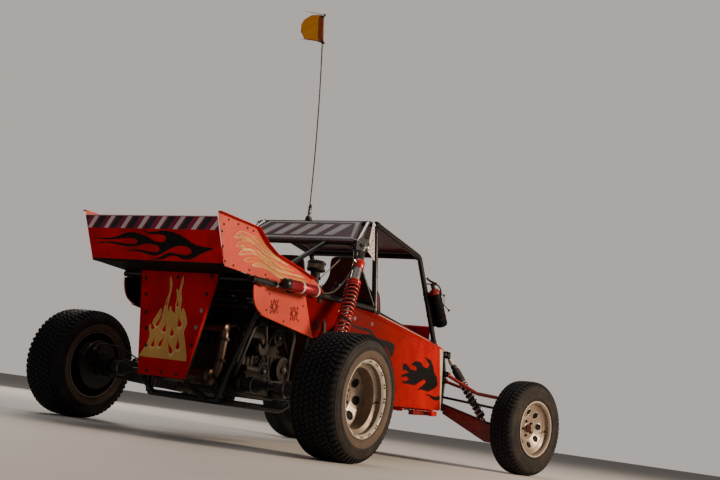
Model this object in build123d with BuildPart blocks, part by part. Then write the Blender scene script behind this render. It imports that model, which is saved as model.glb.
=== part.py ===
from build123d import *
import os
from math import cos, radians, sin

# Two-seat dune buggy on a tubular frame, millimetres.
# +X forward, +Y left, +Z up, z = 0 is the floor under the tyres.
# The tables below measure x from the rear axle; MID moves the origin to the
# middle of the overall length, on the floor.
os.makedirs("parts", exist_ok=True)

MID = 1161.65  # rear axle to the middle of the overall length
GAP = 0.25  # clearance at a coped tube end
SIDES = (-1, 1)  # right, left

# Wheels
REAR_TYRE_R, REAR_TYRE_W = 342.0, 289.0
FRONT_TYRE_R, FRONT_TYRE_W = 352.0, 213.0
RIM_R = 209.0  # flange radius of a 15 inch rim
REAR_RIM_W, FRONT_RIM_W = 268.0, 198.0
REAR_FACE_Y = 1137.0  # outer rim plane from the centre plane
KING_X, KING_Y = 2601.0, 942.0  # kingpin
FRONT_FACE = 230.0  # outer rim plane from the kingpin, along the axle
STEER_REST = -13.4  # front wheels at rest turn to the right
REAR_DISC, FRONT_DISC = 152.0, 83.0  # hub face of the disc behind the outer rim plane
HUB_FACE_R, DISC_R, DISH = 88.0, 165.0, 33.0  # flat hub face, then a cone towards the outside
VENT_R, VENT_CIRCLE = 25.0, 124.0  # eight round holes in the cone
SPINDLE_R = 18.0
TYRE_RIM_GAP = 0.3

# Tube radii
MAIN, MINOR, THIN = 19.0, 15.0, 11.0

# Panels
SHEET = 3.0
WING_HALF = 486.0
WING_REAR = [(-661, 1156), (-545, 920), (-248, 912)]  # x, z of the bent sheet
END_PLATE = [(-664, 1186), (-317, 1185), (-215, 1120), (-118, 1081), (108, 1052),
             (292, 1020), (429, 968), (395, 955), (-187, 921), (-541, 918)]
END_LIP = 22.0  # turned-out top lip
SKIRT_X, SKIRT_TOP, SKIRT_BOTTOM = -340.0, (908, 283), (315, 171)  # z, half width
COVER_Y = 489.0
COVER = [(-265, 868), (-243, 801), (-222, 752), (-156, 722), (411, 668), (411, 914)]
COVER_NOSE = [(411, 668), (575, 775), (593, 905), (411, 914)]
COVER_TOE_OUT = 20.0  # degrees, front part of the cover
PANEL_PLAN = [(600, 590), (1270, 650), (2262, 484)]  # x, y of the outer skin
PANEL_SIDE = [(600, 905), (1000, 876), (1270, 846), (2165, 844), (2255, 390),
              (1210, 357), (760, 350), (620, 560)]


def V(x, y, z):
    return Vector(x - MID, y, z)


def span(p, q):
    return (V(*q) - V(*p)).length


def along(p, q):
    return Plane(origin=V(*p), z_dir=V(*q) - V(*p))


def tube(p, q, r):
    """Round bar from p to q."""
    with Locations(along(p, q).location):
        Cylinder(r, span(p, q), align=(Align.CENTER, Align.CENTER, Align.MIN))


def bore(p, q, r, past=0.0):
    """Round hole from p to q, running on past both ends."""
    with Locations(along(p, q).offset(-past).location):
        Cylinder(r, span(p, q) + 2 * past, align=(Align.CENTER, Align.CENTER, Align.MIN), mode=Mode.SUBTRACT)


def both(table):
    """Rows of a tube table, with a mirrored copy of each row marked as a pair."""
    for p, q, r, pair in table:
        if pair:
            for s in SIDES:
                yield (p[0], s * p[1], p[2]), (q[0], s * q[1], q[2]), r
        else:
            yield p, q, r


def coped(table):
    """Lays the bars in order; each clears the ends of those laid before it."""
    for i, (p, q, r) in enumerate(both(table)):
        if i:
            bore(p, q, r + GAP, past=r)
        tube(p, q, r)


def clear_of(*tables):
    for table in tables:
        for p, q, r in both(table):
            bore(p, q, r + GAP, past=r)


def save(part, name):
    part.label = name
    export_step(part, f"parts/{name}.step")


# ---------------------------------------------------------------- frame tubes
# columns: from (x, y, z), to (x, y, z), radius, mirrored pair
HOOP_TOP, HOOP_BASE = (945, 480, 1528), (962, 552, 940)
ROOF_FRONT = (1630, 478, 1453)
ROOF_REAR = (728, 486, 1345)
PILLAR_BASE = (2012, 498, 862)
FLOOR_REAR, FLOOR_FRONT = (760, 420, 300), (2120, 440, 392)

LOWER_FRAME = [
    ((60, -330, 222), (60, 330, 222), MINOR, False),  # engine cross tube
    ((1400, -440, 343), (1400, 440, 343), MINOR, False),
    ((2120, -440, 392), (2120, 440, 392), MINOR, False),
    ((760, -420, 300), (760, 420, 300), MINOR, False),
    ((1090, 430, 322), (1090, 590, 372), THIN, True),  # outriggers under the side panels
    ((1980, 440, 383), (1980, 500, 395), THIN, True),
    ((-150, -250, 222), (-150, 250, 222), MAIN, False),  # rear of the engine cradle
    ((-150, 250, 222), (300, 385, 222), MAIN, True),
    ((420, 400, 292), (300, 385, 222), MAIN, True),
    (FLOOR_REAR, (420, 400, 292), MAIN, True),
    (FLOOR_REAR, FLOOR_FRONT, MAIN, True),
]
ROLL_CAGE = [
    ((728, 0, 1345), (945, 0, 1528), MINOR, False),  # centre of the roof
    ((945, 0, 1528), (1630, 0, 1453), MINOR, False),
    ((728, 250, 1345), (-60, 360, 912), MINOR, True),  # rear stays
    ((706, 478, 1330), (958, 548, 960), THIN, True),  # shock tower diagonal
    ((728, 486, 1345), (760, 505, 950), MINOR, True),  # shock tower upright
    ((962, -552, 1000), (962, 552, 1000), MINOR, False),  # harness bar
    (HOOP_BASE, (1010, 425, 317), MAIN, True),  # hoop legs down to the floor rail
    (PILLAR_BASE, (2105, 440, 391), MINOR, True),
    (HOOP_BASE, PILLAR_BASE, MINOR, True),  # shoulder rail
    ((2000, -498, 880), (2000, 498, 880), MINOR, False),  # dash bar
    ((945, 428, 1528), ROOF_REAR, MINOR, True),
    ((728, -486, 1345), (728, 486, 1345), MINOR, False),
    (ROOF_FRONT, PILLAR_BASE, MAIN, True),
    (HOOP_TOP, ROOF_FRONT, MAIN, True),
    ((1630, -478, 1453), (1630, 478, 1453), MAIN, False),
    (HOOP_TOP, HOOP_BASE, MAIN, True),
    ((945, -480, 1528), (945, 480, 1528), MAIN, False),
]
REAR_CAGE = [
    ((-60, -512, 910), (-60, 512, 910), MINOR, False),
    ((-318, 262, 895), (-318, 160, 300), MINOR, True),  # uprights behind the skirt
    ((-318, 160, 330), (-170, 200, 232), MINOR, True),
    ((-318, -160, 330), (-318, 160, 330), THIN, False),
    ((-60, 440, 910), (-140, 256, 226), MINOR, True),
    ((-318, -512, 893), (-318, 430, 893), MINOR, False),
    ((420, -512, 936), (420, 512, 936), MINOR, False),
    ((420, 440, 936), (415, 402, 292), MINOR, True),
    ((395, 512, 935), (955, 548, 950), MAIN, True),
    ((-325, -512, 895), (395, -512, 935), MAIN, False),
    ((-240, 512, 900), (395, 512, 935), MAIN, False),
]
NOSE_FRAME = [
    ((2500, -345, 842), (2500, 345, 842), MINOR, False),
    ((2400, 362, 436), (2400, 374, 846), MINOR, True),
    ((2745, -262, 690), (2745, 262, 690), MINOR, False),
    ((2745, -262, 470), (2745, 262, 470), MINOR, False),
    ((2745, 262, 470), (2745, 262, 690), MINOR, True),
    ((2500, 345, 842), (2745, 262, 690), MINOR, True),
    ((2085, 462, 655), (2745, 262, 690), MINOR, True),
    ((2120, 440, 392), (2745, 262, 470), MINOR, True),
    (PILLAR_BASE, (2500, 345, 842), MINOR, True),
]

# towing eyes: level plates with an upright round hole, x, y, z of the hole
TOW_R, TOW_T = 11.0, 12.0
TOW_REAR, TOW_FRONT = (-202, -135, 222), (2792, 0, 470)


with BuildPart() as lower_frame:
    coped(LOWER_FRAME)
    with BuildSketch(Plane.XY.offset(TOW_REAR[2] - TOW_T / 2)):
        with Locations((TOW_REAR[0] - MID, TOW_REAR[1])):
            Circle(24)
            with Locations((26, 0)):
                Rectangle(52, 66)
            Circle(TOW_R, mode=Mode.SUBTRACT)
    extrude(amount=TOW_T)
    bore((-150, -200, 222), (-150, -60, 222), MAIN + GAP)
    tube((-150, -200, 222), (-150, -60, 222), MAIN)
save(lower_frame.part, "lower_frame")

with BuildPart() as roll_cage:
    coped(ROLL_CAGE)
    clear_of(LOWER_FRAME, REAR_CAGE[:1])
save(roll_cage.part, "roll_cage")

with BuildPart() as rear_cage:
    coped(REAR_CAGE)
    clear_of(LOWER_FRAME, ROLL_CAGE[2:])
save(rear_cage.part, "rear_cage")

with BuildPart() as nose_frame:
    coped(NOSE_FRAME)
    with BuildSketch(Plane.XY.offset(TOW_FRONT[2] - TOW_T / 2)):
        with Locations((TOW_FRONT[0] - MID, TOW_FRONT[1])):
            Circle(24)
            with Locations((-15, 0)):
                Rectangle(30, 48)
            Circle(TOW_R, mode=Mode.SUBTRACT)
    extrude(amount=TOW_T)
    clear_of(LOWER_FRAME, ROLL_CAGE)
save(nose_frame.part, "nose_frame")

# ---------------------------------------------------------------- sheet panels
with BuildPart() as floor_pan:
    with BuildSketch(Plane(origin=V(785, 0, 324), x_dir=(1360, 0, 92), z_dir=(-92, 0, 1360))):
        with BuildLine():
            Polyline((0, -396), (1330, -412), (1330, 412), (0, 396), close=True)
        make_face()
    extrude(amount=SHEET)
save(floor_pan.part, "floor_pan")

with BuildPart() as side_steps:
    for s in SIDES:
        with BuildSketch(Plane(origin=V(1670, s * 548, 321), x_dir=(450, s * -70, 20), z_dir=(-20, 0, 450))):
            Rectangle(455, 34, align=(Align.MIN, Align.CENTER))
        extrude(amount=38)
save(side_steps.part, "side_steps")

SKIN_IN = [(x, y - SHEET) for x, y in PANEL_PLAN]
for side, s in (("right", -1), ("left", 1)):
    with BuildPart() as side_panel:
        with BuildSketch(Plane.XY.offset(300)):
            with BuildLine():
                Polyline(*[(x - MID, s * y) for x, y in PANEL_PLAN + SKIN_IN[::-1]], close=True)
            make_face()
        extrude(amount=700)
        with BuildSketch(Plane.XZ.offset(-700)):
            with BuildLine():
                Polyline(*[(x - MID, z) for x, z in PANEL_SIDE], close=True)
            make_face()
        extrude(amount=1400, mode=Mode.INTERSECT)
    save(side_panel.part, f"side_panel_{side}")

# nose panel: a hood sheet over the nose rails, bent down at its front
NOSE_TOP = [(2050, 462, 900), (2490, 352, 870), (2762, 250, 722)]  # x, half width, z
with BuildPart() as nose_panel:
    with BuildSketch(Plane.XZ.offset(-500)):
        with BuildLine():
            Polyline(*[(x - MID, z) for x, w, z in NOSE_TOP],
                     *[(x - MID, z + SHEET) for x, w, z in NOSE_TOP[::-1]], close=True)
        make_face()
    extrude(amount=1000)
    with BuildSketch(Plane.XY.offset(600)):
        with BuildLine():
            Polyline(*[(x - MID, w) for x, w, z in NOSE_TOP],
                     *[(x - MID, -w) for x, w, z in NOSE_TOP[::-1]], close=True)
        make_face()
    extrude(amount=400, mode=Mode.INTERSECT)
save(nose_panel.part, "nose_panel")

with BuildPart() as dash_panel:
    with BuildSketch(Plane(origin=V(1978, 0, 802), x_dir=(0, -1, 0), z_dir=(-1, 0, -0.12))):
        Rectangle(944, 182, align=(Align.CENTER, Align.MIN))
    extrude(amount=SHEET)
save(dash_panel.part, "dash_panel")

with BuildPart() as rear_roof_panel:
    with BuildSketch(Plane(origin=V(713, 0, 1360), x_dir=(0, -1, 0), z_dir=(-183, 0, 217))):
        with BuildLine():
            Polyline((-480, 0), (480, 0), (392, 272), (-392, 272), close=True)
        make_face()
    extrude(amount=SHEET)
save(rear_roof_panel.part, "rear_roof_panel")

with BuildPart() as front_roof_panel:
    with BuildSketch(Plane(origin=V(972, 0, 1546), x_dir=(685, 0, -75), z_dir=(75, 0, 685))):
        Rectangle(676, 950, align=(Align.MIN, Align.CENTER))
    extrude(amount=SHEET)
save(front_roof_panel.part, "front_roof_panel")

with BuildPart() as wing_panel:
    with BuildSketch(Plane.XZ.offset(-WING_HALF)):
        with BuildLine():
            Polyline(*[(x - MID, z) for x, z in WING_REAR],
                     *[(x - MID + dx, z + SHEET) for (x, z), dx in zip(WING_REAR[::-1], (0, 3, 4))], close=True)
        make_face()
    extrude(amount=2 * WING_HALF)
save(wing_panel.part, "wing_panel")

with BuildPart() as wing_end_plates:
    with BuildSketch(Plane.XZ.offset(487)):
        with BuildLine():
            Polyline(*[(x - MID, z) for x, z in END_PLATE], close=True)
        make_face()
    extrude(amount=SHEET)
    with BuildSketch(Plane.XZ.offset(490)):
        for (xa, za), (xb, zb) in zip(END_PLATE[:6], END_PLATE[1:6] + END_PLATE[5:6]):
            if xa != xb:
                with BuildLine():
                    Polyline((xa - MID, za), (xb - MID, zb), (xb - MID, zb - SHEET), (xa - MID, za - SHEET), close=True)
                make_face()
    extrude(amount=END_LIP)
    mirror(about=Plane.XZ)
save(wing_end_plates.part, "wing_end_plates")

with BuildPart() as engine_covers:
    with BuildSketch(Plane.XZ.offset(COVER_Y - SHEET)):
        with BuildLine():
            Polyline(*[(x - MID, z) for x, z in COVER], close=True)
        make_face()
    extrude(amount=SHEET)
    toe = radians(COVER_TOE_OUT)
    with BuildSketch(Plane(origin=V(411, -COVER_Y + SHEET, 0), x_dir=(cos(toe), -sin(toe), 0),
                           z_dir=(-sin(toe), -cos(toe), 0))):
        with BuildLine():
            Polyline(*[((x - 411) / cos(toe), z) for x, z in COVER_NOSE], close=True)
        make_face()
    extrude(amount=SHEET)
    mirror(about=Plane.XZ)
save(engine_covers.part, "engine_covers")

with BuildPart() as rear_skirt_panel:
    with BuildSketch(Plane.YZ.offset(SKIRT_X - MID)):
        with BuildLine():
            (zt, wt), (zb, wb) = SKIRT_TOP, SKIRT_BOTTOM
            Polyline((-wb, zb), (wb, zb), (wt, zt), (-wt, zt), close=True)
        make_face()
    extrude(amount=SHEET)
save(rear_skirt_panel.part, "rear_skirt_panel")

# ---------------------------------------------------------------- cockpit
SEAT_Y, SEAT_W = 235.0, 430.0
BACK_FOOT, BACK_LEAN = (1268, 452), 17.0  # x, z of the back's rear foot, degrees
BACK = [(-215, 0), (215, 0), (215, 640), (150, 720), (115, 880), (-115, 880), (-150, 720), (-215, 640)]
lean = radians(BACK_LEAN)
back_plane = Plane(origin=V(BACK_FOOT[0], -SEAT_Y, BACK_FOOT[1]), x_dir=(0, 1, 0), z_dir=(cos(lean), 0, sin(lean)))
with BuildPart() as seats:
    with BuildSketch(back_plane):
        with BuildLine():
            Polyline(*BACK, close=True)
        make_face()
    extrude(amount=70)
    with BuildSketch(back_plane.offset(70)):
        for s in SIDES:
            with BuildLine():
                Polyline((s * 155, 60), (s * 215, 60), (s * 215, 640), (s * 155, 680), close=True)
            make_face()
    extrude(amount=28)
    with BuildSketch(Plane(origin=V(1262, -SEAT_Y, 400), x_dir=(1, 0, 0.10), z_dir=(-0.10, 0, 1))):
        Rectangle(470, SEAT_W, align=(Align.MIN, Align.CENTER))
    extrude(amount=110)
    with BuildSketch(Plane(origin=V(1262, -SEAT_Y, 505), x_dir=(1, 0, 0.10), z_dir=(-0.10, 0, 1))):
        for s in SIDES:
            with Locations((210, s * 185)):
                Rectangle(420, 60)
    extrude(amount=70)
    mirror(about=Plane.XZ)
save(seats.part, "seats")

WHEEL_C, WHEEL_TILT = (1690, 262, 900), 24.0  # steering wheel centre, tilt from upright
tilt = radians(WHEEL_TILT)
COL_DIR = Vector(cos(tilt), 0, -sin(tilt))  # from the wheel down the column
wheel_plane = Plane(origin=V(*WHEEL_C), x_dir=(0, 1, 0), z_dir=COL_DIR)
with BuildPart() as steering_wheel:
    with Locations(wheel_plane.location):
        Torus(165, 14)
        Cylinder(34, 24)
        with PolarLocations(0, 3, start_angle=90):
            with Locations((95, 0, 0)):
                Box(128, 24, 6)
save(steering_wheel.part, "steering_wheel")

with BuildPart() as steering_column:
    with Locations(wheel_plane.offset(18).location):
        Cylinder(16, 262, align=(Align.CENTER, Align.CENTER, Align.MIN))
    with Locations(wheel_plane.offset(150).location):
        Cylinder(24, 90, align=(Align.CENTER, Align.CENTER, Align.MIN))
save(steering_column.part, "steering_column")

with BuildPart() as pedals:
    for y in (180, 262, 344):
        with BuildSketch(Plane(origin=V(2055, y, 470), x_dir=(0, 1, 0), z_dir=(-0.85, 0, 0.5))):
            Rectangle(58, 80)
        extrude(amount=8)
        tube((2056, y, 470), (2088, y, 700), 7)
    tube((2088, 150, 706), (2088, 374, 706), 10)
save(pedals.part, "pedals")

# ---------------------------------------------------------------- engine and drive
PULLEY = (346, 462, 72)  # x, z, radius of the crank pulley
with BuildPart() as engine_block:
    with BuildSketch(Plane.XY.offset(292)):
        with Locations((170 - MID, -100)):
            Rectangle(460, 400)
    extrude(amount=250)
    with BuildSketch(Plane.XY.offset(542)):
        with Locations((125 - MID, -100)):
            Rectangle(350, 400)
    extrude(amount=220)
    with BuildSketch(Plane.XZ.offset(300)):
        for x, z, r in (PULLEY, (150, 430, 52), (250, 640, 48)):
            with Locations((x - MID, z)):
                Circle(r)
    extrude(amount=34)
save(engine_block.part, "engine_block")

with BuildPart() as gearbox:
    with BuildSketch(Plane.XY.offset(252)):
        with Locations((82 - MID, 211)):
            Rectangle(300, 206)
    extrude(amount=220)
    tube((0, 314, 342), (0, 345, 342), 55)
save(gearbox.part, "gearbox")

RAD_X, RAD_Y, RAD_Z = 462, (-118, 408), (560, 972)  # plane of the core, its sides, its bottom and top
with BuildPart() as radiator:
    mid_y, mid_z = sum(RAD_Y) / 2, sum(RAD_Z) / 2
    wide, tall = RAD_Y[1] - RAD_Y[0], RAD_Z[1] - RAD_Z[0]
    with Locations(V(RAD_X, mid_y, mid_z)):
        Box(34, wide - 80, tall - 16)
    for y in (RAD_Y[0] + 22, RAD_Y[1] - 22):
        with Locations(V(RAD_X, y, mid_z)):
            Box(46, 44, tall)
    with Locations(Plane(origin=V(RAD_X + 16, mid_y, mid_z), z_dir=(1, 0, 0)).location):
        Cylinder(196, 34, align=(Align.CENTER, Align.CENTER, Align.MIN))
    with Locations(Plane(origin=V(RAD_X + 24, mid_y, mid_z), z_dir=(1, 0, 0)).location):
        Cylinder(184, 40, align=(Align.CENTER, Align.CENTER, Align.MIN), mode=Mode.SUBTRACT)
    with Locations(Plane(origin=V(RAD_X + 16, mid_y, mid_z), z_dir=(1, 0, 0)).location):
        Cylinder(42, 30, align=(Align.CENTER, Align.CENTER, Align.MIN))
save(radiator.part, "radiator")

with BuildPart() as exhaust:
    for y in (-250, -150, -50, 50):
        tube((-56, y, 660), (-150, y, 640), 19)
    tube((-165, -280, 632), (-165, 80, 632), 26)
    tube((-165, -262, 606), (-175, -262, 380), 26)
    tube((-205, -262, 350), (-205, 150, 350), 48)
save(exhaust.part, "exhaust")

with BuildPart() as air_cleaner:
    tube((700, -222, 1000), (700, -222, 1140), 32)
    tube((700, -222, 1140), (700, -222, 1215), 62)
    tube((700, -222, 1010), (330, -150, 800), 30)
save(air_cleaner.part, "air_cleaner")

# ---------------------------------------------------------------- rear running gear
ARM_PIVOT, HUB_IN = (880, 470, 262), 700.0
AXLE_Z = REAR_TYRE_R
with BuildPart() as trailing_arms:
    a, b = (905, -480, 262), (40, -752, AXLE_Z)
    d = V(*b) - V(*a)
    for origin, w, h in ((V(*a), 60, 62), (V(*b), 70, 124)):
        with BuildSketch(Plane(origin=origin, x_dir=(d.Y, -d.X, 0), z_dir=d)):
            Rectangle(w, h)
    loft()
    tube((880, -440, 262), (880, -512, 262), 36)
    tube((0, -704, AXLE_Z), (0, -800, AXLE_Z), 66)
    tube((0, -800, AXLE_Z), (0, -REAR_FACE_Y + REAR_DISC + 20, AXLE_Z), SPINDLE_R)
    tube((243, -690, 352), (243, -778, 352), 20)
    mirror(about=Plane.XZ)
save(trailing_arms.part, "trailing_arms")

with BuildPart() as drive_shafts:
    tube((0, -346, AXLE_Z), (0, -697, AXLE_Z), 15)
    tube((0, -346, AXLE_Z), (0, -400, AXLE_Z), 44)
    tube((0, -640, AXLE_Z), (0, -697, AXLE_Z), 44)
    mirror(about=Plane.XZ)
save(drive_shafts.part, "drive_shafts")

SHOCK_TOP, SHOCK_LOW = (712, -552, 1320), (234, -736, 394)
with BuildPart() as rear_shocks:
    top, low = V(*SHOCK_TOP), V(*SHOCK_LOW)
    axis = Plane(origin=low, z_dir=top - low)
    L = (top - low).length
    # columns: start, length, radius along the strut from the lower eye
    for start, length, r in ((0, 130, 22), (120, 690, 46), (800, 110, 34), (900, 110, 38), (1000, L - 1000, 20)):
        with Locations(axis.offset(start).location):
            Cylinder(r, length, align=(Align.CENTER, Align.CENTER, Align.MIN))
    mirror(about=Plane.XZ)
save(rear_shocks.part, "rear_shocks")

with BuildPart() as shock_reservoirs:
    tube((-112, -572, 916), (272, -572, 934), 34)
    mirror(about=Plane.XZ)
save(shock_reservoirs.part, "shock_reservoirs")

# ---------------------------------------------------------------- front running gear
LOW_BALL_Z, HIGH_BALL_Z = 272.0, 540.0
with BuildPart() as front_upper_arms:
    # columns: from, to, radius
    for p, q, r in (
        ((2385, -444, 678), (2420, -440, 678), 20),
        ((2622, -318, 640), (2657, -314, 640), 18),
        ((2402, -442, 678), (2475, -683, 562), 13),
        ((2640, -316, 640), (2562, -665, 562), 13),
        ((2477.4, -688, 561.6), (2564.9, -683, 560.7), 11),
        ((2475, -683, 562), (2590, -925, HIGH_BALL_Z + 4), 13),
        ((2562, -665, 562), (2603, -925, HIGH_BALL_Z + 4), 13),
    ):
        tube(p, q, r)
    tube((KING_X, -KING_Y, HIGH_BALL_Z - 14), (KING_X, -KING_Y, HIGH_BALL_Z + 22), 20)
    mirror(about=Plane.XZ)
save(front_upper_arms.part, "front_upper_arms")

LEG_DEPTHS = (76, 132, 100)
with BuildPart() as front_lower_arms:
    for p, q, r in (
        ((2395, -440, 412), (2440, -432, 412), 20),
        ((2656, -318, 440), (2700, -310, 440), 20),
        ((2486, -800, 338), (2668, -800, 338), 9),
    ):
        tube(p, q, r)
    # boxed legs: inner end, deepest section, outer end, and the depths there
    for ends in (((2418, -442, 412), (2485, -790, 290), (2503, -884, 272)),
                 ((2676, -324, 440), (2658.5, -790, 292), (2655, -884, 272))):
        run = V(*ends[2]) - V(*ends[0])
        for i in (0, 1):
            for origin, h in ((ends[i], LEG_DEPTHS[i]), (ends[i + 1], LEG_DEPTHS[i + 1])):
                with BuildSketch(Plane(origin=V(*origin), x_dir=Vector(run.Y, -run.X, 0), z_dir=Vector(-run.X, -run.Y, 0))):
                    Rectangle(26, h)
            loft()
    with BuildSketch(Plane.XY.offset(256)):
        with BuildLine():
            Polyline((2488 - MID, -868), (2668 - MID, -868), (2616 - MID, -944), (2586 - MID, -944), close=True)
        make_face()
    extrude(amount=22)
    tube((KING_X, -KING_Y, LOW_BALL_Z - 30), (KING_X, -KING_Y, LOW_BALL_Z + 10), 20)
    mirror(about=Plane.XZ)
save(front_lower_arms.part, "front_lower_arms")

F_SHOCK_TOP, F_SHOCK_LOW = (2500, -384, 852), (2532, -772, 374)
with BuildPart() as front_shocks:
    top, low = V(*F_SHOCK_TOP), V(*F_SHOCK_LOW)
    axis = Plane(origin=low, z_dir=top - low)
    L = (top - low).length
    for start, length, r in ((0, 340, 31), (335, 120, 25), (450, L - 480, 21), (L - 40, 40, 17)):
        with Locations(axis.offset(start).location):
            Cylinder(r, length, align=(Align.CENTER, Align.CENTER, Align.MIN))
    mirror(about=Plane.XZ)
save(front_shocks.part, "front_shocks")

# ---------------------------------------------------------------- steering
STEER_ARM = 130.0
rest = radians(STEER_REST)


def turned(side, fwd, out):
    """Point fixed to a front wheel: fwd along its plane, out along its axle, at rest."""
    k = -1 if side == "right" else 1
    x, y = fwd, k * out
    return KING_X + x * cos(rest) - y * sin(rest), k * KING_Y + x * sin(rest) + y * cos(rest)


def axle_plane(side, out, z):
    """Plane across a front wheel's axle, out from the kingpin, facing outwards."""
    k = -1 if side == "right" else 1
    x, y = turned(side, 0, out)
    return Plane(origin=V(x, y, z), x_dir=(cos(rest), sin(rest), 0), z_dir=(-k * sin(rest), k * cos(rest), 0))


ROD_Z = 462.0
for side, k in (("right", -1), ("left", 1)):
    with BuildPart() as knuckle:
        tube((KING_X, k * KING_Y, LOW_BALL_Z + 13), (KING_X, k * KING_Y, HIGH_BALL_Z - 17), 17)
        with Locations(axle_plane(side, 0, FRONT_TYRE_R).location):
            Cylinder(30, 58, align=(Align.CENTER, Align.CENTER, Align.MIN))
        with Locations(axle_plane(side, 20, FRONT_TYRE_R).location):
            Cylinder(SPINDLE_R, FRONT_FACE - FRONT_DISC - 34, align=(Align.CENTER, Align.CENTER, Align.MIN))
        bx, by = turned(side, -STEER_ARM, 0)
        tube((KING_X, k * KING_Y, ROD_Z - 30), (bx, by, ROD_Z - 30), 9)
        tube((bx, by, ROD_Z - 42), (bx, by, ROD_Z - 19), 14)
    save(knuckle.part, f"steering_knuckle_{side}")

with BuildPart() as tie_rods:
    for side, k in (("right", -1), ("left", 1)):
        bx, by = turned(side, -STEER_ARM, 0)
        tube((bx, k * 330, 508), (bx, by - k * 10, ROD_Z), 10)
        tube((bx, by, ROD_Z - 12), (bx, by, ROD_Z + 12), 15)
    tube((bx, -332, 508), (bx, 332, 508), 12)
save(tie_rods.part, "tie_rods")

with BuildPart() as steering_rack:
    tube((bx, -215, 508), (bx, 215, 508), 27)
    with Locations(V(bx, 150, 545)):
        Box(52, 60, 44)
    bore((bx, -216, 508), (bx, 216, 508), 13)
save(steering_rack.part, "steering_rack")


# ---------------------------------------------------------------- wheels
def tyre_profile(radius, width, rim_w, out):
    """Half section of a tyre; x is the radius, y runs inboard from its outer side."""
    bead, half = RIM_R + TYRE_RIM_GAP, width / 2
    lip = (width - rim_w) / 2
    return [(bead, out + lip + 6), (bead + 26, out + 2), (bead + 62, out), (radius - 46, out + 6), (radius - 14, out + 26),
            (radius, out + 48), (radius, out + width - 48), (radius - 14, out + width - 26),
            (radius - 46, out + width - 6), (bead + 62, out + width), (bead + 26, out + width - 2),
            (bead, out + width - lip - 6)]


# columns: name, plane across the axle at the outer rim plane (facing inboard), tyre radius, tyre width, rim width, disc depth, turn of the holes
def wheel_plane_rear(k):
    return Plane(origin=V(0, k * REAR_FACE_Y, REAR_TYRE_R), x_dir=(1, 0, 0), z_dir=(0, -k, 0))


def wheel_plane_front(side):
    p = axle_plane(side, FRONT_FACE, FRONT_TYRE_R)
    return Plane(origin=p.origin, x_dir=p.x_dir, z_dir=-p.z_dir)


WHEELS = [
    ("rear_right", wheel_plane_rear(-1), REAR_TYRE_R, REAR_TYRE_W, REAR_RIM_W, REAR_DISC, 4.4),
    ("rear_left", wheel_plane_rear(1), REAR_TYRE_R, REAR_TYRE_W, REAR_RIM_W, REAR_DISC, 4.4),
    ("front_right", wheel_plane_front("right"), FRONT_TYRE_R, FRONT_TYRE_W, FRONT_RIM_W, FRONT_DISC, 35.1),
    ("front_left", wheel_plane_front("left"), FRONT_TYRE_R, FRONT_TYRE_W, FRONT_RIM_W, FRONT_DISC, 35.1),
]
for name, plane, radius, width, rim_w, disc, turn in WHEELS:
    # the section lies in the plane of the axle and the wheel's x direction
    section = Plane(origin=plane.origin, x_dir=plane.x_dir, z_dir=plane.x_dir.cross(plane.z_dir))
    lip = (width - rim_w) / 2
    with BuildPart() as tyre:
        with BuildSketch(section):
            with BuildLine():
                Polyline(*tyre_profile(radius, width, rim_w, -lip), close=True)
            make_face()
        revolve(axis=Axis(plane.origin, plane.z_dir))
    save(tyre.part, f"{name}_tyre")
    with BuildPart() as rim:
        with BuildSketch(section):
            with BuildLine():
                # columns: radius, distance inboard; barrel with bead seats and a drop centre
                Polyline((RIM_R, 0), (RIM_R, 14), (RIM_R - 16, 18), (RIM_R - 18, 40), (RIM_R - 40, 52),
                         (RIM_R - 40, rim_w - 62), (RIM_R - 18, rim_w - 50), (RIM_R - 16, rim_w - 18),
                         (RIM_R, rim_w - 14), (RIM_R, rim_w), (RIM_R - 6, rim_w), (RIM_R - 22, rim_w - 14),
                         (RIM_R - 24, rim_w - 47), (RIM_R - 46, rim_w - 59), (RIM_R - 46, 49), (RIM_R - 24, 37),
                         (RIM_R - 22, 14), (RIM_R - 6, 0), close=True)
            make_face()
        revolve(axis=Axis(plane.origin, plane.z_dir))
        with BuildSketch(section):
            with BuildLine():
                Polyline((0, disc), (HUB_FACE_R, disc), (DISC_R, disc - DISH), (DISC_R, disc - DISH + 7),
                         (HUB_FACE_R, disc + 8), (0, disc + 8), close=True)
            make_face()
        revolve(axis=Axis(plane.origin, plane.z_dir))
        with BuildSketch(plane.offset(disc - 40)):
            with PolarLocations(VENT_CIRCLE, 8, start_angle=turn):
                Circle(VENT_R)
        extrude(amount=60, mode=Mode.SUBTRACT)
        with Locations(plane.offset(disc - 18).location):
            Cylinder(31, 22, align=(Align.CENTER, Align.CENTER, Align.MIN))
        with Locations(plane.offset(disc + 8).location):
            Cylinder(62, 46, align=(Align.CENTER, Align.CENTER, Align.MIN))
        with Locations(plane.offset(disc + 12).location):
            Cylinder(SPINDLE_R + 0.3, 60, align=(Align.CENTER, Align.CENTER, Align.MIN), mode=Mode.SUBTRACT)
    save(rim.part, f"{name}_rim")

# ---------------------------------------------------------------- on the frame
MAST_FOOT, MAST_TOP, MAST_BOW = (945, 72, 1548), (985, 252, 3138), 20.0
with BuildPart() as whip_mast:
    foot, tip = V(*MAST_FOOT), V(*MAST_TOP)
    with BuildLine() as mast_line:
        ThreePointArc(foot, (foot + tip) / 2 + Vector(0, -MAST_BOW, 0), tip)
    with BuildSketch(Plane(origin=foot, z_dir=mast_line.line % 0)):
        Circle(4.5)
    sweep()
    with Locations(V(*MAST_FOOT)):
        Cylinder(22, 24, align=(Align.CENTER, Align.CENTER, Align.MIN))
    with Locations(V(MAST_FOOT[0], MAST_FOOT[1], MAST_FOOT[2] + 24)):
        Cylinder(11, 62, align=(Align.CENTER, Align.CENTER, Align.MIN))
save(whip_mast.part, "whip_mast")

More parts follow.
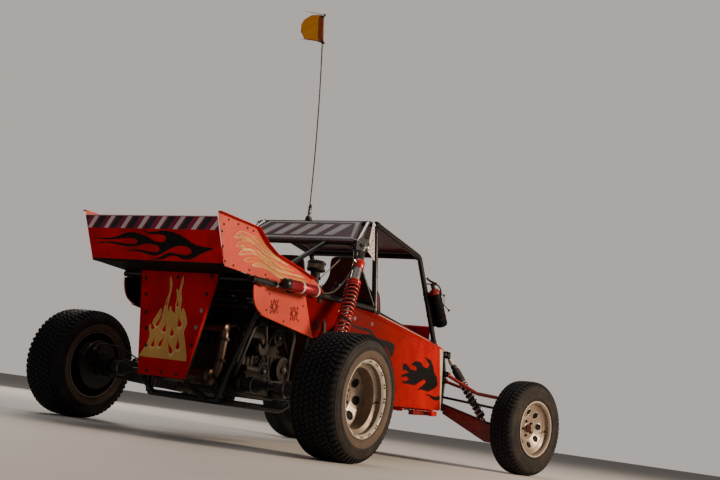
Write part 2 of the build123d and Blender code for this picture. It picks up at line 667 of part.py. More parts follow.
with BuildPart() as flag:
    with BuildSketch(Plane(origin=V(984, 236, 2912), x_dir=(-0.12, 1, 0), z_dir=(1, 0.12, 0))):
        with BuildLine():
            Polyline((-9, 14), (146, 48), (190, 88), (179, 147), (190, 176), (167, 212), (118, 230), (56, 234), (22, 226), close=True)
        make_face()
    extrude(amount=9, both=True)
save(flag.part, "flag")

with BuildPart() as fire_extinguisher:
    low, top = (1974, -560, 1008), (1799, -548, 1237)
    tube(low, top, 43)
    d = (V(*top) - V(*low)).normalized()
    for start, length, r in ((0, 26, 30), (20, 40, 14)):
        with Locations(Plane(origin=V(*top) + d * start, z_dir=d).location):
            Cylinder(r, length, align=(Align.CENTER, Align.CENTER, Align.MIN))
save(fire_extinguisher.part, "fire_extinguisher")
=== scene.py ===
import bmesh
import bpy
import math
import random
import numpy as np
from mathutils import Matrix, Vector
from mathutils.geometry import tessellate_polygon


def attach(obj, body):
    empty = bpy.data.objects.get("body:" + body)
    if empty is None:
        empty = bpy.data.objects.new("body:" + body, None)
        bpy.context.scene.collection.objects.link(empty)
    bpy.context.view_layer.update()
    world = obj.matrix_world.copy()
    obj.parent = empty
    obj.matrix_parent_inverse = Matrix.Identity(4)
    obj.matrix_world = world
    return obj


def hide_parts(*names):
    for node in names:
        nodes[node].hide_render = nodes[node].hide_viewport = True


# Finish and detail of a two-seat dune buggy. Lengths in P() are millimetres,
# x from the rear axle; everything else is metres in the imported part's frame.
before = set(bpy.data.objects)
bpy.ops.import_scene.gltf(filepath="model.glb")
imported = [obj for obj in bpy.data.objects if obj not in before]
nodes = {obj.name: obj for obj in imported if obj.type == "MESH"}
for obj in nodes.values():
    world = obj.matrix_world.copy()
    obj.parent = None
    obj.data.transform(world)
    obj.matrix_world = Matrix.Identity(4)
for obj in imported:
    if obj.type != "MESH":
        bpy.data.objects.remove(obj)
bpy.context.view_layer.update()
rnd = random.Random(7)
MID = 1161.65
SIDES = (-1, 1)
TAU = 2 * math.pi


def P(x, y, z):
    return Vector(((x - MID) / 1000, y / 1000, z / 1000))


# ------------------------------------------------------------ camera and light
CAM_POS, YAW, PITCH, ROLL, FOCAL_PX = (-4283.97, -3611.75, 224.17), 0.554300945, 0.191186593, 0.142603287, 927.772
fwd = Vector((math.cos(YAW) * math.cos(PITCH), math.sin(YAW) * math.cos(PITCH), math.sin(PITCH)))
right = fwd.cross(Vector((0, 0, 1))).normalized()
up = right.cross(fwd)
right, up = math.cos(ROLL) * right + math.sin(ROLL) * up, -math.sin(ROLL) * right + math.cos(ROLL) * up
cam = bpy.data.objects.new("camera", bpy.data.cameras.new("camera"))
bpy.context.scene.collection.objects.link(cam)
cam.data.sensor_width, cam.data.lens = 36.0, FOCAL_PX * 36 / 720
cam.data.clip_end = 200
cam.matrix_world = Matrix((
    (right.x, up.x, -fwd.x, P(*CAM_POS).x), (right.y, up.y, -fwd.y, P(*CAM_POS).y),
    (right.z, up.z, -fwd.z, P(*CAM_POS).z), (0, 0, 0, 1)))
bpy.context.scene.camera = cam


def area(name, at, to, size, power, colour):
    lamp = bpy.data.lights.new(name, "AREA")
    lamp.shape, lamp.size, lamp.energy, lamp.color = "DISK", size, power, colour
    o = bpy.data.objects.new(name, lamp)
    o.location = at
    o.rotation_mode = "QUATERNION"
    o.rotation_quaternion = (Vector(to) - Vector(at)).to_track_quat("-Z", "Y")
    bpy.context.scene.collection.objects.link(o)


area("key", (2.4, -8.0, 3.0), (0, 0, 0.7), 2.4, 900, (1.0, 0.79, 0.58))
area("fill", (-8.0, -1.5, 3.0), (0, 0, 0.7), 5.0, 22, (0.90, 0.93, 1.0))
area("top", (0.6, 0.5, 7.5), (0, 0, 0.7), 6.0, 130, (1.0, 0.97, 0.94))
area("rim", (3.5, 7.0, 3.6), (0, 0, 0.9), 4.0, 230, (1.0, 0.90, 0.80))

world = bpy.data.worlds.new("studio")
bpy.context.scene.world = world
world.use_nodes = True
wn = world.node_tree.nodes
wn["Background"].inputs["Color"].default_value = (0.82, 0.77, 0.74, 1)
wn["Background"].inputs["Strength"].default_value = 0.17
# the backdrop is seen paler than it lights
back = wn.new("ShaderNodeBackground")
back.inputs["Color"].default_value = (0.83, 0.76, 0.71, 1)
back.inputs["Strength"].default_value = 0.62
seen, both = wn.new("ShaderNodeLightPath"), wn.new("ShaderNodeMixShader")
wl = world.node_tree.links
wl.new(seen.outputs["Is Camera Ray"], both.inputs[0])
wl.new(wn["Background"].outputs[0], both.inputs[1])
wl.new(back.outputs[0], both.inputs[2])
wl.new(both.outputs[0], wn["World Output"].inputs["Surface"])


# ------------------------------------------------------------ materials
DUST = (0.36, 0.21, 0.115)


class Nodes:
    """Short names for building a node material."""

    def __init__(self, name):
        self.mat = bpy.data.materials.new(name)
        self.mat.use_nodes = True
        self.t = self.mat.node_tree
        self.bsdf = self.t.nodes["Principled BSDF"]
        self.coord = self.t.nodes.new("ShaderNodeTexCoord")

    def link(self, a, b):
        self.t.links.new(a, b)

    def put(self, socket, value):
        if isinstance(value, bpy.types.NodeSocket):
            self.link(value, socket)
        else:
            socket.default_value = value

    def noise(self, scale, detail=5.0, rough=0.55, distort=0.0, stretch=None, kind="FBM"):
        n = self.t.nodes.new("ShaderNodeTexNoise")
        n.inputs["Scale"].default_value = scale
        n.inputs["Detail"].default_value = detail
        n.inputs["Roughness"].default_value = rough
        n.inputs["Distortion"].default_value = distort
        src = self.coord.outputs["Object"]
        if stretch:
            m = self.t.nodes.new("ShaderNodeMapping")
            m.inputs["Scale"].default_value = stretch
            self.link(src, m.inputs["Vector"])
            src = m.outputs["Vector"]
        self.link(src, n.inputs["Vector"])
        return n.outputs["Fac"]

    def ramp(self, value, lo, hi, a=0.0, b=1.0):
        n = self.t.nodes.new("ShaderNodeMapRange")
        n.interpolation_type = "SMOOTHSTEP"
        self.put(n.inputs["Value"], value)
        n.inputs["From Min"].default_value, n.inputs["From Max"].default_value = lo, hi
        n.inputs["To Min"].default_value, n.inputs["To Max"].default_value = a, b
        return n.outputs["Result"]

    def math(self, op, a, b=0.0, clamp=False):
        n = self.t.nodes.new("ShaderNodeMath")
        n.operation, n.use_clamp = op, clamp
        self.put(n.inputs[0], a)
        self.put(n.inputs[1], b)
        return n.outputs[0]

    def mix(self, fac, a, b):
        n = self.t.nodes.new("ShaderNodeMix")
        n.data_type = "RGBA"
        self.put(n.inputs["Factor"], fac)
        for s, v in (("A", a), ("B", b)):
            i = [x for x in n.inputs if x.name == s and x.type == "RGBA"][0]
            self.put(i, (*v, 1) if isinstance(v, tuple) else v)
        return [x for x in n.outputs if x.type == "RGBA"][0]

    def axis(self, which, out="Object"):
        n = self.t.nodes.new("ShaderNodeSeparateXYZ")
        self.link(self.coord.outputs[out], n.inputs[0])
        return n.outputs[which]

    def bump(self, height, strength, distance=0.002, after=None):
        n = self.t.nodes.new("ShaderNodeBump")
        n.inputs["Strength"].default_value = strength
        n.inputs["Distance"].default_value = distance
        self.put(n.inputs["Height"], height)
        if after is not None:
            self.link(after, n.inputs["Normal"])
        return n.outputs["Normal"]


def finish(name, colour, rough=0.4, metal=0.0, coat=0.0, dust=0.3, vary=0.18, grain=300, bump=0.15,
           wear=0.0, wear_colour=(0.3, 0.29, 0.28), spec=0.5, low=0.0, streak=False, fade=None):
    """Painted, cast or bare surface with patchy colour, settled dust, fine grain and worn spots."""
    k = Nodes(name)
    b = k.bsdf
    b.inputs["Metallic"].default_value = metal
    b.inputs["Specular IOR Level"].default_value = spec
    b.inputs["Coat Weight"].default_value = coat
    b.inputs["Coat Roughness"].default_value = 0.12
    big = k.noise(4.5, 6, 0.6, 0.4)
    fine = k.noise(38, 4, 0.6, 0.2)
    dark = tuple(c * (1 - vary) for c in colour)
    light = tuple(min(1, c * (1 + vary)) for c in colour)
    col = k.mix(k.ramp(big, 0.35, 0.65), dark, light)
    if fade:
        # painted shade: the colour darkens toward the rear
        col = k.mix(k.ramp(k.axis("X"), fade[0], fade[1]), fade[2], col)
    up_z = k.axis("Z", "Normal")
    settle = k.math("MULTIPLY", k.ramp(up_z, 0.1, 0.95, 0.15, 1.0), k.ramp(k.noise(7, 7, 0.65, 0.8), 0.38, 0.72))
    if low:
        near_floor = k.ramp(k.axis("Z"), 0.75, 0.15)
        settle = k.math("ADD", settle, k.math("MULTIPLY", near_floor, k.ramp(fine, 0.35, 0.7, 0.0, low)), True)
    mask = k.math("MULTIPLY", settle, dust, True)
    col = k.mix(mask, col, DUST)
    rough_out = k.math("ADD", k.ramp(fine, 0.3, 0.7, rough - 0.05, rough + 0.07), k.math("MULTIPLY", mask, 0.45), True)
    if wear:
        spots = k.ramp(k.noise(90, 6, 0.75, 0.6), 0.66, 0.72)
        field = k.ramp(k.noise(9, 3, 0.5), 0.5, 0.66, 0.0, wear)
        worn = k.math("MULTIPLY", spots, field, True)
        col = k.mix(worn, col, wear_colour)
    if streak:
        run = k.ramp(k.noise(26, 4, 0.6, 0.2, (1, 1, 0.08)), 0.55, 0.8, 0.0, 0.35)
        col = k.mix(run, col, tuple(c * 0.45 for c in colour))
    k.link(col, b.inputs["Base Color"])
    k.link(rough_out, b.inputs["Roughness"])
    if bump:
        n = k.bump(k.noise(grain, 3, 0.6), bump, 0.0006)
        n = k.bump(k.noise(14, 3, 0.5), bump * 0.5, 0.002, n)
        k.link(n, b.inputs["Normal"])
    k.mat.diffuse_color = (*colour, 1)
    return k.mat


RED = finish("red_paint", (0.52, 0.0025, 0.002), 0.38, coat=0.08, dust=0.09, vary=0.18, wear=0.30,
             wear_colour=(0.28, 0.10, 0.07), low=0.15, spec=0.22)
# orange cast on the red stands in for warm sunlight on the side faces: painted light
RED_SUNLIT = finish("red_paint_end_plate", (0.60, 0.042, 0.016), 0.44, coat=0.05, dust=0.22, vary=0.14, wear=0.25,
                  wear_colour=(0.40, 0.16, 0.09), spec=0.30)
RED_DARK = finish("red_paint_rear", (0.52, 0.0013, 0.0040), 0.42, coat=0.0, dust=0.03, vary=0.22, wear=0.12,
                  wear_colour=(0.16, 0.05, 0.04), spec=0.10)
# dark red of the cover's turned front: painted shade on the same paint
RED_COVER_SHADED = finish("red_paint_cover_front", (0.17, 0.0005, 0.0006), 0.65, coat=0.0, dust=0.0, vary=0.16, wear=0.1,
                 wear_colour=(0.20, 0.05, 0.04), spec=0.03)
# side panel red darkens toward the rear: painted shade
RED_PANEL = finish("red_paint_side_panel", (0.40, 0.0040, 0.0025), 0.46, dust=0.05, vary=0.16, wear=0.25,
                   wear_colour=(0.28, 0.10, 0.07), low=0.10, spec=0.08, fade=(-0.55, 0.85, (0.125, 0.0003, 0.0005)))
# pale pink edge line: partly wear, partly a painted highlight on a rounded edge
WORN_EDGE_AND_HIGHLIGHT = finish("worn_pink_edge", (0.62, 0.30, 0.24), 0.45, dust=0.15, vary=0.2, bump=0.1)
# cream strip colour: a painted highlight on a bent edge
CREAM_EDGE_HIGHLIGHT = finish("pale_edge_trim", (0.62, 0.48, 0.37), 0.45, dust=0.2, vary=0.2, bump=0.1)
PALE_METAL = finish("pale_clamp_metal", (0.80, 0.72, 0.62), 0.3, metal=0.25, dust=0.12, vary=0.1, bump=0.05)
# dull black for black parts, and painted shade under the wing, inside the covers, in the wheels and on the radiator
BLACK_DULL_AND_SHADE = finish("black_back_face", (0.006, 0.005, 0.005), 0.7, dust=0.10, vary=0.3, bump=0.2, spec=0.12)
BLACK_TUBE = finish("black_tube_paint", (0.006, 0.006, 0.007), 0.34, coat=0.12, dust=0.06, vary=0.3, grain=260,
                    bump=0.2, wear=0.3, wear_colour=(0.10, 0.09, 0.08), low=0.12, spec=0.35)
BLACK_SHEET = finish("black_sheet_paint", (0.009, 0.009, 0.009), 0.5, dust=0.2, vary=0.3, wear=0.3, low=0.3, spec=0.3)
MAROON = finish("maroon_satin", (0.052, 0.010, 0.018), 0.46, coat=0.08, dust=0.16, vary=0.2, wear=0.15)
GREY_BORDER = finish("light_grey_film", (0.50, 0.47, 0.50), 0.45, dust=0.3, vary=0.08, bump=0.05)
STRIPE_WHITE = finish("stripe_white", (0.66, 0.56, 0.58), 0.42, dust=0.18, vary=0.08, bump=0.05)
STRIPE_BLACK = finish("stripe_black", (0.016, 0.018, 0.023), 0.45, dust=0.05, vary=0.2, bump=0.05, spec=0.2)
STRIPE_MAGENTA = finish("stripe_magenta", (0.26, 0.010, 0.060), 0.45, dust=0.06, vary=0.15, bump=0.05, spec=0.25)
FLAME_BLACK = finish("flame_black", (0.0035, 0.003, 0.0035), 0.5, dust=0.015, vary=0.2, bump=0.05, spec=0.14)
FLAME_GOLD = finish("flame_gold", (0.62, 0.33, 0.075), 0.45, dust=0.2, vary=0.12, bump=0.05)
FLAME_CREAM = finish("flame_cream", (0.74, 0.50, 0.19), 0.45, dust=0.2, vary=0.12, bump=0.05)
FLAME_BROWN = finish("flame_outline", (0.085, 0.012, 0.010), 0.5, dust=0.05, vary=0.2, bump=0.05, spec=0.2)
STEEL = finish("bare_steel", (0.42, 0.40, 0.38), 0.32, metal=1.0, dust=0.25, vary=0.2, grain=500, bump=0.15)
CHROME = finish("polished_steel", (0.68, 0.66, 0.64), 0.16, metal=1.0, dust=0.2, vary=0.1, grain=600, bump=0.05)
DARK_STEEL = finish("dark_fastener", (0.030, 0.027, 0.026), 0.45, metal=0.6, dust=0.2, vary=0.3, bump=0.2)
ALLOY = finish("cast_alloy", (0.075, 0.064, 0.056), 0.5, metal=0.75, dust=0.30, vary=0.3, grain=220, bump=0.5, streak=True)
IRON = finish("oily_casting", (0.010, 0.008, 0.007), 0.42, metal=0.4, dust=0.22, vary=0.45, grain=180, bump=0.6,
              streak=True)
PIPE = finish("heat_browned_pipe", (0.110, 0.070, 0.050), 0.36, metal=0.85, dust=0.2, vary=0.4, grain=240, bump=0.3,
              streak=True)
PLASTIC = finish("black_moulding", (0.012, 0.012, 0.013), 0.55, dust=0.2, vary=0.2, grain=700, bump=0.35)
HOSE = finish("rubber_hose", (0.010, 0.010, 0.010), 0.62, dust=0.2, vary=0.25, grain=420, bump=0.3)
SHOCK_RED = finish("coil_red", (0.42, 0.006, 0.006), 0.26, coat=0.5, dust=0.22, vary=0.15, wear=0.5, low=0.2)
ANODISED = finish("red_anodised", (0.26, 0.002, 0.012), 0.36, metal=0.55, coat=0.05, dust=0.15, vary=0.12, bump=0.08)
SHOCK_SILVER = finish("shock_body_silver", (0.60, 0.58, 0.55), 0.24, metal=1.0, dust=0.2, vary=0.1, bump=0.08)
COIL_WHITE = finish("coil_silver_white", (0.42, 0.42, 0.43), 0.36, metal=0.3, coat=0.3, dust=0.25, vary=0.12, low=0.2)
RED_ARM = finish("red_arm_paint", (0.30, 0.005, 0.005), 0.32, coat=0.4, dust=0.24, vary=0.18, wear=0.6,
                 wear_colour=(0.32, 0.25, 0.22), low=0.35)
RED_ARM_DARK = finish("red_boxed_arm_paint", (0.17, 0.004, 0.006), 0.3, coat=0.35, dust=0.2, vary=0.2, wear=0.4, low=0.4)
MAST = finish("mast_rod", (0.045, 0.040, 0.040), 0.5, dust=0.1, vary=0.2, grain=900, bump=0.3)
BOTTLE = finish("bottle_black", (0.0030, 0.0025, 0.003), 0.55, coat=0.0, spec=0.08, dust=0.015, vary=0.3, wear=0.2)
FILTER_MEDIA = finish("filter_media", (0.34, 0.29, 0.22), 0.7, dust=0.3, vary=0.2, grain=500, bump=0.5)
BOTTLE_RED = finish("bottle_red", (0.26, 0.003, 0.006), 0.34, coat=0.1, dust=0.2, vary=0.12)
LEVER_RED = finish("dark_lever_red", (0.050, 0.0012, 0.0015), 0.45, dust=0.05, vary=0.2, spec=0.15)
CAP_RED = finish("dark_cap_red", (0.036, 0.0014, 0.003), 0.5, dust=0.1, vary=0.3, spec=0.15)
BELT_WEB = finish("belt_webbing", (0.030, 0.028, 0.030), 0.8, dust=0.25, vary=0.2, grain=900, bump=0.8)


def wheel_paint(name, colour, rough):
    """Warm silver enamel with patches of brown brake dust and sand, and dark chips."""
    k = Nodes(name)
    b = k.bsdf
    b.inputs["Metallic"].default_value = 0.40
    b.inputs["Coat Weight"].default_value = 0.2
    big, fine = k.noise(9, 6, 0.65, 0.6), k.noise(70, 5, 0.7)
    col = k.mix(k.ramp(big, 0.35, 0.68), colour, tuple(c * 0.72 for c in colour))
    col = k.mix(k.ramp(k.noise(16, 8, 0.7, 1.2), 0.48, 0.80, 0.0, 0.55), col, (0.30, 0.19, 0.12))
    chips = k.math("MULTIPLY", k.ramp(fine, 0.64, 0.70), k.ramp(big, 0.45, 0.6, 0.0, 0.7))
    col = k.mix(chips, col, (0.10, 0.075, 0.06))
    k.link(col, b.inputs["Base Color"])
    k.link(k.ramp(big, 0.3, 0.7, rough, rough + 0.2), b.inputs["Roughness"])
    n = k.bump(k.noise(500, 3, 0.6), 0.15, 0.0005)
    k.link(k.bump(fine, 0.12, 0.001, n), b.inputs["Normal"])
    k.mat.diffuse_color = (*colour, 1)
    return k.mat


WHEEL = wheel_paint("wheel_silver_enamel", (0.27, 0.205, 0.155), 0.32)
WHEEL_LIP = wheel_paint("wheel_flange_bare", (0.74, 0.64, 0.53), 0.24)


def rubber(name, colour, dust, side=False):
    """Dusty tyre rubber; sidewalls take more of the brown dust."""
    k = Nodes(name)
    b = k.bsdf
    b.inputs["Specular IOR Level"].default_value = 0.22
    big, fine = k.noise(5, 7, 0.65, 0.7), k.noise(60, 5, 0.6)
    col = k.mix(k.ramp(big, 0.3, 0.7), tuple(c * 0.75 for c in colour), tuple(c * 1.35 for c in colour))
    mask = k.ramp(k.noise(8, 8, 0.7, 1.0), 0.40 if side else 0.52, 0.85, 0.0, dust)
    mask = k.math("MAXIMUM", mask, k.ramp(fine, 0.52, 0.8, 0.0, dust * 0.6))
    col = k.mix(mask, col, (0.20, 0.125, 0.075))
    k.link(col, b.inputs["Base Color"])
    k.link(k.ramp(big, 0.3, 0.7, 0.58, 0.82), b.inputs["Roughness"])
    n = k.bump(k.noise(420, 4, 0.7), 0.5, 0.0006)
    k.link(k.bump(fine, 0.35, 0.0012, n), b.inputs["Normal"])
    k.mat.diffuse_color = (*colour, 1)
    return k.mat


TREAD = rubber("tread_rubber", (0.0085, 0.0085, 0.0105), 0.10)
SIDEWALL = rubber("sidewall_rubber", (0.0105, 0.0096, 0.0096), 0.17, True)
BEAD_RING = rubber("bead_ring_rubber", (0.078, 0.056, 0.043), 0.45, True)


def cloth(name, colour, scale, sheen=0.4, dust=0.2, rough=0.85, through=0.0):
    """Woven cloth: crossed threads, a little fuzz and soft fading."""
    k = Nodes(name)
    b = k.bsdf
    b.inputs["Sheen Weight"].default_value = sheen
    b.inputs["Specular IOR Level"].default_value = 0.25
    waves = []
    for d in ("X", "Y", "Z"):
        w = k.t.nodes.new("ShaderNodeTexWave")
        w.bands_direction = d
        w.inputs["Scale"].default_value = scale
        w.inputs["Distortion"].default_value = 0.6
        k.link(k.coord.outputs["Object"], w.inputs["Vector"])
        waves.append(w.outputs["Fac"])
    weave = k.math("MULTIPLY", k.math("ADD", waves[0], waves[1]), k.math("ADD", waves[2], 0.35))
    big = k.noise(6, 6, 0.6, 0.5)
    col = k.mix(k.ramp(big, 0.3, 0.7), tuple(c * 0.7 for c in colour), tuple(min(1, c * 1.2) for c in colour))
    col = k.mix(k.ramp(weave, 0.2, 1.6, 0.0, 0.28), tuple(c * 0.55 for c in colour), col)
    col = k.mix(k.ramp(k.noise(12, 7, 0.7, 0.7), 0.5, 0.85, 0.0, dust), col, DUST)
    k.link(col, b.inputs["Base Color"])
    k.link(k.ramp(big, 0.3, 0.7, rough - 0.08, rough + 0.06), b.inputs["Roughness"])
    k.link(k.bump(weave, 0.35, 0.0006), b.inputs["Normal"])
    if through:
        b.inputs["Transmission Weight"].default_value = 0.0
        b.inputs["Subsurface Weight"].default_value = through
        b.inputs["Subsurface Radius"].default_value = (0.02, 0.008, 0.002)
        # painted glow: emission stands in for daylight through the thin cloth
        k.link(col, b.inputs["Emission Color"])
        b.inputs["Emission Strength"].default_value = through * 0.62
    k.mat.diffuse_color = (*colour, 1)
    return k.mat


SEAT_VINYL = cloth("seat_dark_red", (0.15, 0.004, 0.010), 260, 0.3, 0.25, 0.62)
SEAT_BLACK = cloth("seat_black_insert", (0.030, 0.026, 0.027), 320, 0.4, 0.25)
FLAG_CLOTH = cloth("flag_orange", (0.98, 0.36, 0.010), 420, 0.3, 0.06, 0.8, 0.3)
FLAG_HOIST = cloth("flag_hoist_band", (0.42, 0.085, 0.018), 420, 0.3, 0.10, 0.8, 0.2)
GRIP = cloth("wheel_grip_suede", (0.022, 0.021, 0.022), 700, 0.6, 0.2)


def floor_material():
    k = Nodes("pale_floor")
    c = (0.66, 0.625, 0.59)
    col = k.mix(k.ramp(k.noise(0.7, 5, 0.6), 0.3, 0.7), c, tuple(x * 0.94 for x in c))
    k.link(col, k.bsdf.inputs["Base Color"])
    k.bsdf.inputs["Roughness"].default_value = 0.75
    k.link(k.bump(k.noise(160, 4, 0.6), 0.08, 0.001), k.bsdf.inputs["Normal"])
    return k.mat


# ------------------------------------------------------------ mesh building
def arr(v):
    return np.array(v, float)


def unit(v):
    v = arr(v)
    return v / np.linalg.norm(v)


def across(d, hint=None):
    """Two unit vectors across d; the first as near to hint as it can be."""
    d = unit(d)
    h = arr(hint) if hint is not None else (arr((0, 0, 1)) if abs(d[2]) < 0.9 else arr((1, 0, 0)))
    u = h - d * (h @ d)
    u = u / np.linalg.norm(u)
    return u, np.cross(d, u)


class Kit:
    """Collects shapes and makes them one piece with several materials."""

    def __init__(self):
        self.v, self.f, self.m, self.n = [], [], [], 0

    def add(self, shape, m=0):
        v, f = shape
        v = arr(v).reshape(-1, 3)
        self.v.append(v)
        self.f += [tuple(i + self.n for i in face) for face in f]
        self.m += [m] * len(f)
        self.n += len(v)
        return self

    def make(self, name, mats, body="chassis", sharp=38, replaces=(), slot=None):
        me = bpy.data.meshes.new(name)
        me.from_pydata(np.concatenate(self.v).tolist(), [], self.f)
        for m in mats:
            me.materials.append(m)
        me.polygons.foreach_set("material_index", self.m)
        me.polygons.foreach_set("use_smooth", [True] * len(self.f))
        me.update()
        me.set_sharp_from_angle(angle=math.radians(sharp))
        o = bpy.data.objects.new(name, me)
        bpy.context.scene.collection.objects.link(o)
        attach(o, body)
        if replaces:
            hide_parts(*replaces)
        return o


def sweep(points, r, n=14, closed=False, caps=True):
    """Round tube along points; r may change from point to point."""
    p = arr(points)
    m = len(p)
    r = np.full(m, r) if np.isscalar(r) else arr(r)
    nxt, prv = np.roll(p, -1, 0), np.roll(p, 1, 0)
    if not closed:
        nxt[-1], prv[0] = p[-1], p[0]
    t = nxt - prv
    t /= np.linalg.norm(t, axis=1)[:, None]
    u, _ = across(t[0])
    us = [u]
    for i in range(1, m):
        u = u - t[i] * (u @ t[i])
        u /= np.linalg.norm(u)
        us.append(u)
    us = arr(us)
    ws = np.cross(t, us)
    if closed:  # spread the leftover twist along the loop
        u_end = us[-1] - t[0] * (us[-1] @ t[0])
        twist = math.atan2(u_end @ ws[0], u_end @ us[0])
        a = -twist * np.arange(m) / m
        us, ws = us * np.cos(a)[:, None] + ws * np.sin(a)[:, None], ws * np.cos(a)[:, None] - us * np.sin(a)[:, None]
    ang = np.arange(n) * TAU / n
    v = p[:, None] + r[:, None, None] * (np.cos(ang)[None, :, None] * us[:, None] + np.sin(ang)[None, :, None] * ws[:, None])
    f = []
    for i in range(m if closed else m - 1):
        a, b = i * n, ((i + 1) % m) * n
        f += [(a + j, a + (j + 1) % n, b + (j + 1) % n, b + j) for j in range(n)]
    if caps and not closed:
        f.append(tuple(range(n))[::-1])
        f.append(tuple((m - 1) * n + j for j in range(n)))
    return v.reshape(-1, 3), f


def bent(points, radius, steps=7):
    """Corners of a path rounded to tangent arcs of about this radius, in metres."""
    p = [arr(q) for q in points]
    out = [p[0]]
    for a, b, c in zip(p, p[1:], p[2:]):
        d1, d2 = unit(b - a), unit(c - b)
        turn = math.acos(max(-1, min(1, d1 @ d2)))
        if turn < 0.02:
            out.append(b)
            continue
        cut = min(radius * math.tan(turn / 2), 0.45 * np.linalg.norm(b - a), 0.45 * np.linalg.norm(c - b))
        s, e = b - d1 * cut, b + d2 * cut
        for k in range(steps + 1):
            q = k / steps
            out.append((1 - q) ** 2 * s + 2 * q * (1 - q) * b + q * q * e)
    out.append(p[-1])
    return out


def smooth(points, per=6, closed=False):
    """Soft curve through the points."""
    p = [arr(q) for q in points]
    n = len(p)
    out = []
    for i in range(n if closed else n - 1):
        a, b, c, d = (p[(i + k) % n] if closed else p[min(max(i + k, 0), n - 1)] for k in (-1, 0, 1, 2))
        for k in range(per):
            t = k / per
            out.append(0.5 * (2 * b + (c - a) * t + (2 * a - 5 * b + 4 * c - d) * t * t + (3 * b - a - 3 * c + d) * t ** 3))
    if not closed:
        out.append(p[-1])
    return out


def lathe(profile, origin, axis, n=40, hint=None, loop=False):
    """Turned shape: profile rows of (radius, distance along axis)."""
    d = unit(axis)
    u, w = across(d, hint)
    o = arr(origin)
    ang = np.arange(n) * TAU / n
    ring = np.cos(ang)[:, None] * u + np.sin(ang)[:, None] * w
    v, starts = [], []
    for r, h in profile:
        starts.append((len(v), r > 1e-7))
        if r > 1e-7:
            v += list(o + d * h + ring * r)
        else:
            v.append(o + d * h)
    f = []
    pairs = list(zip(range(len(profile) - 1), range(1, len(profile))))
    if loop:
        pairs.append((len(profile) - 1, 0))
    for i, j in pairs:
        (a, ra), (b, rb) = starts[i], starts[j]
        for k in range(n):
            l = (k + 1) % n
            if ra and rb:
                f.append((a + k, a + l, b + l, b + k))
            elif ra:
                f.append((a + k, a + l, b))
            elif rb:
                f.append((a, b + l, b + k))
    return v, f


def plate(outer, o, u, v, t, holes=(), both_sides=False):
    """Flat plate of thickness t on the plane through o with axes u, v (metres), with holes."""
    o, u, v = arr(o), unit(u), arr(v)
    v = unit(v - u * (v @ u))
    n = np.cross(u, v)
    if both_sides:
        o = o - n * t / 2
    loops = [list(outer)] + [list(h) for h in holes]
    tri = tessellate_polygon([[Vector((a, b, 0)) for a, b in loop] for loop in loops])
    flat = [q for loop in loops for q in loop]
    base = arr([o + u * a + v * b for a, b in flat])
    m = len(flat)
    verts = np.concatenate([base, base + n * t])
    faces = []
    for a, b, c in tri:
        pa, pb, pc = (arr(flat[i]) for i in (a, b, c))
        ccw = (pb - pa)[0] * (pc - pa)[1] - (pb - pa)[1] * (pc - pa)[0] > 0
        if not ccw:
            b, c = c, b
        faces += [(a + m, b + m, c + m), (a, c, b)]
    s = 0
    for k, loop in enumerate(loops):
        area2 = sum(loop[i][0] * loop[(i + 1) % len(loop)][1] - loop[(i + 1) % len(loop)][0] * loop[i][1]
                    for i in range(len(loop)))
        fwd_order = (area2 > 0) == (k == 0)
        for i in range(len(loop)):
            a, b = s + i, s + (i + 1) % len(loop)
            faces.append((a, b, b + m, a + m) if fwd_order else (b, a, a + m, b + m))
        s += len(loop)
    return verts, faces


def slab(outer, o, u, v, t, b=0.0008):
    """Plate with small rounded edges, for a plain outline."""
    o, u, v = arr(o), unit(u), arr(v)
    v = unit(v - u * (v @ u))
    n = np.cross(u, v)
    q = arr(outer)
    area2 = np.sum(q[:, 0] * np.roll(q[:, 1], -1) - np.roll(q[:, 0], -1) * q[:, 1])
    if area2 < 0:
        q = q[::-1]
    e = np.roll(q, -1, 0) - q
    e /= np.linalg.norm(e, axis=1)[:, None]
    nrm = np.stack([-e[:, 1], e[:, 0]], 1)  # inwards
    prev = np.roll(nrm, 1, 0)
    bis = nrm + prev
    bis /= np.maximum(np.sum(bis * nrm, 1), 0.35)[:, None]
    rows = [(0, b), (b, 0), (t - b, 0), (t, b)]
    m = len(q)
    verts = np.concatenate([o + (q + bis * inset)[:, :1] * u + (q + bis * inset)[:, 1:] * v + n * h for h, inset in rows])
    faces = [tuple(range(m))[::-1], tuple(range(3 * m, 4 * m))]
    for k in range(3):
        faces += [(k * m + i, k * m + (i + 1) % m, (k + 1) * m + (i + 1) % m, (k + 1) * m + i) for i in range(m)]
    return verts, faces


def block(c, u, v, size, b=0.003):
    """Box with chamfered edges, centred at c; u, v and u x v are its axes."""
    w, h, t = size
    o = arr(c) - np.cross(unit(u), unit(arr(v) - unit(u) * (arr(v) @ unit(u)))) * t / 2
    c1 = min(b, w / 3, h / 3, t / 3)
    x, y = w / 2, h / 2
    out = [(-x + c1, -y), (x - c1, -y), (x, -y + c1), (x, y - c1), (x - c1, y), (-x + c1, y), (-x, y - c1), (-x, -y + c1)]
    return slab(out, o, u, v, t, c1)


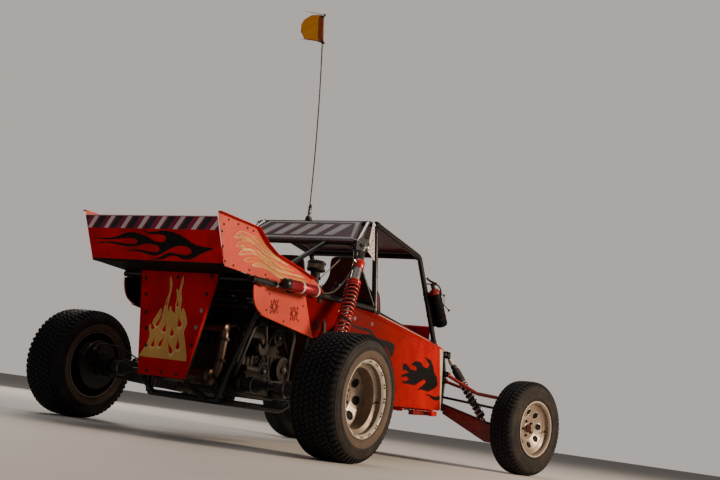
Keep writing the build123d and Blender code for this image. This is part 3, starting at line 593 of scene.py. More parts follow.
def folded(section, width_dir, a, b, t, b_edge=0.0):
    """Sheet bent along section points (3-D, at the width's zero), running from a to b along width_dir, thickness t inwards."""
    s = [arr(q) for q in section]
    w = unit(width_dir)
    m = len(s)
    nrm = []
    for i in range(m):
        d = []
        if i:
            d.append(unit(np.cross(w, s[i] - s[i - 1])))
        if i < m - 1:
            d.append(unit(np.cross(w, s[i + 1] - s[i])))
        k = sum(d)
        k = k / np.linalg.norm(k)
        nrm.append(k / max(0.4, k @ d[0]))
    outer, inner = s, [q + k * t for q, k in zip(s, nrm)]
    ring = outer + inner[::-1]
    n = len(ring)
    v = [q + w * a for q in ring] + [q + w * b for q in ring]
    f = [(i, (i + 1) % n, n + (i + 1) % n, n + i) for i in range(n)]
    for i in range(m - 1):
        j = n - 1 - i
        f += [(i, j, j - 1, i + 1)[::-1], (n + i, n + j, n + j - 1, n + i + 1)]
    return v, f


def disc_points(r, n=14, c=(0, 0), turn=0.0):
    return [(c[0] + r * math.cos(turn + k * TAU / n), c[1] + r * math.sin(turn + k * TAU / n)) for k in range(n)]


def hexagon(k, at, d, r, h, m=0, hint=None):
    """Hexagon head with a chamfered top."""
    k.add(lathe([(0, 0), (r, 0), (r, h * 0.8), (r * 0.86, h), (0, h)], at, d, 6, hint), m)


def bolt(k, at, d, r=0.006, h=0.004, m=0, washer=True, hint=None):
    at, d = arr(at), unit(d)
    if washer:
        k.add(lathe([(0, -0.0004), (r * 1.55, -0.0004), (r * 1.55, 0.0010), (0, 0.0010)], at, d, 16), m)
        at = at + d * 0.0009
    hexagon(k, at, d, r, h, m, hint)


def button(k, at, d, r=0.006, h=0.0032, m=0):
    """Round button head with a hexagon socket."""
    k.add(lathe([(r * 1.0, -0.0003), (r, h * 0.25), (r * 0.9, h * 0.62), (r * 0.68, h * 0.9), (r * 0.48, h),
                 (r * 0.44, h), (r * 0.42, h * 0.45), (0, h * 0.45)], at, d, 14), m)


def bead(k, at, d, r, m=0, size=0.0026, n=26):
    """Weld bead round a tube: a scalloped ring."""
    u, w = across(d)
    at = arr(at)
    pts = []
    for i in range(n):
        a = i * TAU / n
        wob = 0.0007 * math.sin(a * 9) + 0.0005 * math.sin(a * 5 + 1)
        pts.append(at + (u * math.cos(a) + w * math.sin(a)) * (r + 0.0006) + unit(d) * wob)
    radii = [size * (1.0 + 0.22 * (i % 2)) for i in range(n)]
    k.add(sweep(pts, radii, 6, closed=True), m)


def coil(k, a, b, radius, wire, turns, m=0, n=10, per=22, dead=0.8):
    """Compression spring from a to b with closed ends."""
    a, b = arr(a), arr(b)
    d = unit(b - a)
    u, w = across(d)
    L = np.linalg.norm(b - a)
    total = int(turns * per)
    pts = []
    for i in range(total + 1):
        t = i / per
        s = t / turns
        pitch = np.interp(t, [0, dead, turns - dead, turns], [0, wire * 1.9 * dead / L, 1 - wire * 1.9 * dead / L, 1])
        pts.append(a + d * (wire + (L - 2 * wire) * pitch) + (u * math.cos(t * TAU) + w * math.sin(t * TAU)) * radius)
    k.add(sweep(pts, wire, n), m)


def mirror_shape(shape):
    v, f = shape
    v = arr(v).reshape(-1, 3).copy()
    v[:, 1] *= -1
    return v, [tuple(face)[::-1] for face in f]


def p2(points):
    """Millimetre outline to metres."""
    return [(a / 1000, b / 1000) for a, b in points]


def pair(points):
    return [P(*q) for q in points]


# ------------------------------------------------------------ frame tubes
MAIN, MINOR, THIN = 0.019, 0.015, 0.011
HOOP_TOP, HOOP_BASE = (945, 480, 1528), (962, 552, 940)
ROOF_FRONT, ROOF_REAR, PILLAR_BASE = (1630, 478, 1453), (728, 486, 1345), (2012, 498, 862)
FLOOR_REAR, FLOOR_FRONT = (760, 420, 300), (2120, 440, 392)
# columns: points of one bent or straight tube, radius, mirrored pair; the bend radius follows from the tube's radius
FRAME_TUBES = {
    "lower_frame": [
        ([(60, -330, 222), (60, 330, 222)], MINOR, False),
        ([(1400, -440, 343), (1400, 440, 343)], MINOR, False),
        ([(2120, -440, 392), (2120, 440, 392)], MINOR, False),
        ([(760, -420, 300), (760, 420, 300)], MINOR, False),
        ([(1090, 430, 322), (1090, 590, 372)], THIN, True),
        ([(1980, 440, 383), (1980, 500, 395)], THIN, True),
        ([(-150, 0, 222), (-150, 250, 222), (300, 385, 222), (420, 400, 292), FLOOR_REAR, FLOOR_FRONT], MAIN, True),
    ],
    "roll_cage": [
        ([(728, 0, 1345), (945, 0, 1528), (1630, 0, 1453)], MINOR, False),
        ([(728, 250, 1345), (-60, 360, 912)], MINOR, True),
        ([(706, 478, 1330), (958, 548, 960)], THIN, True),
        ([(728, 486, 1345), (760, 505, 950)], MINOR, True),
        ([(962, -552, 1000), (962, 552, 1000)], MINOR, False),
        ([HOOP_BASE, (1010, 425, 317)], MAIN, True),
        ([PILLAR_BASE, (2105, 440, 391)], MINOR, True),
        ([HOOP_BASE, PILLAR_BASE], MINOR, True),
        ([(2000, -498, 880), (2000, 498, 880)], MINOR, False),
        ([(728, -486, 1345), (728, 486, 1345)], MINOR, False),
        ([(1630, -478, 1453), (1630, 478, 1453)], MAIN, False),
        ([HOOP_TOP, ROOF_FRONT, PILLAR_BASE], MAIN, True),
        ([(962, -552, 940), (945, -480, 1528), (945, 480, 1528), (962, 552, 940)], MAIN, False),
    ],
    "rear_cage": [
        ([(-60, -512, 910), (-60, 512, 910)], MINOR, False),
        ([(-318, 262, 895), (-318, 160, 300), (-170, 200, 232)], MINOR, True),
        ([(-318, -160, 330), (-318, 160, 330)], THIN, False),
        ([(-60, 440, 910), (-140, 256, 226)], MINOR, True),
        ([(-318, -512, 893), (-318, 430, 893)], MINOR, False),
        ([(420, -512, 936), (420, 512, 936)], MINOR, False),
        ([(420, 440, 936), (415, 402, 292)], MINOR, True),
        ([(-325, -512, 895), (395, -512, 935), (955, -548, 950)], MAIN, False),
        ([(-240, 512, 900), (395, 512, 935), (955, 548, 950)], MAIN, False),
    ],
    "nose_frame": [
        ([(2500, -345, 842), (2500, 345, 842)], MINOR, False),
        ([(2400, 338, 438), (2400, 350, 846)], MINOR, True),
        ([(2745, 262, 470), (2745, 262, 690)], MINOR, True),
        ([(2745, -262, 690), (2745, 262, 690)], MINOR, False),
        ([(2745, -262, 470), (2745, 262, 470)], MINOR, False),
        ([(2085, 462, 655), (2745, 262, 690)], MINOR, True),
        ([(2120, 440, 392), (2745, 262, 470)], MINOR, True),
        ([PILLAR_BASE, (2500, 345, 842), (2745, 262, 690)], MINOR, True),
    ],
}
# columns: piece, welded tab centre, its normal, width, height
TABS = {
    "lower_frame": [((1250, 432, 345), (0, 0, 1), 60, 40), ((1620, 436, 372), (0, 0, 1), 60, 40),
                    ((860, 446, 292), (0, 1, 0), 74, 92), ((905, 446, 292), (0, 1, 0), 60, 80)],
    "roll_cage": [((966, 330, 1018), (1, 0, 0), 34, 44), ((966, 130, 1018), (1, 0, 0), 34, 44)],
    "rear_cage": [((-200, 522, 902), (0, 1, 0), 40, 46), ((60, 522, 914), (0, 1, 0), 40, 46),
                  ((300, 522, 930), (0, 1, 0), 40, 46)],
    "nose_frame": [((2402, 388, 674), (0, 1, 0), 60, 56), ((2642, 302, 660), (0, 1, 0), 60, 60),
                   ((2416, 394, 424), (0, 1, 0), 60, 52), ((2680, 296, 452), (0, 1, 0), 60, 52)],
}


def mirrored(points, s):
    return [P(x, s * y, z) for x, y, z in points]


for node, rows in FRAME_TUBES.items():
    k = Kit()
    for points, r, two in rows:
        for s in (SIDES if two else (1,)):
            q = mirrored(points, s)
            k.add(sweep(bent(q, 0.075 if r == MAIN else 0.05, 8), r, 20 if r > THIN else 14))
            for end, inner in ((q[0], q[1]), (q[-1], q[-2])):
                if abs(end.y) > 0.001:
                    d = (inner - end).normalized()
                    bead(k, end + d * (r + 0.006), d, r)
    for c, d, w, h in TABS[node]:
        for s in SIDES:
            n = arr((d[0], s * d[1], d[2]))
            u = arr((1, 0, 0)) if abs(n[0]) < 0.5 else arr((0, 1, 0))
            v = np.cross(n, u)
            hw, hh = w / 2000, h / 2000
            out = [(-hw, -hh), (hw, -hh), (hw, hh * 0.5), (hw * 0.5, hh), (-hw * 0.5, hh), (-hw, hh * 0.5)]
            k.add(plate(out, P(c[0], s * c[1], c[2]), u, v, 0.004, [disc_points(0.007, 12, (0, hh * 0.3))], True))
    k.make(node + "_tubes", [BLACK_TUBE], replaces=[node], slot="black_tube")


# perforated gussets at the top of the main hoop, and plain ones in the other corners
def rows_of_holes(a, b, n, r):
    a, b = arr(a), arr(b)
    return [disc_points(r, 10, tuple(a + (b - a) * (i + 0.5) / n)) for i in range(n)]


k = Kit()
for s in SIDES:
    top, low, rear = P(946, s * 484, 1516), P(957, s * 518, 1258), P(842, s * 506, 1322)
    u, v = arr(rear - low), arr(top - low)
    L = np.linalg.norm(u)
    vv = unit(v - unit(u) * (v @ unit(u)))
    tu, tv = float(v @ unit(u)), float(v @ vv)
    TOP_W = 0.040
    out = [(0, 0), (L, 0), (tu + TOP_W, tv), (tu, tv)]
    holes = []
    for f0, f1, n, r in ((0.25, 0.30, 8, 0.0062), (0.52, 0.70, 8, 0.0068)):
        a = (L * f0, 0.014)
        b = (tu + TOP_W * f1, tv - 0.010)
        holes += rows_of_holes(a, b, n, r)
    holes += rows_of_holes((L * 0.80, 0.014), (L * 0.80 + (tu + TOP_W - L) * 0.60, tv * 0.62), 5, 0.0068)
    k.add(plate(out, low, u, vv, 0.003, holes, True), 0)
    # a folded flange down the rear edge
    e0, e1 = arr(low) + unit(u) * L, arr(low) + unit(u) * (tu + TOP_W) + vv * tv
    k.add(sweep([e0, e1], 0.0035, 8), 0)
    # shock tower bracket: two ears and a cross pin
    for dx in (-26, 22):
        ear = [(-0.030, -0.035), (0.030, -0.035), (0.036, 0.020), (0.012, 0.048), (-0.020, 0.044), (-0.036, 0.012)]
        k.add(plate(ear, P(718 + dx, s * 545, 1326), (0, 1, 0), (0, 0, 1), 0.004, [disc_points(0.009, 12)], True), 1)
    k.add(sweep([P(682, s * 552, 1320), P(748, s * 552, 1320)], 0.0075, 14), 2)
    hexagon(k, P(682, s * 552, 1320), (-1, 0, 0), 0.011, 0.008, 2)
    hexagon(k, P(748, s * 552, 1320), (1, 0, 0), 0.011, 0.008, 2)
    k.add(slab([(-0.034, -0.030), (0.034, -0.030), (0.034, 0.030), (-0.034, 0.030)], P(722, s * 512, 1352),
               (1, 0, 0), (0, 0.9, -0.25 * s), 0.004), 1)
k.make("hoop_gussets", [STRIPE_WHITE, SHOCK_SILVER, DARK_STEEL])

k = Kit()
for s in SIDES:
    # silver side bar of the roof with its bolted end, its pale colour a painted highlight along the tube, and the small
    # triangular gussets of the cage
    k.add(sweep([P(938, s * 428, 1536), P(724, s * 494, 1336)], 0.0155, 18), 0)
    d = unit(P(724, s * 494, 1336) - P(938, s * 428, 1536))
    k.add(lathe([(0, 0.0), (0.0175, 0.0), (0.0175, 0.003), (0.008, 0.004), (0.008, 0.001), (0, 0.001)],
                arr(P(724, s * 494, 1336)), d, 18), 0)
    bead(k, P(930, s * 430, 1529), d, 0.0155, 1)
    for a, b, c in (((1630, 478, 1434), (1590, 478, 1438), (1655, 479, 1396)),
                    ((2000, 497, 886), (1958, 500, 884), (1978, 497, 930)),
                    ((968, 551, 960), (1030, 552, 938), (962, 546, 1010)),
                    ((418, 470, 932), (418, 420, 900), (418, 500, 900))):
        pa, pb, pc = (P(q[0], s * q[1], q[2]) for q in (a, b, c))
        u, v = arr(pb - pa), arr(pc - pa)
        uu = unit(u)
        vv = unit(v - uu * (v @ uu))
        k.add(plate([(0, 0), (np.linalg.norm(u), 0), (float(v @ uu), float(v @ vv))], pa, uu, vv, 0.003, (), True), 1)
k.make("cage_side_bars", [SHOCK_SILVER, BLACK_TUBE])


# ------------------------------------------------------------ sheet panels
def on_plane(o, u, v, lift=0.0):
    """Turns (u, v) millimetres on a plane into points, lifted along its normal."""
    o, u, v = arr(o), unit(u), arr(v)
    v = unit(v - u * (v @ u))
    n = np.cross(u, v)

    def at(a, b):
        return o + u * a / 1000 + v * b / 1000 + n * lift
    return at, n


def decal(k, outline, o, u, v, m, lift=0.0004, thick=0.0004, holes=(), soft=0):
    """Thin film on a plane; outline in millimetres of (u, v)."""
    at, n = on_plane(o, u, v)
    pts = outline if not soft else [(float(a[0]), float(a[1])) for a in smooth([(x, y, 0) for x, y in outline], soft, True)]
    hs = [h if not soft else [(float(a[0]), float(a[1])) for a in smooth([(x, y, 0) for x, y in h], soft, True)] for h in holes]
    k.add(plate(p2(pts), arr(o) + n * lift, u, v, thick, [p2(h) for h in hs]), m)


# rear face of the wing: the plane's u runs to the right, v up its slope
WING_O, WING_U, WING_V = P(-545, 0, 920), (0, -1, 0), (-116, 0, 236)
k = Kit()
FOLD = [(-661, 1156), (-603, 1038), (-549, 930), (-543, 922), (-534, 920), (-400, 915.5), (-248, 912)]
k.add(folded([P(x, 0, z) for x, z in FOLD[:3]], (0, 1, 0), -0.486, 0.486, -0.0028), 0)
# underside of the wing in black: painted shade
k.add(folded([P(x, 0, z) for x, z in FOLD[2:]], (0, 1, 0), -0.486, 0.486, -0.0028), 3)
# rolled top hem and rear return flange
k.add(sweep([P(-658.5, -486, 1156.5), P(-658.5, 486, 1156.5)], 0.0026, 12), 4)
# black rear return flange: painted shade
k.add(folded([P(-248, 0, 912), P(-246, 0, 901)], (0, 1, 0), -0.484, 0.484, -0.0025), 3)
for y in np.linspace(-430, 430, 7):
    button(k, P(-400, y, 914.5), (0, 0, -1), 0.006, 0.003, 1)
# dark undertray that closes the gap to the frame's cross tube: a black sheet of painted shade
k.add(folded([P(-250, 0, 911.5), P(-150, 0, 908), P(-66, 0, 914)], (0, 1, 0), -0.480, 0.480, -0.0022), 3)
k.add(folded([P(-66, 0, 913), P(150, 0, 901)], (0, 1, 0), -0.430, 0.430, -0.0022), 3)
# stiffening ribs inside the wing
for y in (-240, 0, 240):
    k.add(folded([P(-648, y, 1136), P(-540, y, 929), P(-260, y, 918)], (0, 1, 0), -0.010, 0.010, -0.010), 2)
k.make("wing_sheet", [RED_DARK, DARK_STEEL, BLACK_SHEET, BLACK_DULL_AND_SHADE, STRIPE_WHITE], replaces=["wing_panel"], slot="red_sheet")

k = Kit()
S0, S1, LEAN = 190, 260, 75  # the band's foot and head on the slope, and its slant
PITCH = 129.5
# columns: start within one pitch, width, material
BAND = [(0, 14, 0), (14, 3, 3), (17, 14, 0), (31, 13, 2), (44, 47, 1), (91, 10, 2), (103, 12, 2), (117, 12.5, 2)]


def clip_band(a, w):
    """Slanted bar cut off at the wing's ends."""
    lo, hi = -484, 484
    quad = [(a, S0), (a + w, S0), (a + w + LEAN, S1), (a + LEAN, S1)]
    out = []
    for (x0, y0), (x1, y1) in zip(quad, quad[1:] + quad[:1]):
        if lo <= x0 <= hi:
            out.append((x0, y0))
        for bound in (lo, hi):
            if (x0 - bound) * (x1 - bound) < 0:
                t = (bound - x0) / (x1 - x0)
                out.append((bound, y0 + t * (y1 - y0)))
    if len(out) < 3:
        return None
    cx, cy = sum(p[0] for p in out) / len(out), sum(p[1] for p in out) / len(out)
    return sorted(out, key=lambda p: math.atan2(p[1] - cy, p[0] - cx))


decal(k, [(-484, S0), (484, S0), (484, S1), (-484, S1)], WING_O, WING_U, WING_V, 1, 0.0002, 0.0003)
for i in range(-1, 9):
    for start, w, m in BAND:
        q = clip_band(-483 + i * PITCH + start, w)
        if q:
            decal(k, q, WING_O, WING_U, WING_V, m, 0.0006, 0.0003)
k.make("wing_stripe_band", [STRIPE_WHITE, STRIPE_BLACK, STRIPE_MAGENTA, GREY_BORDER])

# traditional flame licks streaming from a pointed tip
k = Kit()
REAR_FLAME = [(432, 90), (360, 97), (301, 111), (248, 141), (202, 162), (150, 176), (86, 181), (33, 173), (-19, 171),
              (-64, 185), (-37, 167), (7, 157), (54, 159), (95, 154), (107, 138), (86, 119), (51, 116), (14, 123),
              (-25, 142), (-70, 157), (-125, 168), (-185, 164), (-237, 149), (-290, 136), (-372, 130), (-445, 133),
              (-373, 122), (-292, 124), (-231, 129), (-171, 134), (-126, 130), (-108, 115), (-129, 101), (-178, 99),
              (-236, 105), (-305, 111), (-377, 107), (-434, 96), (-368, 101), (-297, 99), (-239, 90), (-181, 84),
              (-121, 89), (-61, 102), (-3, 103), (37, 93), (48, 76), (31, 60), (-12, 57), (-68, 65), (-125, 70),
              (-174, 67), (-214, 60), (-156, 61), (-108, 58), (-52, 46), (3, 37), (52, 47), (103, 70), (153, 89),
              (209, 98), (253, 93), (277, 75), (270, 57), (236, 48), (182, 51), (138, 59), (90, 52), (49, 33),
              (10, 22), (-36, 19), (18, 15), (66, 20), (116, 38), (162, 40), (205, 26), (251, 24), (297, 37),
              (336, 56), (383, 71)]
decal(k, REAR_FLAME, WING_O, WING_U, WING_V, 0, 0.0004, 0.0004, soft=3)
k.make("wing_flames", [FLAME_BLACK])

# end plates: bent sheets with a turned-out lip, screws and a generic line of flames
END_PLATE = [(-664, 1186), (-317, 1185), (-215, 1120), (-118, 1081), (108, 1052), (292, 1020), (410, 975),
             (424, 962), (416, 955), (395, 951), (-187, 921), (-541, 918)]
# tongues of flame, drawn as outlines: columns are points along the tongue (x, z), half width, wave, line material
TONGUES = [
    ([(-508, 1082), (-440, 1112), (-350, 1110), (-240, 1074), (-120, 1052), (20, 1036)], 17, 5, 0),
    ([(-484, 1040), (-420, 1066), (-330, 1078), (-210, 1044), (-80, 1018), (96, 1016)], 16, 6, 1),
    ([(-446, 1004), (-380, 1030), (-280, 1044), (-160, 1012), (-20, 990), (190, 1006)], 15, 5, 0),
    ([(-402, 980), (-330, 996), (-230, 1010), (-110, 984), (30, 970), (250, 986)], 13, 5, 1),
    ([(-318, 970), (-250, 984), (-160, 982), (-60, 962), (40, 958), (150, 972)], 9, 3, 0),
    ([(-350, 1128), (-290, 1112), (-220, 1092), (-130, 1066), (-60, 1052)], 8, 3, 1),
    ([(-300, 1060), (-220, 1036), (-120, 1034), (-20, 1008), (110, 996), (212, 1000)], 7, 3, 1),
    ([(-468, 1104), (-420, 1090), (-380, 1094), (-330, 1078)], 8, 2, 1),
    ([(-440, 1056), (-400, 1040), (-350, 1050), (-300, 1030)], 8, 2, 0),
]


def tongue_outline(points, half, wave):
    """Closed outline with a round head and a drawn-out tip."""
    mid = [arr(q) for q in smooth([(x, z, 0) for x, z in points], 7)]
    n = len(mid)
    up_side, down_side = [], []
    for i, q in enumerate(mid):
        f = i / (n - 1)
        d = unit(mid[min(n - 1, i + 1)] - mid[max(0, i - 1)])
        w = half * (math.sin(min(1.0, f / 0.16) * math.pi / 2) * (1 - max(0.0, (f - 0.16) / 0.84)) ** 0.8)
        off = wave * math.sin(f * 9.0) * f
        c = q + arr((-d[1], d[0], 0)) * off
        up_side.append(c + arr((-d[1], d[0], 0)) * w)
        down_side.append(c - arr((-d[1], d[0], 0)) * w * 0.9)
    return up_side + down_side[::-1][1:-1]


for s in SIDES:
    side = "right" if s < 0 else "left"
    k = Kit()
    o, u, v = P(0, s * 487, 0), (1, 0, 0), (0, 0, 1)
    t = 0.003
    # the sheet's outer face is at 490
    corner = [(x / 1000, z / 1000) for x, z in END_PLATE]
    # the plate takes the orange red of painted sunlight
    k.add(slab(corner, P(0, s * 487, 0) if s < 0 else P(0, s * 490, 0), (1, 0, 0), (0, 0, 1), t, 0.0006), 0)
    lip = [P(x, s * 488.5, z) for x, z in END_PLATE[:6]]
    tip = [P(x, s * 511, z - 1.5) for x, z in END_PLATE[:6]]
    for a, b, c, d in zip(lip, lip[1:], tip[1:], tip):
        q = [arr(x) for x in (a, b, c, d)]
        down = arr((0, 0, -0.003))
        vs = q + [x + down for x in q]
        fs = [(0, 1, 2, 3), (7, 6, 5, 4), (0, 4, 5, 1), (1, 5, 6, 2), (2, 6, 7, 3), (3, 7, 4, 0)]
        k.add((vs, fs if s < 0 else [f[::-1] for f in fs]), 1)
    k.add(sweep([arr(x) + arr((0, 0, -0.0015)) for x in tip], 0.0028, 8), 1)
    # screws round the rear edge and along the foot, into the wing sheet and the rail
    spots = [(-603, 1129), (-571, 1161), (-486, 1159), (-405, 1158), (-609, 1090), (-581, 1016), (-544, 944), (-350, 1156)]
    spots += [(x, 934 + (x + 541) * 0.033) for x in (-470, -330, -180, -30, 120, 270, 380)]
    for x, z in spots:
        button(k, P(x, s * 490.3, z), (0, s, 0), 0.0066, 0.0034, 2)
    k.make(f"end_plate_{side}", [RED_SUNLIT, RED_DARK, DARK_STEEL], replaces=["wing_end_plates"] if s < 0 else (),
           slot="red_sheet")
    # flames as outlines, cream and gold by turns
    k = Kit()
    for points, half, wave, m in TONGUES:
        for grow, w in ((1.0, 0.0021), (0.45, 0.0012)):
            path = tongue_outline(points, half * grow, wave)
            k.add(sweep([P(q[0], s * 490.9, q[1]) for q in path], w, 6, closed=True), m)
    k.make(f"end_plate_flames_{side}", [FLAME_CREAM, FLAME_GOLD])


def skin(node, mat):
    """Better material on a carried-over solid."""
    for slot in nodes[node].material_slots:
        slot.material = mat


def flat_sheet(k, pts, t, m=0):
    """Sheet through 3-D points that lie nearly on one plane, thickened away from its normal."""
    p = [arr(q) for q in pts]
    n = sum(np.cross(a - p[0], b - p[0]) for a, b in zip(p[1:], p[2:]))
    n = unit(n)
    u = unit(p[1] - p[0])
    u = unit(u - n * (u @ n))
    v = np.cross(n, u)
    flat = [Vector((float((q - p[0]) @ u), float((q - p[0]) @ v), 0)) for q in p]
    tri = tessellate_polygon([flat])
    c = len(p)
    vs = p + [q - n * t for q in p]
    fs = []
    for a, b, d in tri:
        ccw = (flat[b] - flat[a]).cross(flat[d] - flat[a]).z > 0
        if not ccw:
            b, d = d, b
        fs += [(a, b, d), (a + c, d + c, b + c)]
    fs += [(i, i + c, (i + 1) % c + c, (i + 1) % c) for i in range(c)]
    k.add((vs, fs), m)


def clip(poly, keep_low, bound=0.0):
    """Part of an outline on one side of u = bound."""
    out = []
    side = (lambda q: q[0] <= bound) if keep_low else (lambda q: q[0] >= bound)
    for a, b in zip(poly, poly[1:] + poly[:1]):
        if side(a):
            out.append(a)
        if side(a) != side(b):
            t = (bound - a[0]) / (b[0] - a[0])
            out.append((bound, a[1] + t * (b[1] - a[1])))
    return out


def both_sides(build):
    """Runs build for the right side and mirrors it to the left: build(kit) -> None."""
    kits = []
    for side in ("right", "left"):
        k = Kit()
        build(k)
        if side == "left":
            moved = Kit()
            v = np.concatenate(k.v)
            v[:, 1] *= -1
            moved.v, moved.f, moved.m, moved.n = [v], [f[::-1] for f in k.f], k.m, k.n
            k = moved
        kits.append((side, k))
    return kits


# ------------------------------------------------------------ engine covers
COVER_REAR = [(-265, 872), (-262, 845), (-252, 812), (-240, 788), (-222, 764), (-200, 748), (-165, 733), (-120, 720),
              (380, 676), (237, 912), (-180, 893)]
COVER_RIM = COVER_REAR[:9]


def rosette(k, place, r, m, w=0.0017):
    """Generic burst in thin dark lines: two rings and eight tongues; place(u, v) gives a point."""
    for f in (0.30, 0.44):
        k.add(sweep([place(r * f * math.cos(a), r * f * math.sin(a)) for a in np.arange(24) * TAU / 24], w, 6, closed=True), m)
    for i in range(8):
        turn = i * TAU / 8 + 0.2
        c, s = math.cos(turn), math.sin(turn)
        L = 1.0 if i % 2 else 0.80
        tongue = [(0.46, -0.17), (0.66 * L, -0.20), (L, 0.05), (0.74 * L, 0.02), (0.64 * L, 0.14), (0.46, 0.17)]
        k.add(sweep(smooth([place(r * (a * c - b * s), r * (a * s + b * c)) for a, b in tongue], 4), w, 6), m)


def on_fan(fan, x, z):
    """Point of a fan of flat triangles above (x, z), a little outside it."""
    best = None
    for a, b in zip(fan[1:-1], fan[2:]):
        o, e, f = (arr(q) for q in (fan[0], a, b))
        m = np.array([[e[0] - o[0], f[0] - o[0]], [e[2] - o[2], f[2] - o[2]]])
        q = arr(P(x, 0, z))
        s, t = np.linalg.solve(m, [q[0] - o[0], q[2] - o[2]])
        miss = max(0, -s) + max(0, -t) + max(0, s + t - 1)
        if best is None or miss < best[0]:
            best = (miss, o[1] + (e[1] - o[1]) * s + (f[1] - o[1]) * t)
    q[1] = best[1] - 0.0010
    return Vector(q)


def cover(k):
    y = -489
    # flat part of the cover in the orange red of painted sunlight
    flat_sheet(k, [P(x, y, z) for x, z in COVER_REAR], 0.003, 0)
    flat_sheet(k, [P(x, y + 3.2, z) for x, z in COVER_REAR], 0.0005, 6)  # black inner face: painted shade
    seam_top, seam_low = P(243, y - 0.6, 908), P(382, y - 0.6, 677)
    nose = [seam_low, P(470, -497, 712), P(560, -528, 800), P(598, -545, 905), P(592, -543, 922), P(420, -505, 915), seam_top]
    # the turned nose is in the dark red of painted shade
    for a, b in zip(nose[1:-1], nose[2:]):
        flat_sheet(k, [nose[0], a, b], 0.003, 1)
        flat_sheet(k, [q + Vector((0, 0.0032, 0)) for q in (nose[0], a, b)], 0.0005, 6)
    # pressed seam and rolled lower rim
    k.add(sweep([seam_low, seam_top], 0.0028, 8), 1)
    rim = [P(x, y + 1, z) for x, z in COVER_RIM]
    k.add(sweep(smooth(rim, 3), 0.0042, 10), 0)
    k.add(sweep(smooth(nose[:5], 4), 0.0038, 10), 1)
    for x, z in ((-236, 876), (-114, 849), (-120, 757), (231, 842), (203, 747), (60, 722)):
        button(k, P(x, y - 0.2, z), (0, -1, 0), 0.0062, 0.0032, 2)
    for q in (P(352, -491, 872), P(470, -503, 760), P(560, -532, 870)):
        button(k, q, (0.2, -1, 0), 0.0068, 0.0036, 3)
    for x, z, r in ((-51, 788, 52), (150, 782, 54)):
        rosette(k, lambda a, b: P(x + a, y - 0.8, z + b), r, 4)
    rosette(k, lambda a, b: on_fan(nose, 392 + a, 752 + b), 40, 4)
    # tabs that hang the cover on the rail
    for x in (-230, 60, 380):
        k.add(block(P(x, -498, 902), (1, 0, 0), (0, 0, 1), (0.034, 0.030, 0.018), 0.002), 5)


for side, k in both_sides(cover):
    k.make(f"engine_cover_{side}", [RED_SUNLIT, RED_COVER_SHADED, DARK_STEEL, STEEL, FLAME_BROWN, BLACK_TUBE, BLACK_DULL_AND_SHADE],
           replaces=["engine_covers"] if side == "right" else (), slot="red_sheet")

# ------------------------------------------------------------ rear skirt
skin("rear_skirt_panel", RED_DARK)
SK_O, SK_U, SK_V = P(-340, 0, 315), (0, -1, 0), (0, 0, 1)
SKIRT_FLAME = [(-186, 97), (-144, 167), (-133, 220), (-148, 262), (-142, 285), (-127, 249), (-105, 266), (-128, 293),
               (-107, 335), (-83, 377), (-79, 341), (-94, 303), (-107, 276), (-78, 278), (-64, 320), (-62, 371),
               (-55, 423), (-41, 476), (-50, 527), (-57, 566), (-38, 535), (-32, 491), (-35, 439), (-38, 395), (-25, 359),
               (-15, 396), (-3, 368), (13, 361), (30, 348), (21, 406), (22, 450), (6, 495), (25, 479), (31, 509),
               (39, 570), (45, 532), (42, 480), (57, 437), (58, 393), (72, 362), (78, 389), (105, 353), (125, 307),
               (119, 282), (114, 252), (136, 197), (165, 114), (168, 97)]
k = Kit()
decal(k, SKIRT_FLAME, SK_O, SK_U, SK_V, 0, 0.0003, 0.0004)
at, n = on_plane(SK_O, SK_U, SK_V, 0.0008)
line = smooth([at(a, b) for a, b in SKIRT_FLAME[:-1]], 3)
k.add(sweep(line, 0.0019, 5), 2)
# teardrop licks inside: dark red with a cream edge; columns: foot u, v, tip u, v, width
DROPS = [(-102, 145, -88, 235, 34), (-58, 148, -5, 262, 30), (62, 116, -20, 236, 34), (94, 142, 72, 262, 36),
         (-38, 236, -20, 325, 36), (36, 217, 14, 306, 36), (84, 270, 42, 372, 40), (-100, 266, -70, 352, 34),
         (-55, 384, -44, 455, 18), (38, 384, 19, 462, 18)]
for u0, v0, u1, v1, w in DROPS:
    d = arr((u1 - u0, v1 - v0))
    L = np.linalg.norm(d)
    d = d / L
    side_d = arr((d[1], -d[0]))
    for grow, m, lift in ((1.0, 2, 0.0006), (0.74, 3, 0.0009)):
        pts = []
        for f, g in ((0.0, 0.0), (0.02, 0.34), (0.10, 0.52), (0.22, 0.50), (0.42, 0.30), (0.66, 0.12), (1.0, 0.0),
                     (0.66, -0.06), (0.42, -0.22), (0.22, -0.46), (0.10, -0.50), (0.02, -0.34)):
            f2 = 0.5 - (0.5 - f) * grow
            q = arr((u0, v0)) + d * L * f2 + side_d * w * g * grow
            pts.append((float(q[0]), float(q[1])))
        decal(k, pts, SK_O, SK_U, SK_V, m, lift, 0.0003, soft=3)
# pointed base of the flames
decal(k, [(-182, 72), (-120, 78), (-60, 66), (0, 80), (60, 66), (120, 78), (170, 72), (166, 93), (-184, 93)], SK_O, SK_U, SK_V, 3, 0.0003, 0.0004)
k.make("skirt_flames", [FLAME_GOLD, FLAME_BROWN, FLAME_CREAM, RED_DARK])

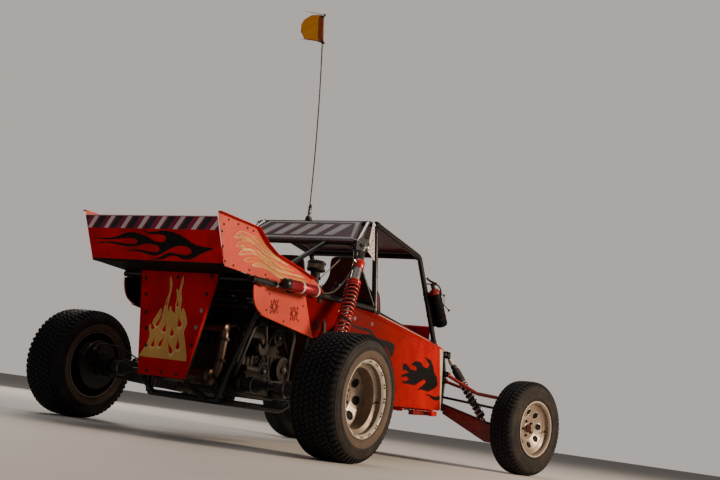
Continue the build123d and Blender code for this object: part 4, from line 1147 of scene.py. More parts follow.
k = Kit()
for s in SIDES:
    edge = [P(-340, s * 171, 315), P(-340, s * 283, 908)]
    inner = [P(-318, s * 168, 315), P(-318, s * 280, 908)]
    a, b, c, d = edge[0], edge[1], inner[1], inner[0]
    flat_sheet(k, [a, b, c, d] if s < 0 else [d, c, b, a], 0.0025, 0)
    k.add(sweep([edge[0], edge[1]], 0.0026, 8), 0)
k.add(sweep([P(-340, -171, 316), P(-340, 171, 316)], 0.0028, 8), 0)
for u, v in ((-244, 547), (-221, 454), (-195, 350), (-172, 258), (-149, 162), (246, 580), (229, 477), (182, 189), (-1, 564)):
    bolt(k, P(-340.4, -u, 315 + v), (-1, 0, 0), 0.0072, 0.0045, 1)
for u, v in ((214, 384), (196, 287)):
    bolt(k, P(-340.4, -u, 315 + v), (-1, 0, 0), 0.0078, 0.005, 2)
for u in (-110, 0, 110):
    bolt(k, P(-340.4, -u, 315 + 22), (-1, 0, 0), 0.0066, 0.004, 1)
k.make("skirt_trim", [RED_DARK, DARK_STEEL, STEEL])

# ------------------------------------------------------------ side panels
for side in ("right", "left"):
    skin(f"side_panel_{side}", RED_PANEL)
FP_O, FP_U = P(1270, -650, 0), (992, 166, 0)
RP_O, RP_U = P(600, -590, 0), (670, -60, 0)
SIDE_FLAME = [(-41, 604), (-3, 644), (63, 650), (180, 622), (321, 627), (297, 651), (170, 658), (279, 692), (390, 694),
              (477, 668), (567, 670), (603, 702), (459, 739), (616, 737), (702, 699), (747, 658), (830, 628), (881, 577),
              (800, 541), (653, 506), (497, 508), (380, 498), (475, 529), (568, 568), (527, 585), (403, 552), (306, 522),
              (198, 522), (64, 515), (15, 530), (102, 533), (170, 552), (110, 567), (4, 551), (-23, 562), (79, 585),
              (150, 596), (82, 606), (15, 603)]
SIDE_TONGUE = [(585, 482), (729, 487), (855, 482), (973, 501), (993, 480), (921, 460), (810, 459), (693, 475)]
REAR_BAND = [(28, 807), (123, 803), (236, 805), (290, 779), (353, 761), (448, 764), (536, 750), (541, 704), (523, 663),
             (483, 696), (453, 716), (383, 733), (282, 757), (217, 787), (139, 785), (48, 794)]


def side_art(k):
    decal(k, clip(SIDE_FLAME, False, 0.0), FP_O, FP_U, (0, 0, 1), 0, 0.0004, 0.0004)
    back = [(a + 672.7, b) for a, b in clip(SIDE_FLAME, True, 0.0)]
    decal(k, back, RP_O, RP_U, (0, 0, 1), 0, 0.0004, 0.0004)
    decal(k, SIDE_TONGUE, FP_O, FP_U, (0, 0, 1), 0, 0.0004, 0.0004, soft=3)
    decal(k, REAR_BAND, RP_O, RP_U, (0, 0, 1), 0, 0.0004, 0.0004, soft=3)


for side, k in both_sides(side_art):
    k.make(f"side_flames_{side}", [FLAME_BLACK])

TOP_OUT = [(600, 590, 905), (1000, 625.8, 876), (1270, 650, 846), (2165, 500.2, 844)]
TOP_IN = [(608, 566, 918), (985, 572, 924), (1270, 574, 902), (2120, 494, 864)]
LOW_OUT = [(760, 604.3, 350), (1210, 644.6, 357), (1270, 650, 359), (2255, 485.2, 390)]
LOW_IN = [(765, 560, 344), (1205, 596, 351), (1268, 600, 353), (2240, 440, 384)]


def side_trim(k):
    for outer, inner, m in ((TOP_OUT, TOP_IN, 0), (LOW_OUT, LOW_IN, 1)):
        o = [P(x, -y + (1.0 if m else 0), z) for x, y, z in outer]
        i = [P(x, -y, z) for x, y, z in inner]
        for a, b, c, d in zip(o, o[1:], i[1:], i):
            flat_sheet(k, [a, b, c, d] if m == 0 else [d, c, b, a], 0.0024, 0)
            flat_sheet(k, [d, c, b, a] if m == 0 else [a, b, c, d], 0.0002, 0)
        k.add(sweep(o, 0.003, 8), 0)
        # inner top edge in pale pink: partly wear, partly a painted highlight
        k.add(sweep(i[1:] if m == 0 else i, 0.0036 if m == 0 else 0.003, 8), 3 if m == 0 else 0)
    # upright edges, softened
    for a, b in (((760, 604.3, 350), (620, 591.8, 560)), ((620, 591.8, 560), (600, 590, 905)),
                 ((2255, 485.2, 390), (2165, 500.2, 844))):
        k.add(sweep([P(a[0], -a[1] + 1.2, a[2]), P(b[0], -b[1] + 1.2, b[2])], 0.0028, 8), 0)
    # pale strip down the folded front edge: a painted highlight on the bend
    strip = [(2165, 843), (2200, 733), (2230, 621), (2300, 394), (2272, 392), (2182, 616), (2128, 724), (2086, 818), (2070, 843)]
    decal(k, [((x - 1270) * 1.0139, z) for x, z in strip], FP_O, FP_U, (0, 0, 1), 4, 0.0007, 0.0016)
    # crease where the panel bends
    k.add(sweep([P(1270, -649.2, 360), P(1270, -649.2, 845)], 0.0022, 8), 0)
    at, n = on_plane(FP_O, FP_U, (0, 0, 1))
    for u, z in ((30, 820), (30, 600), (30, 400), (220, 376), (450, 384), (680, 392), (890, 402), (960, 470), (930, 640),
                 (890, 825), (640, 826), (400, 828), (200, 826)):
        button(k, at(u, z), n, 0.0068, 0.0036, 1)
    at, n = on_plane(RP_O, RP_U, (0, 0, 1))
    for u, z in ((28, 860), (36, 720), (40, 590), (120, 470), (190, 385), (420, 372), (600, 376), (640, 610), (640, 820), (330, 862)):
        button(k, at(u, z), n, 0.0068, 0.0036, 1)
    for u, z in ((60, 846), (252, 842)):
        bolt(k, at(u, z), n, 0.0078, 0.005, 2)


for side, k in both_sides(side_trim):
    k.make(f"side_panel_trim_{side}", [RED_PANEL, DARK_STEEL, STEEL, WORN_EDGE_AND_HIGHLIGHT, CREAM_EDGE_HIGHLIGHT])

# ------------------------------------------------------------ nose, dash, roof, floor, steps
skin("nose_panel", RED)
skin("dash_panel", RED_DARK)
skin("rear_roof_panel", MAROON)
skin("front_roof_panel", MAROON)
skin("floor_pan", BLACK_SHEET)
skin("side_steps", RED_ARM_DARK)

k = Kit()
NO, NU, NV = P(2050, 0, 903.2), (440, 0, -30), (0, 1, 0)
NOSE_FLAME = [(10, 0), (60, 60), (150, 92), (260, 84), (180, 60), (300, 66), (425, 40), (330, 30), (240, 22), (340, 8),
              (240, -8), (330, -30), (425, -52), (300, -66), (180, -60), (260, -84), (150, -92), (60, -60)]
decal(k, NOSE_FLAME, NO, NU, NV, 0, 0.0003, 0.0004, soft=3)
k.make("nose_flames", [FLAME_BLACK])

k = Kit()
for s in SIDES:
    line = [P(2050, s * 462, 901), P(2490, s * 352, 871), P(2762, s * 250, 723)]
    low = [P(2050, s * 464, 876), P(2490, s * 354, 848), P(2758, s * 252, 704)]
    for a, b, c, d in zip(line, line[1:], low[1:], low):
        flat_sheet(k, [a, b, c, d] if s > 0 else [d, c, b, a], 0.0025, 0)
        flat_sheet(k, [d, c, b, a] if s > 0 else [a, b, c, d], 0.0002, 0)
    k.add(sweep(line, 0.0032, 8), 0)
    for x, y, z in ((2090, 440, 901.5), (2200, 412, 894), (2330, 380, 885), (2450, 350, 877)):
        button(k, P(x, s * y, z), (0.06, 0, 1), 0.0068, 0.0036, 1)
k.add(sweep([P(2050, -462, 901.5), P(2050, 462, 901.5)], 0.0032, 8), 0)
k.add(sweep([P(2762, -250, 723.5), P(2762, 250, 723.5)], 0.0032, 8), 0)
# towing hitch plate bolts
for y in (-120, 120):
    bolt(k, P(2748, y, 486), (0, 0, 1), 0.008, 0.005, 1)
k.make("nose_trim", [RED, DARK_STEEL])

# gauges and switches face the seats
k = Kit()
dn = unit((-1, 0, -0.12))
du = unit((0, -1, 0))
dv = np.cross(dn, du)
do = arr(P(1975, 0, 893))
for y, h, r in ((262, 22, 0.062), (168, 34, 0.036), (356, 34, 0.036), (96, 26, 0.030)):
    c = do - du * y / 1000 + dv * h / 1000
    k.add(lathe([(r + 0.004, -0.002), (r + 0.005, 0.006), (r + 0.003, 0.010), (r - 0.002, 0.010), (r - 0.003, 0.006), (0, 0.006)],
                c, dn, 36), 1)
    k.add(lathe([(r - 0.003, 0.0062), (r * 0.5, 0.0064), (0, 0.0064)], c, dn, 36), 0)
    for t in range(9):
        a = math.radians(-120 + 30 * t)
        q = c + dn * 0.0066 + (du * math.sin(a) + dv * math.cos(a)) * (r * 0.78)
        k.add(block(q, du * math.cos(a) - dv * math.sin(a), du * math.sin(a) + dv * math.cos(a), (0.0016, r * 0.14, 0.0006), 0.0002), 2)
    a = math.radians(-80 + 40 * (h % 3))
    k.add(block(c + dn * 0.0072 + (du * math.sin(a) + dv * math.cos(a)) * r * 0.28, du * math.cos(a) - dv * math.sin(a),
                du * math.sin(a) + dv * math.cos(a), (0.0022, r * 0.72, 0.0008), 0.0002), 3)
    k.add(lathe([(0.004, 0.006), (0.004, 0.009), (0, 0.0095)], c, dn, 12), 0)
for i, y in enumerate((10, -30, -70, -110, -150)):
    c = do - du * y / 1000 - dv * 0.022
    k.add(lathe([(0.009, 0), (0.009, 0.003), (0.006, 0.004), (0, 0.004)], c, dn, 16), 1)
    k.add(sweep([c + dn * 0.003, c + dn * 0.010 + dv * 0.003, c + dn * 0.020 + dv * 0.008], [0.0022, 0.0022, 0.0034], 10), 4)
for y in (-420, -240, 60, 420):
    for h in (-78, 76):
        button(k, do - du * y / 1000 + dv * h / 1000, dn, 0.006, 0.003, 5)
# rolled top of the dash
k.add(folded([P(1961, 0, 984), P(1966, 0, 991), P(1976, 0, 994), P(2010, 0, 990), P(2034, 0, 972)], (0, -1, 0), -0.470, 0.470, -0.0028), 6)
k.make("dash_gauges", [PLASTIC, CHROME, STRIPE_WHITE, RED, STEEL, DARK_STEEL, RED_DARK])

k = Kit()
RO, RU, RV = P(713, 0, 1360), (0, -1, 0), (217, 0, 183)
# rear face of the roof panel, which looks back and down
at, n = on_plane(RO, RU, RV, 0.0)
outer = [(-456, 16), (456, 16), (376, 262), (-376, 262)]
inner = [(-428, 36), (428, 36), (350, 246), (-350, 246)]
for lf in (0.0032, -0.0006):
    decal(k, outer, RO, RU, RV, 0, lf, 0.0004, holes=[inner])
for i in range(5):
    a = -352 + i * 138
    for lf in (0.0032, -0.0006):
        decal(k, [(a, 62), (a + 74, 62), (a + 134, 222), (a + 60, 222)], RO, RU, RV, 0, lf, 0.0004)
        decal(k, [(a + 82, 62), (a + 90, 62), (a + 150, 222), (a + 142, 222)], RO, RU, RV, 1, lf, 0.0004)
for a, b in ((-462, 12), (-230, 12), (0, 12), (230, 12), (462, 12), (-420, 140), (420, 140), (-376, 262), (0, 265), (376, 262)):
    q = at(a, b)
    button(k, q, -n, 0.0062, 0.003, 2)
    button(k, q + n * 0.003, n, 0.0062, 0.003, 2)
# flange under the panel's foot
k.add(folded([P(713, 0, 1360), P(706, 0, 1352), P(708, 0, 1338)], (0, -1, 0), -0.478, 0.478, -0.0025), 3)
k.make("roof_rear_art", [GREY_BORDER, STRIPE_MAGENTA, STEEL, MAROON])

k = Kit()
FO, FU, FV = P(972, 0, 1546), (685, 0, -75), (0, 1, 0)
for lf in (0.0032, -0.0006):
    decal(k, [(4, -472), (672, -472), (672, 472), (4, 472)], FO, FU, FV, 0, lf, 0.0004,
          holes=[[(30, -440), (646, -440), (646, 440), (30, 440)]])
at, n = on_plane(FO, FU, FV)
for u in (18, 130, 260, 400, 530, 658):
    for v in (-456, 456):
        button(k, at(u, v) + n * 0.003, n, 0.0062, 0.003, 1)
        button(k, at(u, v), -n, 0.0062, 0.003, 1)
for s in SIDES:
    o = [P(976, s * 475, 1546), P(1640, s * 475, 1473)]
    i = [P(976, s * 478, 1530), P(1640, s * 478, 1458)]
    flat_sheet(k, [o[0], o[1], i[1], i[0]] if s > 0 else [i[0], i[1], o[1], o[0]], 0.0025, 0)
    k.add(sweep([o[0] + Vector((0, 0, 0.002)), o[1] + Vector((0, 0, 0.002))], 0.0028, 8), 0)
k.make("roof_front_art", [GREY_BORDER, STEEL])

# pressed beads and bolts of the floor sheet, seen from below
k = Kit()
ax, az = unit((1360, 0, 92)), unit((-92, 0, 1360))
fo = arr(P(785, 0, 324))
for y in (-330, -220, -110, 0, 110, 220, 330):
    a, b = fo + ax * 0.06 + arr((0, y / 1000, 0)), fo + ax * 1.27 + arr((0, y / 1000, 0))
    k.add(sweep([a + az * 0.001, b + az * 0.001], 0.0048, 8), 0)
for x in np.linspace(0.03, 1.30, 12):
    for s in SIDES:
        bolt(k, fo + ax * x + arr((0, s * (0.388 + 0.012 * x), 0)) - az * 0.0002, -az, 0.006, 0.0035, 1)
k.make("floor_beads", [BLACK_SHEET, DARK_STEEL])

k = Kit()
for s in SIDES:
    o = arr(P(1450, s * 560, 336))
    sx = unit((540, s * -32, 16))
    sz = unit((-16, 0, 540))
    sy = np.cross(sz, sx)
    for i in range(17):
        for j in (-1, 0, 1):
            c = o + sx * (0.022 + 0.031 * i) + sy * (0.019 * j + (0.005 if i % 2 else -0.005)) + sz * 0.0139
            k.add(lathe([(0.0062, 0), (0.0058, 0.0022), (0.0040, 0.0024), (0.0038, 0.0004), (0, 0.0004)], c, sz, 10), 1)
    for f in (0.0, 0.54):
        k.add(block(o + sx * f + sz * 0.007, sy, sz, (0.064, 0.020, 0.006), 0.0015), 0)
    for f in (0.07, 0.27, 0.47):
        a = o + sx * f
        tgt = arr(P(1450 + f * 1000, s * 436, 352 + f * 60))
        k.add(sweep([a + sz * 0.006, tgt], 0.009, 12), 2)
        bead(k, a + unit(tgt - a) * 0.030, unit(tgt - a), 0.009, 2, 0.0018, 18)
for s in SIDES:
    # bright end shoe of the step
    k.add(block(P(2000, s * 556, 354), (450, s * -70, 20), (70 * s, 450, 0), (0.124, 0.036, 0.037), 0.004), 0)
k.make("step_details", [RED, RED_ARM, BLACK_TUBE])


# ------------------------------------------------------------ wheels
REST = math.radians(-13.4)
KING_X, KING_Y = 2601, 942
RIM_R = 209


def turned(k, ahead, out, z):
    """Point fixed to a front wheel at rest: ahead along its plane, out along its axle."""
    x, y = ahead, k * out
    return P(KING_X + x * math.cos(REST) - y * math.sin(REST), k * KING_Y + x * math.sin(REST) + y * math.cos(REST), z)


def wheel_axes(name):
    k = -1 if name.endswith("right") else 1
    if name.startswith("rear"):
        return k, arr(P(0, k * 1137, 342)), arr((0, -k, 0)), arr((1, 0, 0))
    o, o2 = turned(k, 0, 230, 352), turned(k, 0, 330, 352)
    return k, arr(o), unit(o - o2), arr((math.cos(REST), math.sin(REST), 0))


def tyre_skin(k, o, inb, fw, rows, mats, n=120):
    """Turned tyre carcass; rows of radius, inboard distance (mm), with a material per span."""
    up_v = arr((0, 0, 1))
    ang = np.arange(n) * TAU / n
    ring = np.cos(ang)[:, None] * fw + np.sin(ang)[:, None] * up_v
    flip = (np.cross(fw, up_v) @ inb) < 0
    for (r0, h0, m), (r1, h1, _) in zip(rows, rows[1:] + rows[:1]):
        a = o + inb * h0 / 1000 + ring * r0 / 1000
        b = o + inb * h1 / 1000 + ring * r1 / 1000
        v = np.concatenate([a, b])
        f = [(i, (i + 1) % n, n + (i + 1) % n, n + i) for i in range(n)]
        k.add((v, [q[::-1] for q in f] if flip else f), m)


def resample(points, n):
    """Rows (r, h) spaced evenly along a line."""
    p = arr(points)
    d = np.concatenate([[0], np.cumsum(np.linalg.norm(np.diff(p, axis=0), axis=1))])
    s = np.linspace(0, d[-1], n)
    return np.stack([np.interp(s, d, p[:, 0]), np.interp(s, d, p[:, 1])], 1), d[-1]


def tread_blocks(k, o, inb, fw, surface, rows, m=0):
    """Blocks on a tread; surface is the outer line (r, h); a row holds
    across start, across end, count, share of pitch, phase, slant, zigzag, samples, depth."""
    up_v = arr((0, 0, 1))
    p = arr(surface)
    d = np.concatenate([[0], np.cumsum(np.linalg.norm(np.diff(p, axis=0), axis=1))])
    tang = np.gradient(p, d, axis=0)
    tang /= np.linalg.norm(tang, axis=1)[:, None]
    flip = (np.cross(fw, up_v) @ inb) < 0
    V, F, base = [], [], 0
    for s0, s1, count, share, phase, slant, zig, samples, depth in rows:
        ss = np.linspace(s0, s1, samples)
        r = np.interp(ss, d, p[:, 0])
        h = np.interp(ss, d, p[:, 1])
        tr = np.interp(ss, d, tang[:, 0])
        th = np.interp(ss, d, tang[:, 1])
        nr, nh = th, -tr  # outward
        nr, nh = (nr, nh) if nr.sum() > 0 or abs(nr).sum() < 1e-6 else (-nr, -nh)
        pitch = TAU / count
        frac = (ss - s0) / max(1e-6, s1 - s0)
        for i in range(count):
            mid = (i + phase) * pitch + slant * pitch * (frac - 0.5) + zig * pitch * np.where(np.arange(samples) % 2, 1, -1) * 0.5
            half = share * pitch / 2
            chamf = 0.0018 / (r.mean() / 1000)
            quad = []
            for a_off, lift, inset in ((-half, -depth, 0), (-half, 0, 1), (half, 0, 1), (half, -depth, 0)):
                sgn = -1 if a_off < 0 else 1
                a = mid + a_off - sgn * inset * chamf
                e = np.where(np.arange(samples) == 0, 1.0, np.where(np.arange(samples) == samples - 1, -1.0, 0.0)) * inset * 1.2
                rr = r + nr * lift + tr * e
                hh = h + nh * lift + th * e
                pts = o + inb * (hh / 1000)[:, None] + (np.cos(a)[:, None] * fw + np.sin(a)[:, None] * up_v) * (rr / 1000)[:, None]
                quad.append(pts)
            q = np.stack(quad, 1).reshape(-1, 3)
            V.append(q)
            f = []
            for j in range(samples - 1):
                a, b = base + 4 * j, base + 4 * (j + 1)
                f += [(a, b, b + 1, a + 1), (a + 1, b + 1, b + 2, a + 2), (a + 2, b + 2, b + 3, a + 3)]
            f += [(base, base + 1, base + 2, base + 3), (base + 4 * (samples - 1) + 3, base + 4 * (samples - 1) + 2,
                                                         base + 4 * (samples - 1) + 1, base + 4 * (samples - 1))]
            F += f
            base += 4 * samples
    v = np.concatenate(V)
    # orient by a test face: its normal should point away from the axle
    a, b, c = v[F[1][0]], v[F[1][1]], v[F[1][2]]
    rad = a - o - inb * ((a - o) @ inb)
    if np.cross(b - a, c - a) @ rad < 0:
        F = [q[::-1] for q in F]
    k.add((v, F), m)


def make_tyre(name, radius, width, rim_w, front):
    k_side, o, inb, fw = wheel_axes(name)
    lip = (width - rim_w) / 2
    out, b = -lip, RIM_R + 0.6
    R = radius - (8.5 if not front else 6.5)
    # columns: radius, inboard distance, material of the span that starts here (0 tread, 1 side, 2 bead ring)
    half = [(b, out + lip + 5, 2), (b + 5, out + lip - 3, 2), (b + 13, out + lip - 8, 2), (b + 17, out + 3.5, 2),
            (b + 22, out + 2.0, 2), (b + 33, out + 0.6, 2), (b + 46, out + 0.5, 1), (b + 49, out + 1.6, 1),
            (b + 52, out + 0.5, 1), (b + 66, out + 0.4, 1), (radius - 62, out + 1.6, 1), (radius - 48, out + 3.6, 1),
            (radius - 45, out + 6.0, 1), (radius - 36, out + 8.0, 1), (R - 16, out + 19, 0), (R - 7, out + 31, 0),
            (R - 1.5, out + 50, 0)]
    far = [(r, 2 * out + width - h, m) for r, h, m in half[::-1]]
    mats_far = [m for _, _, m in half][:-1][::-1] + [2]
    rows = half + [(R, out + width / 2, 0)] + [(r, h, m) for (r, h, _), m in zip(far, mats_far)]
    inner = [(b - 0.2, 2 * out + width - (out + lip + 16), 2), (b - 0.2, out + lip + 16, 2)]
    k = Kit()
    tyre_skin(k, o, inb, fw, rows + inner, None, 144)
    w = width
    surf = [(radius - 40, out + 5.0), (radius - 30, out + 9.5), (radius - 17, out + 18), (radius - 8, out + 27),
            (radius - 3.4, out + 38), (radius - 1.2, out + 56), (radius - 0.2, out + w * 0.40), (radius, out + w / 2)]
    surf = surf + [(r, 2 * out + w - h) for r, h in surf[::-1][1:]]
    pts, total = resample(surf, 90)
    if front:
        c = 58
        e = total
        rows_t = [(14, 52, c, 0.66, 0.0, 0.25, 0.0, 5, 7), (e - 52, e - 14, c, 0.66, 0.5, -0.25, 0.0, 5, 7)]
        n_rib = 4
        a0, a1 = 58, e - 58
        pitch = (a1 - a0) / n_rib
        for i in range(n_rib):
            s = a0 + i * pitch
            rows_t.append((s + 3.2, s + pitch - 3.2, 66, 0.90, 0.3 * i, 0.30 * (1 if i % 2 else -1), 0.0, 4, 6.5))
    else:
        e = total
        c = 60
        rows_t = [(12, 56, c, 0.62, 0.0, 0.30, 0.0, 5, 8), (e - 56, e - 12, c, 0.62, 0.5, -0.30, 0.0, 5, 8)]
        a0, a1 = 61, e - 61
        n_rib = 6
        pitch = (a1 - a0) / n_rib
        for i in range(n_rib):
            s = a0 + i * pitch
            rows_t.append((s + 2.2, s + pitch - 2.2, 70, 0.76, 0.37 * i, 0.50 * (1 if i % 2 else -1), 0.12, 4, 7))
    tread_blocks(k, o, inb, fw, pts, rows_t, 0)
    # raised plain rings on the side wall
    for r in (b + 57, radius - 70):
        tyre_skin(k, o, inb, fw, [(r - 1.6, out + 1.4, 1), (r, out - 0.5, 1), (r + 1.6, out + 1.4, 1)], None, 96)
    return k.make(f"{name}_tyre_tread", [TREAD, SIDEWALL, SIDEWALL if front else BEAD_RING], body=f"{name}_wheel", sharp=32,
                  replaces=[f"{name}_tyre"], slot="tyre_rubber")


WHEELS = [("rear_right", 342, 289, 268, False, 152, 4.4), ("rear_left", 342, 289, 268, False, 152, 4.4),
          ("front_right", 352, 213, 198, True, 83, 35.1), ("front_left", 352, 213, 198, True, 83, 35.1)]
for name, radius, width, rim_w, front, disc, turn in WHEELS:
    make_tyre(name, radius, width, rim_w, front)
    skin(f"{name}_rim", WHEEL)
    kk, o, inb, fw = wheel_axes(name)
    zz = arr((0, 0, 1))
    k = Kit()
    outw = -inb
    # bright rolled flange
    lip_out = [(RIM_R + 0.4, 13.5), (RIM_R + 1.0, 6), (RIM_R + 0.2, 1.0), (RIM_R - 3, -1.2), (RIM_R - 8, -0.6)]
    lip_in = [(RIM_R - 8, -0.6), (RIM_R - 13, 3), (RIM_R - 18, 7), (RIM_R - 21.4, 13), (RIM_R - 22.4, 14)]
    for m, pr in ((0, lip_out), (1 if front else 0, lip_in)):
        k.add(lathe([(r / 1000, h / 1000) for r, h in pr], o, inb, 96, fw), m)
    if not front:
        # bead ring bolts in pairs, all round the flange
        for i in range(32):
            a = (i // 2) * TAU / 16 + (i % 2) * 0.085
            q = o + (fw * math.cos(a) + zz * math.sin(a)) * 0.1998 + inb * 0.0005
            k.add(lathe([(0.0056, -0.0008), (0.0054, 0.0018), (0.0040, 0.0026), (0, 0.0026)], q, outw, 8), 3)
    # hub face: raised edge of the flat centre, five nuts in countersinks, dark red cap
    face = disc / 1000
    lift = 0.0046 if front else 0.0016
    k.add(lathe([(0.0888, face - 0.0002), (0.0880, face - lift), (0.0852 if front else 0.0862, face - lift), (0.0840 if front else 0.0855, face - 0.0002)], o, inb, 64, fw), 0 if front else 1)
    k.add(lathe([(0.0350, face - 0.0002), (0.0350, face - 0.0022), (0.0330, face - 0.0028), (0.0316, face - 0.0022)], o, inb, 48, fw), 0)
    k.add(lathe([(0.0316, face - 0.0150), (0.0310, face - 0.0186), (0.0282, face - 0.0205), (0.0270, face - 0.0190),
                 (0.0120, face - 0.0192), (0.0100, face - 0.0212), (0, face - 0.0214)], o, inb, 40, fw), 2)
    for i in range(5):
        a = math.radians(115 - 72 * i)
        q = o + (fw * math.cos(a) + zz * math.sin(a)) * 0.055 + inb * face
        k.add(lathe([(0.0128, -0.0004), (0.0128, 0.0012), (0.0112, 0.0016), (0.0104, 0.0002), (0, 0.0002)], q, outw, 20), 1)
        k.add(lathe([(0.0096, 0.0), (0.0104, 0.0035), (0.0094, 0.0130), (0.0072, 0.0158), (0.0, 0.0160)], q, outw, 6, fw), 3)
    # vent holes get rolled edges
    for i in range(8):
        a = math.radians(kk * turn + 45 * i)
        rr = 0.124
        c = o + (fw * math.cos(a) + zz * math.sin(a)) * rr
        rad = fw * math.cos(a) + zz * math.sin(a)
        depth = face - 0.033 * (0.124 - 0.088) / (0.165 - 0.088)
        nrm = unit(outw * (0.165 - 0.088) + rad * -0.033)
        slope = unit(rad * (0.165 - 0.088) + outw * 0.033)
        side_v = np.cross(nrm, slope)
        vr = 0.0272 if front else 0.0268
        pts = [c + inb * depth + slope * vr * math.cos(t) + side_v * vr * math.sin(t) + nrm * 0.0008 for t in np.arange(32) * TAU / 32]
        k.add(sweep(pts, 0.0016 if front else 0.0012, 8, closed=True), 0 if front else 1)
        # shadowed depth of the hole
        k.add(lathe([(0, -0.0016), (0.0256, -0.0016), (0.0256, -0.0048), (0, -0.0048)], c + inb * depth, nrm, 32, slope), 5)
    # weld between disc and barrel
    wob = [o + inb * (disc - 33 + 1) / 1000 + (fw * math.cos(t) + zz * math.sin(t)) * 0.1632 for t in np.arange(120) * TAU / 120]
    k.add(sweep(wob, [0.0026 + 0.0007 * (i % 2) for i in range(120)], 6, closed=True), 1)
    # painted shade: dull black backing plate behind the vents and black liner inside the barrel
    k.add(lathe([(0.0630, face + 0.020), (0.0900, face + 0.020), (0.1500, face + 0.008), (0.1500, face + 0.011), (0.0900, face + 0.023),
                 (0.0630, face + 0.023)], o, inb, 64, fw), 5)
    rw = rim_w / 1000
    k.add(lathe([(0.1625, face - 0.012), (0.1625, rw - 0.0588), (0.1845, rw - 0.0465), (0.1866, rw - 0.0142), (0.2026, rw - 0.0002),
                 (0.2030, rw - 0.0005), (0.1872, rw - 0.0148), (0.1850, rw - 0.0472), (0.1629, rw - 0.0596), (0.1629, face - 0.012)],
                o, inb, 96, fw, True), 5)
    # tyre valve
    va = math.radians(-2)
    rad = fw * math.cos(va) + zz * math.sin(va)
    vb = o + inb * 0.040 + rad * 0.1835
    tip = vb + outw * 0.026 - rad * 0.020
    k.add(sweep([vb, vb + (tip - vb) * 0.45, vb + (tip - vb) * 0.5, tip], [0.0062, 0.0055, 0.0036, 0.0036], 12), 4)
    k.add(sweep([tip, tip + unit(tip - vb) * 0.008], 0.0044, 12), 4)
    k.make(f"{name}_wheel_details", [WHEEL_LIP, WHEEL, CAP_RED, DARK_STEEL, HOSE, BLACK_DULL_AND_SHADE],
           body=f"{name}_wheel")


# ------------------------------------------------------------ rear running gear
skin("trailing_arms", BLACK_TUBE)
skin("drive_shafts", DARK_STEEL)


def rod_end(k, at, axis, shank, r=0.016, m_body=0, m_ball=1):
    """Spherical rod end: housing ring, ball, and shank running along `shank`."""
    axis, shank = unit(axis), unit(shank)
    prof = [(r * 0.62, -r * 0.42), (r, -r * 0.42), (r * 1.04, 0), (r, r * 0.42), (r * 0.62, r * 0.42)]
    k.add(lathe(prof, at, axis, 24, loop=True), m_body)
    ball = [(r * 0.30, -r * 0.56)] + [(r * 0.60 * math.cos(t), r * 0.60 * math.sin(t)) for t in np.linspace(-0.95, 0.95, 8)] + [(r * 0.30, r * 0.56)]
    k.add(lathe(ball, at, axis, 20), m_ball)
    k.add(sweep([arr(at) + shank * r * 0.9, arr(at) + shank * r * 1.6, arr(at) + shank * r * 3.0],
                [r * 0.62, r * 0.55, r * 0.50], 14), m_body)
    hexagon(k, arr(at) + shank * r * 2.6, shank, r * 0.82, r * 0.5, m_ball)


def through_bolt(k, a, b, r=0.007, m=1):
    d = unit(arr(b) - arr(a))
    k.add(sweep([a, b], r, 12), m)
    hexagon(k, a, -d, r * 1.75, r * 1.1, m)
    hexagon(k, b, d, r * 1.75, r * 1.4, m)


def coil_over(k, top, low, rows, springs, n=28):
    """Strut from its lower eye to its upper eye. rows: (radius, distance, material) profile from the lower eye in mm;
    springs: from, to, coil radius, wire radius, turns, material."""
    top, low = arr(top), arr(low)
    d = unit(top - low)
    for prof, m in rows:
        k.add(lathe([(r / 1000, h / 1000) for r, h in prof], low, d, n), m)
    for a, b, rad, wire, turns, m in springs:
        coil(k, low + d * a / 1000, low + d * b / 1000, rad / 1000, wire / 1000, turns, m)


